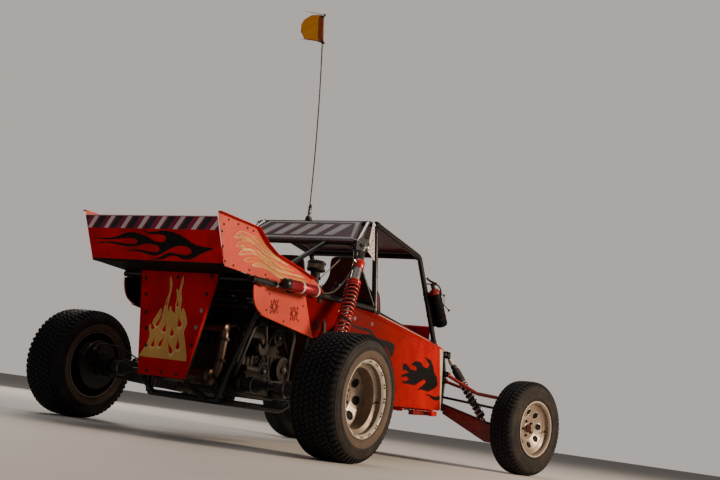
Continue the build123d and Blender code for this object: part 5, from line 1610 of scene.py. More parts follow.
def rear_shock(k):
    top, low = P(712, -552, 1320), P(234, -736, 394)
    L = (top - low).length * 1000
    rows = [
        ([(0, -18), (12, -18), (20, -10), (22, 0), (22, 14), (15, 24), (13, 34), (13, 128), (0, 128)], 0),  # shaft and eye
        ([(13, 118), (44, 118), (47, 121), (47, 126), (40, 130), (30, 134), (13, 136)], 1),  # lower cup
        ([(13, 128), (13, 620)], 2),
        ([(0, 560), (25, 560), (27, 566), (27, 752), (0, 752)], 3),  # dark body inside the coils
        ([(0, 750), (28.5, 750), (29, 754), (29, 868), (0, 870)], 2),  # bright body above them
        ([(36, 452), (45, 452), (45, 462), (36, 462)], 3),  # sliding divider between the springs
        ([(27, 750), (43, 750), (44, 754), (44, 764), (38, 768), (29, 769)], 1),  # upper spring seat
        ([(29, 868), (35, 869), (38, 874), (38, 918), (36, 926), (26, 932), (0, 932)], 1),  # red collar
        ([(0, 930), (24, 930), (25, 934), (24, 1000), (20, 1008), (0, 1010)], 3),
        ([(0, 1004), (15, 1004), (16, 1026), (21, L - 16), (21, L + 8), (16, L + 16), (0, L + 18)], 2),
    ]
    coil_over(k, top, low, rows, [(134, 450, 41, 6.2, 11.0, 1), (464, 748, 39, 6.0, 10.2, 1)])
    d = unit(top - low)
    # hose union on the red head, hose to the reservoir
    u, w = across(d, (-1, 0, 0))
    c = arr(low) + d * 0.896 + u * 0.036
    k.add(sweep([c, c + u * 0.016, c + u * 0.028], [0.0085, 0.0085, 0.0062], 12), 4)
    hose = smooth([c + u * 0.022, P(600, -566, 1160), P(520, -572, 1060), P(420, -574, 975), P(345, -573, 944), P(286, -572, 935)], 8)
    k.add(sweep(hose, 0.0056, 10), 5)
    # lower clevis on the trailing arm
    lp = arr(low)
    for s in (-1, 1):
        ear = [(-0.030, -0.052), (0.030, -0.052), (0.026, 0.012), (0.014, 0.026), (-0.014, 0.026), (-0.026, 0.012)]
        k.add(plate(ear, lp + arr((0, s * 0.030, 0)), (1, 0, 0), (0, 0, 1), 0.005, (), True), 6)
    through_bolt(k, lp + arr((0, -0.040, 0)), lp + arr((0, 0.040, 0)), 0.008, 3)


for side, k in both_sides(rear_shock):
    k.make(f"rear_coil_over_{side}", [STEEL, SHOCK_RED, SHOCK_SILVER, DARK_STEEL, CHROME, HOSE, BLACK_TUBE],
           replaces=["rear_shocks"] if side == "right" else (), slot="shock_red")


def reservoir(k):
    a, b = arr(P(-112, -572, 916)), arr(P(272, -572, 934))
    d = unit(b - a)
    prof = [(0, 0.0), (0.018, 0.0), (0.027, 0.004), (0.0318, 0.013), (0.0325, 0.030), (0.0325, 0.044)]
    k.add(lathe(prof, a, d, 36), 3)
    k.add(lathe([(0.0322, 0.044), (0.0340, 0.046), (0.0340, 0.150), (0.0322, 0.153), (0.0322, 0.157), (0.0340, 0.160), (0.0340, 0.338),
                 (0.0322, 0.344), (0.0275, 0.350), (0.0245, 0.362), (0.013, 0.367), (0, 0.368)], a, d, 44), 0)
    for f in (0.162, 0.314):
        k.add(lathe([(0.0338, f), (0.0356, f + 0.0006), (0.0356, f + 0.0134), (0.0338, f + 0.0140)], a, d, 44), 2)
        c = a + d * (f + 0.007)
        x = c[0]
        rail = arr((x, -0.512, 0.895 + (x * 1000 + MID + 325) / 720 * 0.040))
        to = unit(rail - c)
        k.add(block(c + to * 0.038, d, to, (0.014, 0.012, 0.016), 0.002), 2)
        k.add(lathe([(0.0191, -0.007), (0.0211, -0.006), (0.0211, 0.006), (0.0191, 0.007)], rail, d, 28), 2)
        hexagon(k, c + arr((0, 0.040, 0.010)), (0, 0, 1), 0.006, 0.006, 3)
    # hex union
    hexagon(k, a + d * 0.366, d, 0.0125, 0.018, 4)


for side, k in both_sides(reservoir):
    k.make(f"reservoir_{side}", [ANODISED, SHOCK_RED, PALE_METAL, BLACK_TUBE, STEEL],
           replaces=["shock_reservoirs"] if side == "right" else (), slot="shock_red")


def rear_hub(k):
    # brake disc, caliper and hub flange inboard of the wheel
    o, inb = arr(P(0, -905, 342)), arr((0, 1, 0))
    k.add(lathe([(0.062, 0.052), (0.150, 0.052), (0.152, 0.054), (0.152, 0.060), (0.150, 0.062), (0.062, 0.062)], o, inb, 64, (1, 0, 0), True), 0)
    for i in range(24):
        a = i * TAU / 24
        rr = 0.110 + 0.020 * (i % 3 - 1)
        c = o + arr((math.cos(a), 0, math.sin(a))) * rr + inb * 0.0515
        k.add(lathe([(0.0042, -0.0003), (0.0036, 0.0006), (0, 0.0006)], c, -inb, 10), 2)
    cal = o + arr((-0.118, 0.057, 0.075))
    k.add(block(cal, unit((0.085, 0, 0.118)), (0, 1, 0), (0.105, 0.062, 0.052), 0.008), 1)
    k.add(sweep([cal + arr((0.010, 0.040, 0.008)), cal + arr((0.030, 0.056, 0.012))], 0.016, 16), 1)
    # hub carrier ring and bolts on the arm's end
    c = arr(P(0, -800, 342))
    k.add(lathe([(0.066, -0.004), (0.074, -0.004), (0.075, 0.002), (0.075, 0.012), (0.066, 0.013)], c, inb, 40), 3)
    for i in range(6):
        a = i * TAU / 6 + 0.3
        bolt(k, c + arr((math.cos(a), 0, math.sin(a))) * 0.052 - inb * 0.0004, -inb, 0.0075, 0.006, 2)
    hose = smooth([cal + arr((0.02, 0.05, 0.02)), P(-60, -800, 470), P(60, -760, 470), P(240, -720, 410), P(420, -650, 360)], 7)
    k.add(sweep(hose, 0.0045, 8), 4)


for side, k in both_sides(rear_hub):
    k.make(f"rear_brake_{side}", [DARK_STEEL, IRON, DARK_STEEL, BLACK_TUBE, HOSE])


def arm_trim(k):
    a, b = arr(P(905, -480, 262)), arr(P(40, -752, 342))
    d = unit(b - a)
    side = unit(np.cross(d, (0, 0, 1)))
    up_v = np.cross(side, d)
    # weld seams along the box edges
    for s in (-1, 1):
        for t in (-1, 1):
            pts = []
            for i in range(60):
                f = i / 59
                w, h = (30 + 5 * f) / 1000, (31 + 31 * f) / 1000
                pts.append(a + (b - a) * f + side * s * w + up_v * t * h)
            k.add(sweep(pts, [0.0030 + 0.0007 * (i % 2) for i in range(60)], 6), 0)
    for f in (0.30, 0.62):
        c = a + (b - a) * f
        h = (31 + 31 * f) / 1000
        for s in (-1, 1):
            k.add(plate([(-0.05, -h * 0.5), (0.05, -h * 0.5), (0.06, 0), (0.05, h * 0.5), (-0.05, h * 0.5), (-0.06, 0)],
                        c + side * s * ((30 + 5 * f) / 1000 + 0.0022), d, up_v, 0.004, [disc_points(0.012, 16)], True), 0)
    # pivot bush, bolt and frame lugs
    for y in (-436, -516):
        k.add(plate([(-0.038, -0.040), (0.030, -0.036), (0.034, 0.020), (0.010, 0.042), (-0.030, 0.040)], P(880, y, 268),
                    (1, 0, 0), (0, 0, 1), 0.005, (), True), 0)
    through_bolt(k, P(880, -526, 262), P(880, -428, 262), 0.0095, 1)
    k.add(lathe([(0.010, 0.0), (0.037, 0.0), (0.037, 0.006), (0.010, 0.006)], P(880, -513, 262), (0, 1, 0), 28), 2)
    # droop strap and brake line along the arm
    line = [a + (b - a) * f + up_v * ((31 + 31 * f) / 1000 + 0.006) for f in np.linspace(0.06, 0.93, 8)]
    k.add(sweep(line, 0.0032, 8), 2)
    for f in (0.2, 0.45, 0.7):
        k.add(block(a + (b - a) * f + up_v * ((31 + 31 * f) / 1000 + 0.004), d, side, (0.012, 0.016, 0.010), 0.002), 3)
    strap_lo, strap_hi = P(470, -628, 330), P(452, -520, 900)
    k.add(slab([(-0.012, 0), (0.012, 0), (0.012, 0.30), (-0.012, 0.30)], P(456, -540, 610), (1, 0, 0), arr(strap_hi) - arr(strap_lo), 0.004, 0.001), 4)


for side, k in both_sides(arm_trim):
    k.make(f"trailing_arm_details_{side}", [BLACK_TUBE, DARK_STEEL, HOSE, STEEL, BELT_WEB])


def shafts(k):
    # ribbed rubber boots over the joints, with clamps
    for y0, y1, big, small in ((-402, -486, 0.046, 0.022), (-640, -556, 0.046, 0.022)):
        d = unit((0, y1 - y0, 0))
        L = abs(y1 - y0) / 1000
        prof = [(big + 0.002, 0), (big + 0.002, 0.010)]
        ribs = 6
        for i in range(ribs):
            f0, f1 = i / ribs, (i + 0.5) / ribs
            r0 = big + (small - big) * f0
            prof += [(r0, 0.010 + (L - 0.022) * f0), (r0 - 0.007, 0.010 + (L - 0.022) * f1)]
        prof += [(small, L - 0.010), (small, L), (0.015, L)]
        k.add(lathe(prof, P(0, y0, 342), d, 32), 0)
        k.add(lathe([(big + 0.0022, 0.002), (big + 0.0034, 0.003), (big + 0.0034, 0.008), (big + 0.0022, 0.009)], P(0, y0, 342), d, 32), 1)
    for i in range(6):
        a = i * TAU / 6
        for y, s in ((-348, 1), (-695, -1)):
            bolt(k, P(0, y, 342) + Vector((math.cos(a) * 0.034, 0, math.sin(a) * 0.034)), (0, s, 0), 0.005, 0.004, 2)


for side, k in both_sides(shafts):
    k.make(f"shaft_boots_{side}", [HOSE, STEEL, DARK_STEEL])

# ------------------------------------------------------------ front running gear
skin("steering_knuckle_right", BLACK_TUBE)
skin("steering_knuckle_left", BLACK_TUBE)
skin("tie_rods", BLACK_TUBE)
skin("steering_rack", ALLOY)


def front_arms(k):
    R = 0.0135
    for p, q, r in (((2385, -444, 678), (2420, -440, 678), 23), ((2622, -318, 640), (2657, -314, 640), 18)):
        k.add(sweep([P(*p), P(*q)], r / 1000, 24), 0)
    legs = [[(2402, -442, 678), (2475, -683, 562), (2590, -925, 544)], [(2640, -316, 640), (2562, -665, 562), (2603, -925, 544)]]
    for pts in legs:
        k.add(sweep(bent([P(*q) for q in pts], 0.06, 8), R, 18), 0)
        a, b = P(*pts[0]), P(*pts[1])
        d = unit(b - a)
        bead(k, arr(a) + d * 0.021, d, R, 0)
    k.add(sweep([P(2477.4, -688, 561.6), P(2564.9, -683, 560.7)], 0.011, 14), 0)
    # ball joint housing and threaded end
    c = arr(P(2601, -942, 540))
    k.add(lathe([(0, -0.014), (0.017, -0.014), (0.020, -0.009), (0.0205, 0.010), (0.018, 0.018), (0.013, 0.022), (0, 0.022)], c, (0, 0, 1), 28), 1)
    k.add(sweep([c + arr((-0.001, 0.017, 0.005)), c + arr((-0.001, 0.045, 0.006))], 0.0095, 14), 1)
    hexagon(k, c + arr((-0.001, 0.034, 0.006)), (0, 1, 0), 0.015, 0.009, 1)
    for a, b, reach in ((P(2372, -445.5, 678), P(2434, -438.4, 678), 0.062), (P(2609, -319.5, 640), P(2671, -312.4, 640), 0.026)):
        through_bolt(k, a, b, 0.0085, 2)
        d = unit(b - a)
        for e in (a + Vector(d) * 0.007, b - Vector(d) * 0.007):
            u, w = across(d, (0, 1, 0))
            k.add(plate([(-0.018, -0.020), (-0.024, -0.008), (-0.024, 0.008), (-0.018, 0.020), (reach, 0.024), (reach, -0.024)], arr(e), u, w, 0.0045, (), True), 3)


for side, k in both_sides(front_arms):
    k.make(f"front_upper_arm_{side}", [RED_ARM, STEEL, DARK_STEEL, BLACK_TUBE],
           replaces=["front_upper_arms"] if side == "right" else (), slot="red_arm")


def front_low(k):
    for p, q in (((2395, -440, 412), (2440, -432, 412)), ((2656, -318, 440), (2700, -310, 440))):
        k.add(sweep([P(*p), P(*q)], 0.020, 24), 0)
        a, b = P(*p), P(*q)
        d = Vector(unit(b - a))
        through_bolt(k, a - d * 0.014, b + d * 0.014, 0.0085, 2)
    # boxed legs: deep over the shock's pin, tapering to the frame and to the ball joint
    for pts in (((2418, -442, 412), (2485, -790, 290), (2503, -884, 272)), ((2676, -324, 440), (2658.5, -790, 292), (2655, -884, 272))):
        q = [arr(P(*x)) for x in pts]
        flat = unit((q[2][0] - q[0][0], q[2][1] - q[0][1], 0))
        side = arr((flat[1], -flat[0], 0))
        depths = (0.027, 0.068, 0.056)
        q = [q[0] - arr((0, 0, 0.010)), q[1] - arr((0, 0, 0.016)), q[2] - arr((0, 0, 0.012))]
        rings = []
        for n, (a, b, d0, d1) in enumerate(((q[0], q[1], depths[0], depths[1]), (q[1], q[2], depths[1], depths[2]))):
            for f in np.linspace(0, 1, 7 if n == 0 else 4)[(0 if n == 0 else 1):]:
                rings.append((a + (b - a) * f, d0 + (d1 - d0) * f))
        vs, fs, m, c1, w = [], [], 8, 0.004, 0.0132
        for c, h in rings:
            for x, z in ((-w, -h + c1), (-w + c1, -h), (w - c1, -h), (w, -h + c1), (w, h - c1), (w - c1, h), (-w + c1, h), (-w, h - c1)):
                vs.append(c + side * x + arr((0, 0, z)))
        for i in range(len(rings) - 1):
            fs += [(i * m + j, i * m + (j + 1) % m, (i + 1) * m + (j + 1) % m, (i + 1) * m + j) for j in range(m)]
        fs += [tuple(range(m))[::-1], tuple((len(rings) - 1) * m + j for j in range(m))]
        k.add((vs, fs), 0)
        # welded edges and pressed rings
        for sx in (-1, 1):
            for t in (-1, 1):
                k.add(sweep([c + side * sx * (w - 0.001) + arr((0, 0, t * (h - 0.001))) for c, h in rings],
                            [0.0022 + 0.0006 * (i % 2) for i in range(len(rings))], 6), 0)
            for f, r in ((0.34, 0.014), (0.62, 0.017), (0.88, 0.020)):
                c = q[0] + (q[1] - q[0]) * f
                k.add(lathe([(r - 0.004, 0.0), (r - 0.001, 0.0010), (r, 0)], c + side * sx * w, side * sx, 24), 0)
    # outer shoe that joins both legs, shock pin, ball joint
    k.add(slab([(x, y) for x, y in [(-0.113, 0.074), (0.067, 0.074), (0.062, 0.010), (0.015, -0.004), (-0.015, -0.004), (-0.108, 0.010)]],
               P(2601, -942, 256), (1, 0, 0), (0, 1, 0), 0.022, 0.004), 0)
    k.add(sweep([P(2480, -748, 352), P(2668, -752, 352)], 0.009, 14), 2)
    for q in (P(2395, -446, 422), P(2440, -440, 422)):
        k.add(sweep([q, q + Vector((0.004, 0.0006, 0))], 0.027, 24), 0)
    c = arr(P(2601, -942, 272))
    k.add(lathe([(0, -0.030), (0.016, -0.030), (0.019, -0.026), (0.0205, -0.004), (0.019, 0.006), (0.013, 0.010), (0, 0.010)], c, (0, 0, 1), 28), 1)
    for x, y in ((-18, 26), (18, 26), (-18, 52), (18, 52)):
        bolt(k, P(2601 + x, -942 + y, 278), (0, 0, 1), 0.006, 0.005, 2)
        bolt(k, P(2601 + x, -942 + y, 256), (0, 0, -1), 0.006, 0.005, 2)


for side, k in both_sides(front_low):
    k.make(f"front_lower_arm_{side}", [RED_ARM_DARK, STEEL, DARK_STEEL],
           replaces=["front_lower_arms"] if side == "right" else (), slot="red_arm")


def front_shock(k):
    top, low = P(2500, -384, 836), P(2518, -746, 366)
    L = (top - low).length * 1000
    rows = [
        ([(0, -14), (10, -14), (15, -8), (17, 0), (17, 10), (12, 18), (9, 24), (9, 120), (0, 120)], 0),
        ([(9, 30), (30, 30), (32, 33), (32, 38), (26, 42), (9, 44)], 1),
        ([(0, 110), (20, 110), (22, 116), (22, 470), (25, 474), (25, 492), (20, 498), (0, 498)], 6),
        ([(0, 44), (25, 44), (25, 338), (0, 338)], 6),
        ([(22, 336), (31, 336), (32, 340), (32, 452), (28, 462), (20, 464)], 6),
        ([(31.8, 366), (33, 367), (33, 376), (31.8, 377)], 3),
        ([(0, 470), (19, 470), (20.5, 474), (20.5, L - 46), (17, L - 40), (0, L - 40)], 2),
        ([(0, L - 44), (13, L - 44), (15, L - 26), (19, L - 14), (21, L), (19, L + 10), (12, L + 16), (0, L + 17)], 3),
    ]
    coil_over(k, top, low, rows, [(40, 336, 28, 6.4, 9.2, 6)], 24)
    # painted highlight: a thin white coil along the outer edge of the dark spring
    coil(k, arr(low) + unit(top - low) * 0.0425, arr(low) + unit(top - low) * 0.3385, 0.0322, 0.0028, 9.2, 5)
    d = unit(top - low)
    # top clevis on the nose rail and its bolt
    for s in (-1, 1):
        k.add(plate([(-0.022, -0.024), (0.022, -0.024), (0.018, 0.030), (-0.018, 0.030)], arr(top) + arr((s * 0.022, 0.004, 0)),
                    (0, 1, 0), (0, 0, 1), 0.0045, (), True), 1)
    through_bolt(k, arr(top) + arr((-0.032, 0, 0)), arr(top) + arr((0.032, 0, 0)), 0.007, 0)


for side, k in both_sides(front_shock):
    k.make(f"front_coil_over_{side}", [STEEL, BLACK_SHEET, PALE_METAL, DARK_STEEL, CHROME, STRIPE_WHITE, PLASTIC],
           replaces=["front_shocks"] if side == "right" else (), slot="shock_dark")

# steering: knuckle castings ride on their own bodies
for side, s in (("right", -1), ("left", 1)):
    k = Kit()
    kp = lambda z: P(KING_X, s * KING_Y, z)
    k.add(lathe([(0.0172, 0), (0.023, 0.004), (0.023, 0.030), (0.019, 0.036), (0.0172, 0.038)], kp(286), (0, 0, 1), 28), 0)
    k.add(lathe([(0.0172, 0), (0.019, 0.002), (0.023, 0.008), (0.023, 0.034), (0.0172, 0.038)], kp(485), (0, 0, 1), 28), 0)
    for z in (302, 502):
        hexagon(k, turned(s, 22, 0, z), arr(turned(s, 30, 0, z)) - arr(turned(s, 22, 0, z)), 0.008, 0.006, 1)
    out_d = unit(arr(turned(s, 0, 100, 352)) - arr(turned(s, 0, 0, 352)))
    ahead_d = arr((math.cos(REST), math.sin(REST), 0))
    # ribs from the king pin to the spindle boss
    for dz in (-1, 1):
        a = arr(turned(s, 0, 0, 352))
        pts = [(0.012, 0.030), (0.012, 0.095), (0.056, 0.026)]
        k.add(plate([(x, dz * z) for x, z in pts], a, out_d, (0, 0, 1), 0.008, (), True), 0)
    # brake disc
    hub = arr(turned(s, 0, 62, 352))
    k.add(lathe([(0.030, 0.0), (0.050, 0.0), (0.052, 0.004), (0.052, 0.018), (0.030, 0.020)], hub, out_d, 36), 0)
    # caliper bracket
    k.add(plate([(0.020, -0.018), (0.094, 0.024), (0.086, 0.056), (0.020, 0.018)], arr(turned(s, 0, 40, 352)), ahead_d, (0, 0, 1), 0.007, (), True), 0)
    k.make(f"knuckle_details_{side}", [BLACK_TUBE, DARK_STEEL], body=f"{side}_knuckle")

k = Kit()
tx = turned(-1, -130, 0, 462)
bx = tx.x
for s in SIDES:
    end = turned(s, -130, 0, 462)
    rod_end(k, end, (0, 0, 1), (bx - end.x, -s * 0.30, 0.022), 0.016, 0, 1)
    inner = Vector((bx, s * 0.336, 0.508))
    hexagon(k, inner, (0, s, 0), 0.020, 0.014, 1)
    k.add(sweep([inner, inner + Vector((0, s * 0.018, 0))], 0.017, 18), 0)
    k.add(sweep([Vector((bx, s * 0.332, 0.508)), Vector((bx, s * 0.318, 0.508))], [0.0165, 0.0135], 18), 1)
k.make("tie_rod_details", [STEEL, DARK_STEEL], body="rack_bar")

k = Kit()
for s in SIDES:
    k.add(lathe([(0.028, 0), (0.032, 0.002), (0.032, 0.014), (0.028, 0.016)], Vector((bx, s * 0.199, 0.508)), (0, s, 0), 32), 0)
    k.add(lathe([(0.0275, 0), (0.034, 0.001), (0.034, 0.030), (0.0275, 0.031)], Vector((bx, s * 0.110, 0.508)), (0, s, 0), 28), 1)
    k.add(block(Vector((bx, s * 0.125, 0.476)), (1, 0, 0), (0, 1, 0), (0.070, 0.040, 0.014), 0.003), 1)
    for dx in (-0.026, 0.026):
        bolt(k, Vector((bx + dx, s * 0.125, 0.469)), (0, 0, -1), 0.0065, 0.005, 2)
a = arr(P(1690, 262, 900))
cd = unit((math.cos(math.radians(24)), 0, -math.sin(math.radians(24))))
ca = a + cd * 0.280
ce = arr((bx, 0.150, 0.568))
mid = ca + cd * 0.30
k.add(sweep([ca - cd * 0.01, ca + cd * 0.012], 0.024, 18), 2)
k.add(sweep([ca, mid], 0.011, 16), 1)
k.add(sweep([mid - cd * 0.02, mid + cd * 0.012], 0.019, 16), 2)
k.add(sweep([mid, ce], 0.011, 16), 1)
k.add(sweep([ce + unit(mid - ce) * 0.03, ce - unit(mid - ce) * 0.004], 0.018, 16), 2)
k.make("steering_shaft", [STEEL, BLACK_TUBE, DARK_STEEL])


# ------------------------------------------------------------ engine bay
skin("engine_block", IRON)
skin("gearbox", ALLOY)


def fins(k, x0, x1, z0, z1, y, n, m, depth=9, thick=3.2, along="x"):
    for i in range(n):
        f = (i + 0.5) / n
        if along == "x":
            k.add(block(P(x0 + (x1 - x0) * f, y, (z0 + z1) / 2), (0, 1, 0), (0, 0, 1), (depth / 1000, abs(z1 - z0) / 1000, thick / 1000), 0.001), m)
        else:
            k.add(block(P((x0 + x1) / 2, y, z0 + (z1 - z0) * f), (0, 1, 0), (1, 0, 0), (depth / 1000, abs(x1 - x0) / 1000, thick / 1000), 0.001), m)


k = Kit()
# crank pulley, tensioner and alternator pulleys: grooved faces on the right of the block
for (x, z, r), y in (((346, 462, 72), -334), ((150, 430, 52), -334), ((250, 640, 48), -334)):
    R = r / 1000
    prof = [(0, -0.006), (R * 0.20, -0.006), (R * 0.22, -0.010), (R * 0.34, -0.010), (R * 0.36, -0.002), (R * 0.46, 0.004),
            (R * 0.72, 0.004), (R * 0.80, -0.004), (R * 0.98, -0.004), (R + 0.001, -0.001), (R - 0.003, 0.003), (R - 0.003, 0.007),
            (R + 0.001, 0.009), (R - 0.003, 0.013), (R + 0.001, 0.017), (R - 0.003, 0.021), (R + 0.002, 0.025), (R + 0.002, 0.030), (R * 0.6, 0.030)]
    k.add(lathe([(a, b - 0.001) for a, b in prof], P(x, y, z), (0, 1, 0), 48), 0)
    hexagon(k, P(x, y - 6.5, z), (0, -1, 0), R * 0.17, 0.010, 1)
    for i in range(4):
        a = i * TAU / 4 + 0.4
        k.add(lathe([(R * 0.08, 0), (R * 0.08, 0.0016), (0, 0.0016)], P(x + r * 0.6 * math.cos(a), y + 2.5, z + r * 0.6 * math.sin(a)), (0, -1, 0), 12), 1)


# belt round the three pulleys
def belt(circles, y, w, t):
    pts = [(x, z, r) for x, z, r in circles]
    out = []
    n = len(pts)
    for i in range(n):
        (xa, za, ra), (xb, zb, rb) = pts[i], pts[(i + 1) % n]
        dx, dz = xb - xa, zb - za
        d = math.hypot(dx, dz)
        base = math.atan2(dz, dx)
        off = math.acos((ra - rb) / d)
        out.append((i, base - off, (i + 1) % n, base - off))
    path = []
    for i in range(n):
        x, z, r = pts[i]
        a_in = [o[3] for o in out if o[2] == i][0]
        a_out = [o[1] for o in out if o[0] == i][0]
        while a_out < a_in:
            a_out += TAU
        for a in np.linspace(a_in, a_out, 18):
            path.append((x + (r + 1.5) * math.cos(a), z + (r + 1.5) * math.sin(a)))
    return path


path = belt([(150, 430, 52), (346, 462, 72), (250, 640, 48)], -322, 20, 4)
m = len(path)
vs, fs = [], []
for i, (x, z) in enumerate(path):
    xn, zn = path[(i + 1) % m]
    xp, zp = path[i - 1]
    t = unit((xn - xp, 0, zn - zp))
    nrm = arr((t[2], 0, -t[0]))
    for dy, dn in ((-10, 0), (10, 0), (10, 4), (-10, 4)):
        vs.append(arr(P(x, -323 + dy, z)) + nrm * dn / 1000)
for i in range(m):
    j = (i + 1) % m
    fs += [(i * 4 + a, j * 4 + a, j * 4 + (a + 1) % 4, i * 4 + (a + 1) % 4) for a in range(4)]
k.add((vs, fs), 2)
k.make("pulleys_and_belt", [DARK_STEEL, STEEL, HOSE])

k = Kit()
# sump, ribs, cylinder head with rocker cover, timing cover and bosses
k.add(block(P(170, -100, 286), (1, 0, 0), (0, 1, 0), (0.43, 0.36, 0.036), 0.012), 0)
for i in range(9):
    k.add(block(P(-30 + 50 * i, -100, 274), (0, 1, 0), (0, 0, 1), (0.33, 0.020, 0.006), 0.002), 0)
fins(k, -40, 380, 330, 520, -303, 11, 0, 8, 5)
k.add(block(P(125, -100, 775), (1, 0, 0), (0, 1, 0), (0.335, 0.37, 0.046), 0.014), 1)
k.add(block(P(125, -100, 812), (1, 0, 0), (0, 1, 0), (0.32, 0.20, 0.040), 0.016), 1)
for i in range(6):
    k.add(block(P(0 + 50 * i, -100, 833), (0, 1, 0), (0, 0, 1), (0.17, 0.010, 0.008), 0.002), 1)
for x in (-25, 75, 175, 275):
    for y in (-272, 72):
        bolt(k, P(x, y, 798), (0, 0, 1), 0.0075, 0.006, 3)
k.add(lathe([(0.020, 0), (0.020, 0.014), (0.027, 0.016), (0.027, 0.030), (0.022, 0.034), (0, 0.034)], P(230, -100, 830), (0, 0, 1), 24), 4)
# side bosses, starter, oil filter and water pump on the right, where they show
k.add(lathe([(0, 0), (0.046, 0), (0.050, 0.006), (0.050, 0.070), (0.044, 0.078), (0, 0.080)], P(60, -300, 560), (0, -1, 0), 36), 0)
for i in range(10):
    a = i * TAU / 10
    k.add(sweep([P(60 + 50.5 * math.cos(a), -302, 560 + 50.5 * math.sin(a)), P(60 + 50.5 * math.cos(a), -368, 560 + 50.5 * math.sin(a))], 0.0026, 6), 0)
k.add(sweep([P(-40, -322, 372), P(130, -322, 372)], 0.042, 28), 3)
k.add(sweep([P(-20, -322, 428), P(90, -322, 428)], 0.022, 20), 3)
k.add(lathe([(0, 0), (0.030, 0), (0.040, 0.008), (0.041, 0.075), (0.038, 0.085), (0, 0.086)], P(330, -300, 340), (0.2, -1, -0.2), 30), 4)
k.add(block(P(250, -316, 720), (1, 0, 0), (0, 0, 1), (0.16, 0.06, 0.03), 0.010), 0)
for x, z in ((-30, 470), (30, 500), (120, 500), (390, 560), (360, 380), (200, 520), (310, 560), (-40, 640), (10, 700), (110, 735)):
    bolt(k, P(x, -300.5 if z < 542 else -300.5, z), (0, -1, 0), 0.0078, 0.006, 3)
# rear face: bell housing bolts and a row of ribs
for y in (-260, -190, -110, -30, 60):
    for z in (330, 480):
        bolt(k, P(-60.5, y, z), (-1, 0, 0), 0.008, 0.006, 3)
for i in range(7):
    k.add(block(P(-58, -270 + 56 * i, 610), (1, 0, 0), (0, 0, 1), (0.010, 0.16, 0.008), 0.002), 0)
# intake runners and plenum over the head
k.add(sweep([P(-14, 150, 800), P(-8, 150, 800), P(268, 150, 800), P(274, 150, 800)], [0.040, 0.046, 0.046, 0.040], 28), 1)
for x in (20, 95, 170, 245):
    k.add(sweep(smooth([P(x, 150, 780), P(x, 140, 740), P(x, 110, 716), P(x, 92, 712)], 5), 0.021, 16), 1)
k.add(sweep([P(274, 150, 800), P(312, 150, 806)], 0.034, 24), 0)
# leads from the coil pack
for i, x in enumerate((10, 80, 150, 220)):
    k.add(sweep(smooth([P(x + 20, -20, 826), P(x + 22, -20, 850), P(250 - 10 * i, 20, 868 - 4 * i), P(300, 40, 840)], 6), 0.0042, 8), 4)
k.add(block(P(312, 40, 822), (1, 0, 0), (0, 1, 0), (0.06, 0.09, 0.05), 0.006), 4)
# hoses: coolant, fuel and oil
for pts, r in (([(330, -316, 720), (390, -318, 716), (430, -312, 660), (440, -300, 560), (470, -280, 400), (520, -270, 352)], 0.019),
               ([(120, -300, 690), (60, -340, 700), (-20, -352, 660), (-60, -350, 560), (-80, -330, 440), (-70, -300, 380)], 0.011),
               ([(250, -330, 745), (210, -372, 800), (120, -380, 846), (20, -360, 860), (-60, -330, 840)], 0.008),
               ([(60, -380, 560), (40, -404, 600), (20, -400, 700), (60, -380, 790), (160, -330, 820)], 0.009),
               ([(330, -386, 332), (300, -400, 360), (240, -396, 380), (160, -372, 372)], 0.008)):
    k.add(sweep(smooth([P(*q) for q in pts], 8), r, 12), 4)
for q, d, r in (((352, -317, 719), (1, 0, -0.1), 0.0205), ((515, -271, 357), (0.6, 0.1, -0.5), 0.0205), ((-75, -312, 402), (0.1, 0.4, -1), 0.0125)):
    k.add(lathe([(r - 0.0005, 0), (r + 0.001, 0.001), (r + 0.001, 0.009), (r - 0.0005, 0.010)], P(*q), d, 20), 3)
k.make("engine_dressing", [IRON, ALLOY, PLASTIC, DARK_STEEL, HOSE])

k = Kit()
# gearbox ribs, side covers, bolts
for i in range(5):
    k.add(block(P(-30 + 56 * i, 211, 474), (0, 1, 0), (0, 0, 1), (0.19, 0.012, 0.008), 0.002), 0)
for i in range(6):
    k.add(block(P(-66, 120 + 36 * i, 360), (1, 0, 0), (0, 0, 1), (0.014, 0.20, 0.006), 0.002), 0)
k.add(lathe([(0.0, -0.002), (0.060, -0.002), (0.064, 0.004), (0.064, 0.012), (0.050, 0.018), (0.0, 0.018)], P(0, 314, 342), (0, 1, 0), 36), 0)
for i in range(8):
    a = i * TAU / 8
    bolt(k, P(57 * math.cos(a), 326, 342 + 57 * math.sin(a)), (0, 1, 0), 0.006, 0.005, 1)
# right-hand output: inner joint cup on the block's side
k.add(lathe([(0.056, 0.004), (0.056, -0.022), (0.050, -0.030), (0.020, -0.030), (0, -0.030)], P(0, -305, 342), (0, 1, 0), 36), 1)
k.make("gearbox_details", [ALLOY, DARK_STEEL])

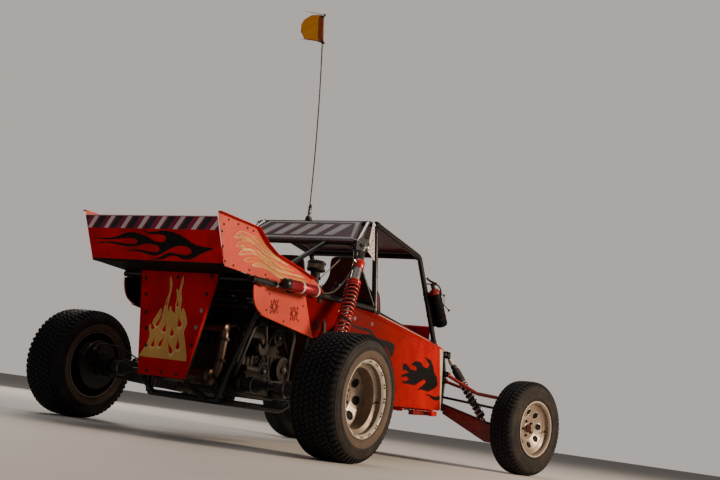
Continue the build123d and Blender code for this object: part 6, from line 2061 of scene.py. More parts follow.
# exhaust: headers, collector, down pipe and silencer
k = Kit()
for i, y in enumerate((-250, -150, -50, 50)):
    pts = smooth([P(-54, y, 660), P(-96, y, 664), P(-128, y - 6, 650), P(-152, y * 0.86 - 20, 636), P(-166, y * 0.74 - 40, 628)], 6)
    k.add(sweep(pts, 0.019, 18), 0)
    k.add(plate([(-0.030, -0.026), (0.030, -0.026), (0.034, 0.0), (0.030, 0.026), (-0.030, 0.026), (-0.034, 0)], P(-62, y, 660), (0, 1, 0), (0, 0, 1), 0.007, (), True), 1)
    for s in (-1, 1):
        bolt(k, P(-66, y + s * 24, 660 + s * 14), (-1, 0, 0), 0.006, 0.005, 2)
k.add(sweep([P(-165, 80, 632), P(-165, 76, 632), P(-165, -276, 632), P(-165, -280, 632)], [0.018, 0.026, 0.026, 0.018], 24), 0)
k.add(sweep(smooth([P(-165, -240, 630), P(-166, -262, 596), P(-168, -264, 540), P(-172, -263, 450), P(-178, -262, 392), P(-200, -258, 356)], 8), 0.0245, 22), 0)
for q, d in (((-167, -264, 560), (0, 0, 1)), ((-172, -263, 440), (0, 0, 1))):
    k.add(lathe([(0.0245, 0), (0.036, 0), (0.036, 0.007), (0.0245, 0.007)], P(*q), d, 28), 1)
    k.add(lathe([(0.0245, 0.009), (0.036, 0.009), (0.036, 0.016), (0.0245, 0.016)], P(*q), d, 28), 1)
k.add(lathe([(0, 0), (0.030, 0.0), (0.044, 0.006), (0.048, 0.016), (0.048, 0.396), (0.044, 0.406), (0.030, 0.412), (0, 0.412)],
            P(-205, -262, 350), (0, 1, 0), 40), 0)
for f in (0.03, 0.38):
    k.add(lathe([(0.0478, f), (0.050, f + 0.001), (0.050, f + 0.016), (0.0478, f + 0.017)], P(-205, -262, 350), (0, 1, 0), 40), 1)
k.make("exhaust_pipes", [PIPE, IRON, DARK_STEEL], replaces=["exhaust"], slot="hot_steel")

# mushroom air cleaner with a domed lid, pleats and a wing nut
k = Kit()
o, z = P(700, -222, 1140), (0, 0, 1)
k.add(lathe([(0, -0.004), (0.034, -0.004), (0.058, 0.002), (0.062, 0.008), (0.062, 0.016), (0.055, 0.018)], o, z, 44), 0)
pleat = [arr(o) + arr((math.cos(a), math.sin(a), 0)) * (0.0545 if i % 2 else 0.0500) for i, a in enumerate(np.arange(120) * TAU / 120)]
lowp, topp = [q + arr((0, 0, 0.017)) for q in pleat], [q + arr((0, 0, 0.050)) for q in pleat]
n = len(pleat)
k.add((lowp + topp, [(i, (i + 1) % n, n + (i + 1) % n, n + i) for i in range(n)]), 1)
k.add(lathe([(0.055, 0.049), (0.0625, 0.050), (0.0635, 0.056), (0.0600, 0.063), (0.046, 0.071), (0.020, 0.074), (0, 0.0745)], o, z, 44), 0)
k.add(sweep([arr(o) + arr((0, 0, 0.074)), arr(o) + arr((0, 0, 0.082))], 0.004, 10), 2)
k.add(block(arr(o) + arr((0, 0, 0.080)), (1, 0, 0), (0, 0, 1), (0.026, 0.009, 0.004), 0.001), 2)
k.add(sweep([P(700, -222, 1142), P(700, -222, 1080), P(700, -222, 1010), P(700, -222, 998)], [0.033, 0.031, 0.032, 0.030], 26), 3)
duct = smooth([P(702, -222, 1030), P(690, -222, 985), P(640, -212, 944), P(500, -184, 880), P(400, -165, 830), P(330, -150, 800)], 9)
nd = len(duct)
k.add(sweep(duct, [0.030 + 0.0016 * (1 if i % 2 else -1) for i in range(nd)], 22), 3)
for f in (0.04, 0.93):
    i = int(f * (nd - 1))
    k.add(lathe([(0.031, 0), (0.0335, 0.001), (0.0335, 0.010), (0.031, 0.011)], duct[i], duct[i + 1] - duct[i], 26), 2)
for a in (0.5, 2.6, 4.7):
    c = arr(o) + arr((math.cos(a), math.sin(a), 0)) * 0.0632
    k.add(block(c + arr((0, 0, 0.034)), (math.cos(a + TAU / 4), math.sin(a + TAU / 4), 0), (0, 0, 1), (0.010, 0.052, 0.003), 0.001), 2)
k.make("mushroom_air_cleaner", [DARK_STEEL, FILTER_MEDIA, CHROME, HOSE], replaces=["air_cleaner"], slot="black_plastic")

# small clips on the rails, and wiring looms
k = Kit()
for s in SIDES:
    for x in (-100, 100, 300):
        c = P(x, s * 512, 908 + (x + 100) * 0.056)
        k.add(lathe([(0.0192, -0.006), (0.0212, -0.005), (0.0212, 0.005), (0.0192, 0.006)], c, (1, 0, 0.056), 20), 0)
loom = smooth([P(-330, -492, 900), P(-200, -488, 908), P(-40, -486, 912), P(140, -488, 922), P(330, -486, 938), P(520, -500, 944), P(760, -520, 950)], 8)
k.add(sweep(loom, 0.0056, 8), 1)
loom = smooth([P(-318, -60, 880), P(-200, -80, 884), P(-60, -90, 886), P(60, -60, 860), P(160, -20, 840)], 7)
k.add(sweep(loom, 0.0070, 8), 1)
k.make("loom_and_clips", [CHROME, HOSE])

# ------------------------------------------------------------ seats
SEAT_Y = 235


def cushion_mesh(name, cx, cy, cz, w, h, t, plane, crown, channels, mats, body="chassis"):
    """Crowned pad: closed rounded form in a local frame, sides drawn in between corners."""
    u, v, n = plane
    nu, nv = 26, 30
    vs = []
    idx = {}

    def outline(a, b):
        # rounded-rectangle squeeze with gently drawn-in sides
        pull_u = 1 - 0.035 * math.cos(b * math.pi / 2) ** 2
        pull_v = 1 - 0.025 * math.cos(a * math.pi / 2) ** 2
        r = 0.30
        x, y = a, b
        ax, ay = abs(a), abs(b)
        if ax > 1 - r and ay > 1 - r:
            dx, dy = (ax - 1 + r) / r, (ay - 1 + r) / r
            m = max(dx, dy)
            L = math.hypot(dx, dy)
            k2 = m / L if L > 0 else 1
            x = math.copysign(1 - r + dx * k2 * r, a)
            y = math.copysign(1 - r + dy * k2 * r, b)
        return x * pull_u * w / 2, y * pull_v * h / 2

    o = arr((cx, cy, cz))
    for side in (1, -1):
        for j in range(nv + 1):
            for i in range(nu + 1):
                a, b = -1 + 2 * i / nu, -1 + 2 * j / nv
                x, y = outline(a, b)
                edge = max(abs(a), abs(b))
                e = 1 - edge ** 6
                bulge = (0.5 + 0.5 * (1 - abs(a) ** 2.4) * (1 - abs(b) ** 2.4) * crown) * max(0, e) ** 0.38
                groove = 0.0
                if side > 0:
                    for kind, pos, wid in channels:
                        q = (a if kind == "u" else b) - pos
                        groove += math.exp(-(q / wid) ** 2) * 0.16
                hgt = t * (bulge - groove * min(1, e * 3))
                vs.append(o + u * x + v * y + n * hgt * side)
    m = (nu + 1) * (nv + 1)
    fs = []
    for s_i in (0, 1):
        for j in range(nv):
            for i in range(nu):
                a = s_i * m + j * (nu + 1) + i
                q = (a, a + 1, a + nu + 2, a + nu + 1)
                fs.append(q if s_i == 0 else q[::-1])
    ring = [i for i in range(nu + 1)] + [(nu + 1) * j + nu for j in range(1, nv + 1)] + \
           [(nu + 1) * nv + i for i in range(nu - 1, -1, -1)] + [(nu + 1) * j for j in range(nv - 1, 0, -1)]
    for a, b in zip(ring, ring[1:] + ring[:1]):
        fs.append((a + m, b + m, b, a))
    me = bpy.data.meshes.new(name)
    me.from_pydata([tuple(q) for q in vs], [], fs)
    for mt in mats:
        me.materials.append(mt)
    me.polygons.foreach_set("use_smooth", [True] * len(fs))
    if len(mats) > 1:
        for p in me.polygons:
            c = p.center
            x = float((arr(c) - o) @ u)
            p.material_index = 1 if abs(x) < w * 0.27 else 0
    me.update()
    bm = bmesh.new()
    bm.from_mesh(me)
    bmesh.ops.remove_doubles(bm, verts=bm.verts, dist=0.00001)
    bmesh.ops.recalc_face_normals(bm, faces=bm.faces)
    bm.to_mesh(me)
    bm.free()
    ob = bpy.data.objects.new(name, me)
    bpy.context.scene.collection.objects.link(ob)
    sub = ob.modifiers.new("round", "SUBSURF")
    sub.levels = sub.render_levels = 1
    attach(ob, body)
    return ob


LEAN = math.radians(17)
for side, s in (("right", -1), ("left", 1)):
    by = s * SEAT_Y
    bu = arr((0, 1, 0))
    bv = arr((-math.sin(LEAN), 0, math.cos(LEAN)))
    bn = arr((math.cos(LEAN), 0, math.sin(LEAN)))
    foot = arr(P(1268, by, 452))
    at_back = lambda a, b, c: foot + bu * a / 1000 + bv * b / 1000 + bn * c / 1000
    # shell behind the pads
    k = Kit()
    shell = [(-213, 4), (213, 4), (214, 300), (212, 600), (196, 664), (156, 712), (124, 770), (116, 846), (100, 876), (60, 884),
             (-60, 884), (-100, 876), (-116, 846), (-124, 770), (-156, 712), (-196, 664), (-212, 600), (-214, 300)]
    slots = []
    for sx in (-1, 1):
        slots.append([(sx * 60 + 26 * c, 700 + 11 * d) for c, d in ((-1, -1), (1, -1), (1, 1), (-1, 1))])
    k.add(plate(p2(shell), at_back(0, 0, 3), bu, bv, 0.006, [p2(q) for q in slots]), 0)
    rim = smooth([at_back(a, b, 10) for a, b in shell], 3, True)
    k.add(sweep(rim, 0.0085, 12, closed=True), 1)
    # side wings of the shell
    for sx in (-1, 1):
        wing = [(66, 8), (96, 8), (100, 300), (97, 560), (84, 636), (66, 668)]
        a = at_back(sx * 214, 0, 0)
        k.add(plate([(c / 1000, b / 1000) for c, b in [(6, 8)] + wing[1:5] + [(6, 690)]], a, bn, bv, 0.004, (), True), 0)
        edge = smooth([at_back(sx * 214, b, c) for c, b in wing[1:5]] + [at_back(sx * 214, 684, 40)], 4)
        k.add(sweep(edge, 0.0065, 10), 1)
    base_o = arr(P(1262, by, 400))
    su = unit((1, 0, 0.10))
    sn = unit((-0.10, 0, 1))
    k.add(block(base_o + su * 0.235 + sn * 0.020, su, (0, 1, 0), (0.465, 0.425, 0.040), 0.012), 0)
    for sx in (-1, 1):
        a = base_o + arr((0, sx * 0.213, 0))
        k.add(plate([(0.0, 0.0), (0.455, 0.0), (0.462, 0.10), (0.43, 0.155), (0.10, 0.182), (0.0, 0.19)], a, su, sn, 0.004, (), True), 0)
        k.add(sweep(smooth([a + su * x + sn * y for x, y in ((0.462, 0.09), (0.43, 0.155), (0.26, 0.168), (0.10, 0.182), (0.02, 0.188))], 4), 0.0065, 10), 1)
        # mounting rail under the seat
        k.add(block(base_o + su * 0.235 + arr((0, sx * 0.15, 0)) - sn * 0.016, su, (0, 1, 0), (0.42, 0.030, 0.026), 0.004), 2)
    k.make(f"seat_shell_{side}", [SEAT_VINYL, SEAT_BLACK, BLACK_TUBE], replaces=["seats"] if s < 0 else (), slot="seat_cloth")
    ch = [("v", q, 0.022) for q in (-0.66, -0.33, 0.0, 0.33, 0.66)]
    pads = [
        ("back", at_back(0, 340, 36), 300, 560, 36, (bu, bv, bn), 0.9, ch, [SEAT_VINYL, SEAT_BLACK]),
        ("head", at_back(0, 782, 34), 200, 170, 34, (bu, bv, bn), 0.9, [("v", 0.0, 0.05)], [SEAT_VINYL]),
        ("wing_a", at_back(-184, 372, 60), 76, 560, 32, (unit(bn * 0.86 + bu * -0.5), bv, unit(bn * 0.5 + bu * 0.86)), 0.7, [], [SEAT_VINYL]),
        ("wing_b", at_back(184, 372, 60), 76, 560, 32, (unit(bn * -0.86 + bu * -0.5), bv, unit(bn * 0.5 - bu * 0.86)), 0.7, [], [SEAT_VINYL]),
        ("base", base_o + su * 0.245 + sn * 0.072, 440, 300, 40, (su, arr((0, 1, 0)), sn), 0.9, [("u", q, 0.03) for q in (-0.5, -0.1, 0.3)], [SEAT_VINYL]),
        ("bolster_a", base_o + su * 0.235 + sn * 0.118 + arr((0, -0.180, 0)), 410, 60, 48, (su, arr((0, 1, 0)), sn), 0.7, [], [SEAT_VINYL]),
        ("bolster_b", base_o + su * 0.235 + sn * 0.118 + arr((0, 0.180, 0)), 410, 60, 48, (su, arr((0, 1, 0)), sn), 0.7, [], [SEAT_VINYL]),
    ]
    for name, at_p, w, h, t, plane, crown, chans, mats in pads:
        ob = cushion_mesh(f"seat_{side}_{name}", *at_p, w / 1000, h / 1000, t / 1000, plane, crown, chans, mats)
    # piped seams and harness
    k = Kit()
    for sx in (-1, 1):
        k.add(sweep([at_back(sx * 148, b, 52) for b in np.linspace(80, 610, 14)], 0.0032, 8), 0)
    for sx in (-1, 1):
        strap = [at_back(sx * 62, 706, -6), at_back(sx * 62, 708, 20), at_back(sx * 64, 690, 74), at_back(sx * 66, 600, 82), at_back(sx * 64, 420, 86),
                 at_back(sx * 56, 230, 92), at_back(sx * 36, 120, 100), at_back(sx * 12, 78, 112)]
        strap = smooth(strap, 6)
        vs, fs = [], []
        for q in strap:
            q = arr(q)
            for dy, dn in ((-0.022, 0), (0.022, 0), (0.022, 0.0024), (-0.022, 0.0024)):
                vs.append(q + bu * dy + bn * dn)
        for i in range(len(strap) - 1):
            fs += [(i * 4 + a, i * 4 + (a + 1) % 4, i * 4 + 4 + (a + 1) % 4, i * 4 + 4 + a) for a in range(4)]
        fs += [(0, 3, 2, 1), tuple(len(vs) - 4 + a for a in range(4))]
        k.add((vs, [f[::-1] for f in fs]), 1)
        # back to the harness bar
        tail = [at_back(sx * 62, 706, -4), arr(P(985, by + sx * 62, 1012))]
        k.add(slab([(-0.022, 0), (0.022, 0), (0.022, float(np.linalg.norm(tail[1] - tail[0]))), (-0.022, float(np.linalg.norm(tail[1] - tail[0])))],
                   tail[0], bu, tail[1] - tail[0], 0.0024, 0.0006), 1)
        lap = [at_back(sx * 190, 96, 60), at_back(sx * 150, 92, 108), at_back(sx * 80, 84, 124), at_back(sx * 16, 76, 126)]
        lap = smooth(lap, 5)
        vs, fs = [], []
        for q in lap:
            for dv_, dn in ((-0.022, 0), (0.022, 0), (0.022, 0.0024), (-0.022, 0.0024)):
                vs.append(arr(q) + bv * dv_ + bn * dn)
        for i in range(len(lap) - 1):
            fs += [(i * 4 + a, i * 4 + (a + 1) % 4, i * 4 + 4 + (a + 1) % 4, i * 4 + 4 + a) for a in range(4)]
        k.add((vs, fs if sx > 0 else [f[::-1] for f in fs]), 1)
        k.add(block(at_back(sx * 65, 560, 90), bu, bv, (0.052, 0.034, 0.008), 0.002), 2)
    k.add(lathe([(0, 0), (0.026, 0), (0.028, 0.004), (0.028, 0.012), (0.022, 0.016), (0.010, 0.017), (0, 0.017)], at_back(0, 76, 118), bn, 28), 2)
    k.make(f"harness_{side}", [SEAT_BLACK, BELT_WEB, STEEL], sharp=60)

# ------------------------------------------------------------ radiator ahead of the engine
k = Kit()
RY0, RY1, RZ0, RZ1 = -118, 408, 560, 972
RC = arr(P(462, (RY0 + RY1) / 2, (RZ0 + RZ1) / 2))
# dull black core and tubes: partly the radiator's paint, partly painted shade filling the dark engine bay
k.add(block(RC, (1, 0, 0), (0, 1, 0), (0.026, 0.448, 0.398), 0.002), 0)
for face in (-1, 1):
    for z in range(RZ0 + 22, RZ1 - 14, 15):
        k.add(block(P(462 + face * 14, (RY0 + RY1) / 2, z), (1, 0, 0), (0, 1, 0), (0.006, 0.446, 0.0042), 0.001), 1)
    for y in range(RY0 + 50, RY1 - 44, 9):
        k.add(slab([(-0.0006, -0.194), (0.0006, -0.194), (0.0006, 0.194), (-0.0006, 0.194)], P(462 + face * 15.5, y, (RZ0 + RZ1) / 2), (0, 1, 0), (0, 0, 1), 0.0016), 0)
# header tanks with cast ribs, filler cap and drain
for y in (RY0 + 22, RY1 - 22):
    k.add(block(P(462, y, (RZ0 + RZ1) / 2), (1, 0, 0), (0, 1, 0), (0.044, 0.042, 0.410), 0.010), 2)
    for z in range(RZ0 + 34, RZ1 - 20, 38):
        k.add(block(P(462, y, z), (1, 0, 0), (0, 1, 0), (0.0475, 0.0455, 0.006), 0.002), 2)
    for z in (RZ0 + 60, RZ1 - 60):
        k.add(block(P(462, y, z), (1, 0, 0), (0, 1, 0), (0.090, 0.020, 0.026), 0.004), 4)
k.add(lathe([(0, 0), (0.017, 0), (0.017, 0.012), (0.024, 0.013), (0.025, 0.021), (0.020, 0.024), (0, 0.025)], P(462, RY1 - 22, RZ1 - 3), (0, 0, 1), 28), 4)
# fan shroud, guard rings, blades and motor on the front face
k.add(lathe([(0.184, 0.0), (0.196, 0.0), (0.196, 0.034), (0.190, 0.036), (0.184, 0.034)], P(478, 145, 766), (1, 0, 0), 72, loop=True), 2)
for r in (0.070, 0.115, 0.158):
    k.add(lathe([(r - 0.0016, 0.030), (r + 0.0016, 0.030), (r + 0.0016, 0.033), (r - 0.0016, 0.033)], P(478, 145, 766), (1, 0, 0), 56, loop=True), 2)
for i in range(8):
    a = i * TAU / 8
    rad, tan = arr((0, math.cos(a), math.sin(a))), arr((0, -math.sin(a), math.cos(a)))
    c = arr(P(478, 145, 766))
    if i % 2:
        k.add(sweep([c + rad * 0.040 + arr((0.031, 0, 0)), c + rad * 0.186 + arr((0.031, 0, 0))], 0.0030, 8), 2)
    twist = unit(tan + arr((0.42, 0, 0)))
    k.add(plate([(0.034, -0.016), (0.100, -0.026), (0.170, -0.036), (0.178, -0.006), (0.172, 0.026), (0.100, 0.020), (0.034, 0.014)],
                c + arr((0.015, 0, 0)), rad, twist, 0.0028, (), True), 3)
k.add(lathe([(0, 0.0), (0.040, 0.0), (0.042, 0.004), (0.042, 0.022), (0.034, 0.028), (0, 0.030)], P(478, 145, 766), (1, 0, 0), 40), 2)
# hoses and their clamps
for pts in ([P(446, -96, 930), P(408, -96, 932), P(350, -84, 900), P(300, -60, 850)],
            [P(446, 386, 600), P(400, 380, 596), P(330, 330, 590), P(280, 260, 600)]):
    k.add(sweep(smooth(pts, 6), 0.0185, 16), 5)
    d = unit(pts[1] - pts[0])
    k.add(lathe([(0.0186, 0.010), (0.0206, 0.011), (0.0206, 0.021), (0.0186, 0.022)], arr(pts[0]), d, 28), 4)
k.make("radiator_detail", [BLACK_DULL_AND_SHADE, DARK_STEEL, PLASTIC, PLASTIC, DARK_STEEL, HOSE], replaces=["radiator"], slot="black_sheet")

# ------------------------------------------------------------ controls
skin("steering_column", BLACK_TUBE)
skin("pedals", STEEL)
WC = arr(P(1690, 262, 900))
wt = math.radians(24)
wd = arr((math.cos(wt), 0, -math.sin(wt)))
wx, wy = arr((0, 1, 0)), np.cross(wd, (0, 1, 0))
k = Kit()
ring = []
for i in range(72):
    a = i * TAU / 72
    ring.append(WC + (wx * math.cos(a) + wy * math.sin(a)) * 0.165)
k.add(sweep(ring, [0.0138 if (i % 12) in (4, 5, 6, 7, 8) else 0.0130 for i in range(72)], 16, closed=True), 0)
for i in range(24):
    a = i * TAU / 24
    c = WC + (wx * math.cos(a) + wy * math.sin(a)) * 0.165
    rad = wx * math.cos(a) + wy * math.sin(a)
    k.add(sweep([c - rad * 0.0128 - wd * 0.004, c - rad * 0.0138, c - rad * 0.0128 + wd * 0.004], 0.0014, 6), 1)
for j in range(3):
    a = math.radians(90 + 120 * j)
    rad, tan = wx * math.cos(a) + wy * math.sin(a), wy * math.cos(a) - wx * math.sin(a)
    outl = [(0.028, -0.017), (0.155, -0.012), (0.155, 0.012), (0.028, 0.017)]
    holes = [disc_points(r, 16, (x, 0)) for x, r in ((0.066, 0.0085), (0.094, 0.0072), (0.120, 0.0060))]
    k.add(plate(outl, WC, rad, tan, 0.005, holes, True), 2)
k.add(lathe([(0, -0.014), (0.028, -0.014), (0.033, -0.010), (0.034, 0.008), (0.030, 0.013), (0, 0.013)], WC, wd, 36), 2)
k.add(lathe([(0, -0.020), (0.014, -0.019), (0.018, -0.014)], WC, wd, 28), 3)
for i in range(6):
    a = i * TAU / 6
    button(k, WC - wd * 0.0142 + (wx * math.cos(a) + wy * math.sin(a)) * 0.025, -wd, 0.0034, 0.002, 2)
k.make("sport_steering_wheel", [GRIP, SEAT_VINYL, DARK_STEEL, PLASTIC], body="hand_wheel", replaces=["steering_wheel"], slot="wheel_grip")

k = Kit()
for y in (180, 262, 344):
    pn = unit((-0.85, 0, 0.5))
    o = arr(P(2055, y, 470)) + pn * 0.008
    pu, pv = arr((0, 1, 0)), np.cross(pn, (0, 1, 0))
    for i in range(-3, 4):
        k.add(block(o + pv * i * 0.0105 + pn * 0.0014, pu, pv, (0.052, 0.005, 0.003), 0.001), 0)
    hexagon(k, P(2088, y, 706), (0, 1, 0), 0.013, 0.014, 1)
# gear lever with gaiter and knob, and hand brake, between the seats
k.add(lathe([(0.045, 0), (0.040, 0.012), (0.030, 0.030), (0.018, 0.052), (0.010, 0.060)], P(1620, 0, 372), (0, 0, 1), 28), 2)
k.add(sweep(smooth([P(1620, 0, 400), P(1610, 0, 520), P(1588, 4, 640), P(1580, 6, 690)], 6), 0.0075, 12), 1)
k.add(lathe([(0, -0.024), (0.012, -0.022), (0.021, -0.008), (0.022, 0.004), (0.014, 0.018), (0, 0.022)], P(1579, 6, 706), (0, 0, 1), 24), 0)
k.add(sweep(smooth([P(1700, -60, 380), P(1640, -60, 420), P(1560, -60, 500), P(1520, -60, 560)], 6), 0.008, 12), 1)
k.add(sweep([P(1535, -60, 537), P(1505, -60, 585)], 0.014, 16), 0)
k.make("pedal_pads_and_levers", [PLASTIC, STEEL, HOSE])

# ------------------------------------------------------------ mast, flag, extinguisher, mirror arms
skin("whip_mast", MAST)
k = Kit()
k.add(lathe([(0, 0), (0.024, 0), (0.026, 0.004), (0.025, 0.012), (0.020, 0.024), (0.016, 0.026), (0, 0.026)], P(945, 72, 1547), (0, 0, 1), 32), 0)
# spring of the whip's foot
coil(k, P(945, 72, 1572), P(945, 72, 1640), 0.0115, 0.0024, 9, 1, 8, 18)
k.add(lathe([(0.008, 0), (0.014, 0.002), (0.014, 0.010), (0.010, 0.016), (0.006, 0.026), (0.0046, 0.030)], P(945, 72, 1636), (0.02, 0.05, 1), 24), 0)
for i in range(4):
    a = i * TAU / 4 + 0.4
    bolt(k, P(945 + 17 * math.cos(a), 72 + 17 * math.sin(a), 1570), (0, 0, 1), 0.003, 0.002, 1)
for z, x, y in ((2906, 982, 205), (3134, 985, 236.5)):
    k.add(lathe([(0.004, 0), (0.0075, 0.002), (0.0075, 0.014), (0.004, 0.016)], P(x, y, z), (0, 0.08, 1), 16), 2)
for pts in ([(984, 208, 2912), (981, 216, 2896), (980, 212, 2874), (978, 220, 2850)],
            [(984, 236, 3130), (982, 246, 3146), (980, 258, 3150)],
            [(984, 207, 2910), (986, 200, 2890), (984, 205, 2868)]):
    k.add(sweep(smooth([P(*q) for q in pts], 6), 0.0013, 6), 3)
k.make("whip_fittings", [DARK_STEEL, STEEL, HOSE, FLAME_CREAM])

# flag: a stitched pennant that ripples in the wind, tied to the mast by its hoist
FO2, FX2 = arr(P(984, 236, 2912)), unit((-0.12, 1, 0))
FZ2, FN2 = arr((0, 0, 1)), unit((1, 0.12, 0))
NU2, NV2 = 44, 34
FLY_B, FLY_X = (0.0, 0.22, 0.50, 0.80, 0.93, 1.0), (0.148, 0.187, 0.180, 0.189, 0.170, 0.128)
vs, fs = [], []
for j in range(NV2 + 1):
    for i in range(NU2 + 1):
        a, b = i / NU2, j / NV2
        # the hoist leans with the mast; the fly is cut ragged
        x0 = -0.0085 + 0.0305 * b
        x1 = float(np.interp(b, FLY_B, FLY_X))
        x = x0 + (x1 - x0) * a
        lo_z = float(np.interp(x, (-0.009, 0.146, 0.190), (0.014, 0.048, 0.088)))
        hi_z = float(np.interp(x, (0.022, 0.056, 0.118, 0.167, 0.190), (0.226, 0.234, 0.230, 0.212, 0.176)))
        ragged = 0.0016 * math.sin(j * 2.3) * (1 if i == NU2 else 0)
        z = lo_z + (hi_z - lo_z) * b
        w = 0.0044 * a ** 0.6 * math.sin(7.5 * a + 5.2 * b + 0.4) + 0.0022 * math.sin(15 * b + 3 * a) * a ** 0.5
        vs.append(FO2 + FX2 * (x + ragged) + FZ2 * z + FN2 * w)
for j in range(NV2):
    for i in range(NU2):
        q = j * (NU2 + 1) + i
        fs.append((q, q + 1, q + NU2 + 2, q + NU2 + 1))
me = bpy.data.meshes.new("flag_cloth")
me.from_pydata([tuple(q) for q in vs], [], fs)
me.materials.append(FLAG_CLOTH)
me.materials.append(FLAG_HOIST)
me.polygons.foreach_set("use_smooth", [True] * len(fs))
# the doubled hoist band is redder
me.polygons.foreach_set("material_index", [1 if i % NU2 < 8 else 0 for i in range(len(fs))])
me.update()
flag = bpy.data.objects.new("flag_cloth", me)
bpy.context.scene.collection.objects.link(flag)
sol = flag.modifiers.new("cloth thickness", "SOLIDIFY")
sol.thickness, sol.offset = 0.0008, 0
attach(flag, "chassis")
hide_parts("flag")
grid = [arr(q) for q in vs]
k = Kit()
edge = [grid[i] for i in range(NU2 + 1)] + [grid[(NU2 + 1) * j + NU2] for j in range(1, NV2 + 1)] + \
       [grid[(NU2 + 1) * NV2 + i] for i in range(NU2 - 1, -1, -1)] + [grid[(NU2 + 1) * j] for j in range(NV2 - 1, 0, -1)]
k.add(sweep(edge, 0.0012, 6, closed=True), 0)
hem_in = [grid[(NU2 + 1) * j + 8] for j in range(NV2 + 1)]
k.add(sweep(hem_in, 0.0008, 5), 1)
# hoist sleeve round the rod
sleeve = [arr(P(983.2 + 1.8 * t, 218.5 + 30.5 * t, 2926 + 200 * t)) for t in np.linspace(0, 1, 12)]
k.add(sweep(sleeve, [0.0075 + 0.0006 * math.sin(5 * i) for i in range(12)], 14), 0)
for t in (0.02, 0.97):
    a = arr(P(983.2 + 1.8 * t, 218.5 + 30.5 * t, 2926 + 200 * t))
    k.add(sweep([a + arr((0.0078 * math.cos(q), 0.0078 * math.sin(q), 0.001 * q)) for q in np.linspace(0, 11, 34)], 0.0012, 6), 1)
# thin battens slipping out of the hems
k.add(sweep([P(983, 254, 3143), P(978, 290, 3154), P(972, 345, 3168), P(963, 411, 3184)], [0.0026, 0.0025, 0.0020, 0.0008], 6), 2)
k.add(sweep([P(983.5, 232, 2922), P(978, 280, 2937), P(970, 350, 2949), P(962, 422, 2953)], [0.0026, 0.0024, 0.0020, 0.0009], 6), 2)
for z, y in ((2921, 217), (3128, 249)):
    k.add(block(P(984, y + 3, z), (1, 0, 0), (0, 1, 0), (0.018, 0.026, 0.012), 0.003), 2)
hem = k.make("flag_hem", [FLAG_HOIST, FLAME_BROWN, DARK_STEEL])

# fire extinguisher on the right front pillar
k = Kit()
lo_e, hi_e = arr(P(1974, -556, 1008)), arr(P(1799, -544, 1237))
de = unit(hi_e - lo_e)
LE = float(np.linalg.norm(hi_e - lo_e))
k.add(lathe([(0, 0.006), (0.032, 0.006), (0.035, 0.0), (0.043, 0.004), (0.047, 0.014), (0.047, LE - 0.020), (0.0455, LE - 0.014)], lo_e, de, 44), 0)
k.add(lathe([(0.0450, LE - 0.016), (0.0440, LE - 0.013), (0.039, LE - 0.002), (0.029, LE + 0.008), (0.018, LE + 0.016), (0.0145, LE + 0.020), (0, LE + 0.020)], lo_e, de, 44), 1)
ue, we = across(de, (-0.53, 0.85, 0.1))
neck = lo_e + de * (LE + 0.018)
k.add(lathe([(0.0145, 0), (0.0155, 0.002), (0.0155, 0.012), (0.012, 0.014), (0.012, 0.034), (0, 0.036)], neck, de, 24), 2)
k.add(block(neck + de * 0.030, ue, we, (0.030, 0.020, 0.022), 0.004), 2)
h0 = neck + de * 0.036
k.add(sweep(smooth([h0 - ue * 0.006, h0 + de * 0.004 + ue * 0.010, h0 + de * 0.008 + ue * 0.026, h0 + de * 0.012 + ue * 0.040], 5), 0.0050, 10), 6)
k.add(sweep(smooth([h0 - ue * 0.020 + de * 0.004, h0 + de * 0.016 - ue * 0.006, h0 + de * 0.034 + ue * 0.014, h0 + de * 0.058 + ue * 0.030], 5), 0.0082, 10), 6)
k.add(sweep([h0 - de * 0.004 - ue * 0.010, h0 + de * 0.010], 0.0095, 10), 6)
k.add(lathe([(0, -0.009)] + [(0.0095 * math.cos(t), 0.0095 * math.sin(t)) for t in np.linspace(-1.2, 1.2, 9)] + [(0, 0.0095)], h0 - ue * 0.026 + de * 0.002, de, 18), 6)
# long back plate against the pillar
bm_c = lo_e + de * LE * 0.47
bp_c = arr(P(1630, -478, 1453)) + (arr(P(2012, -498, 862)) - arr(P(1630, -478, 1453))) * ((1.453 - bm_c[2]) / (1.453 - 0.862))
bd = bp_c - bm_c
bd = unit(bd - de * (bd @ de))
k.add(block(bm_c + bd * 0.050, bd, de, (0.022, LE * 0.88, 0.034), 0.003), 5)
k.add(lathe([(0, -0.004), (0.012, -0.004), (0.013, 0.002), (0.012, 0.008), (0, 0.009)], neck + de * 0.020 + we * 0.014, we, 20), 3)
k.add(sweep(smooth([neck + de * 0.026 - ue * 0.012, neck + de * 0.024 - ue * 0.036, neck - de * 0.010 - ue * 0.050, neck - de * 0.060 - ue * 0.047], 6), 0.0055, 10), 4)
k.add(sweep([neck + de * 0.028 + ue * 0.006 - we * 0.010, neck + de * 0.028 + ue * 0.006 + we * 0.020], 0.0016, 6), 3)
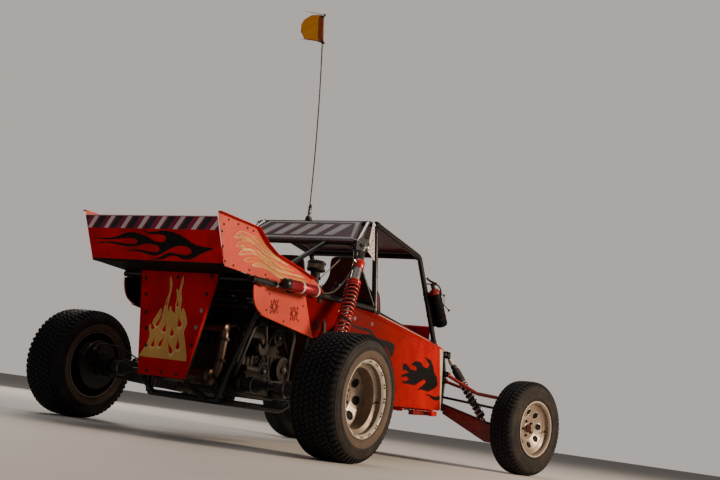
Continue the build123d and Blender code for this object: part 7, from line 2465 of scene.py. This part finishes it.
for f in (0.24, 0.74):
    c = lo_e + de * LE * f
    k.add(lathe([(0.0468, -0.009), (0.0482, -0.008), (0.0482, 0.008), (0.0468, 0.009)], c, de, 44), 5)
    pil = arr(P(1630, -478, 1453)) + (arr(P(2012, -498, 862)) - arr(P(1630, -478, 1453))) * ((1.453 - c[2]) / (1.453 - 0.862))
    dd = unit(pil - c)
    k.add(block(c + dd * 0.052, dd, de, (0.034, 0.022, 0.016), 0.003), 5)
    pd = unit(arr(P(2012, -498, 862)) - arr(P(1630, -478, 1453)))
    k.add(lathe([(0.0188, -0.010), (0.0212, -0.009), (0.0212, 0.009), (0.0188, 0.010)], pil, pd, 28), 3)
    hexagon(k, c + dd * 0.052 + np.cross(dd, de) * 0.008, np.cross(dd, de), 0.006, 0.005, 3)
k.make("pillar_extinguisher", [BOTTLE, BOTTLE_RED, DARK_STEEL, DARK_STEEL, BLACK_DULL_AND_SHADE, BLACK_DULL_AND_SHADE, LEVER_RED], replaces=["fire_extinguisher"], slot="bottle_black")

# ball-jointed mirror arm outside the pillar, and a clamp
k = Kit()
pts = [P(1960, -553, 1234), P(1960, -563, 1159), P(1960, -608, 1123)]
for s in SIDES:
    q = [Vector((p.x, s * abs(p.y), p.z)) for p in pts]
    for c in q:
        c = arr(c)
        br = 0.0060 if abs(c[2] - 1.159) < 0.002 else 0.0095
        k.add(lathe([(0, -br)] + [(br * math.cos(t), br * math.sin(t)) for t in np.linspace(-1.2, 1.2, 9)] + [(0, br)], c, (0, 0, 1), 18), 0)
    k.add(sweep([q[0], q[1]], 0.0030, 10), 0)
    k.add(sweep([q[1], q[2]], 0.0034, 10), 0)
    k.add(sweep(smooth([P(1788, s * 486, 1208), P(1850, s * 520, 1222), P(1930, s * 548, 1232), P(1960, s * 553, 1234)], 5), 0.0042, 10), 0)
    k.add(lathe([(0.0188, -0.011), (0.0216, -0.010), (0.0216, 0.010), (0.0188, 0.011)], P(1788, s * 486.4, 1208.5), (382, s * 20, -591), 28), 0)
k.make("mirror_arms", [DARK_STEEL, STEEL])


# thin bright stay behind the cage
k = Kit()
k.add(sweep([P(640, -303, 1083), P(640, -441, 1218)], 0.0034, 10), 0)
for q in (P(640, -303, 1083), P(640, -441, 1218)):
    k.add(block(q, (0, 1, 0), (0, 0, 1), (0.014, 0.020, 0.008), 0.002), 1)
k.make("engine_stay", [PALE_METAL, DARK_STEEL])


# ------------------------------------------------------------ floor and end
fm = bpy.data.meshes.new("studio_floor")
fm.from_pydata([(-60, -60, 0), (60, -60, 0), (60, 60, 0), (-60, 60, 0)], [], [(0, 1, 2, 3)])
fm.materials.append(floor_material())
floor = bpy.data.objects.new("studio_floor", fm)
bpy.context.scene.collection.objects.link(floor)
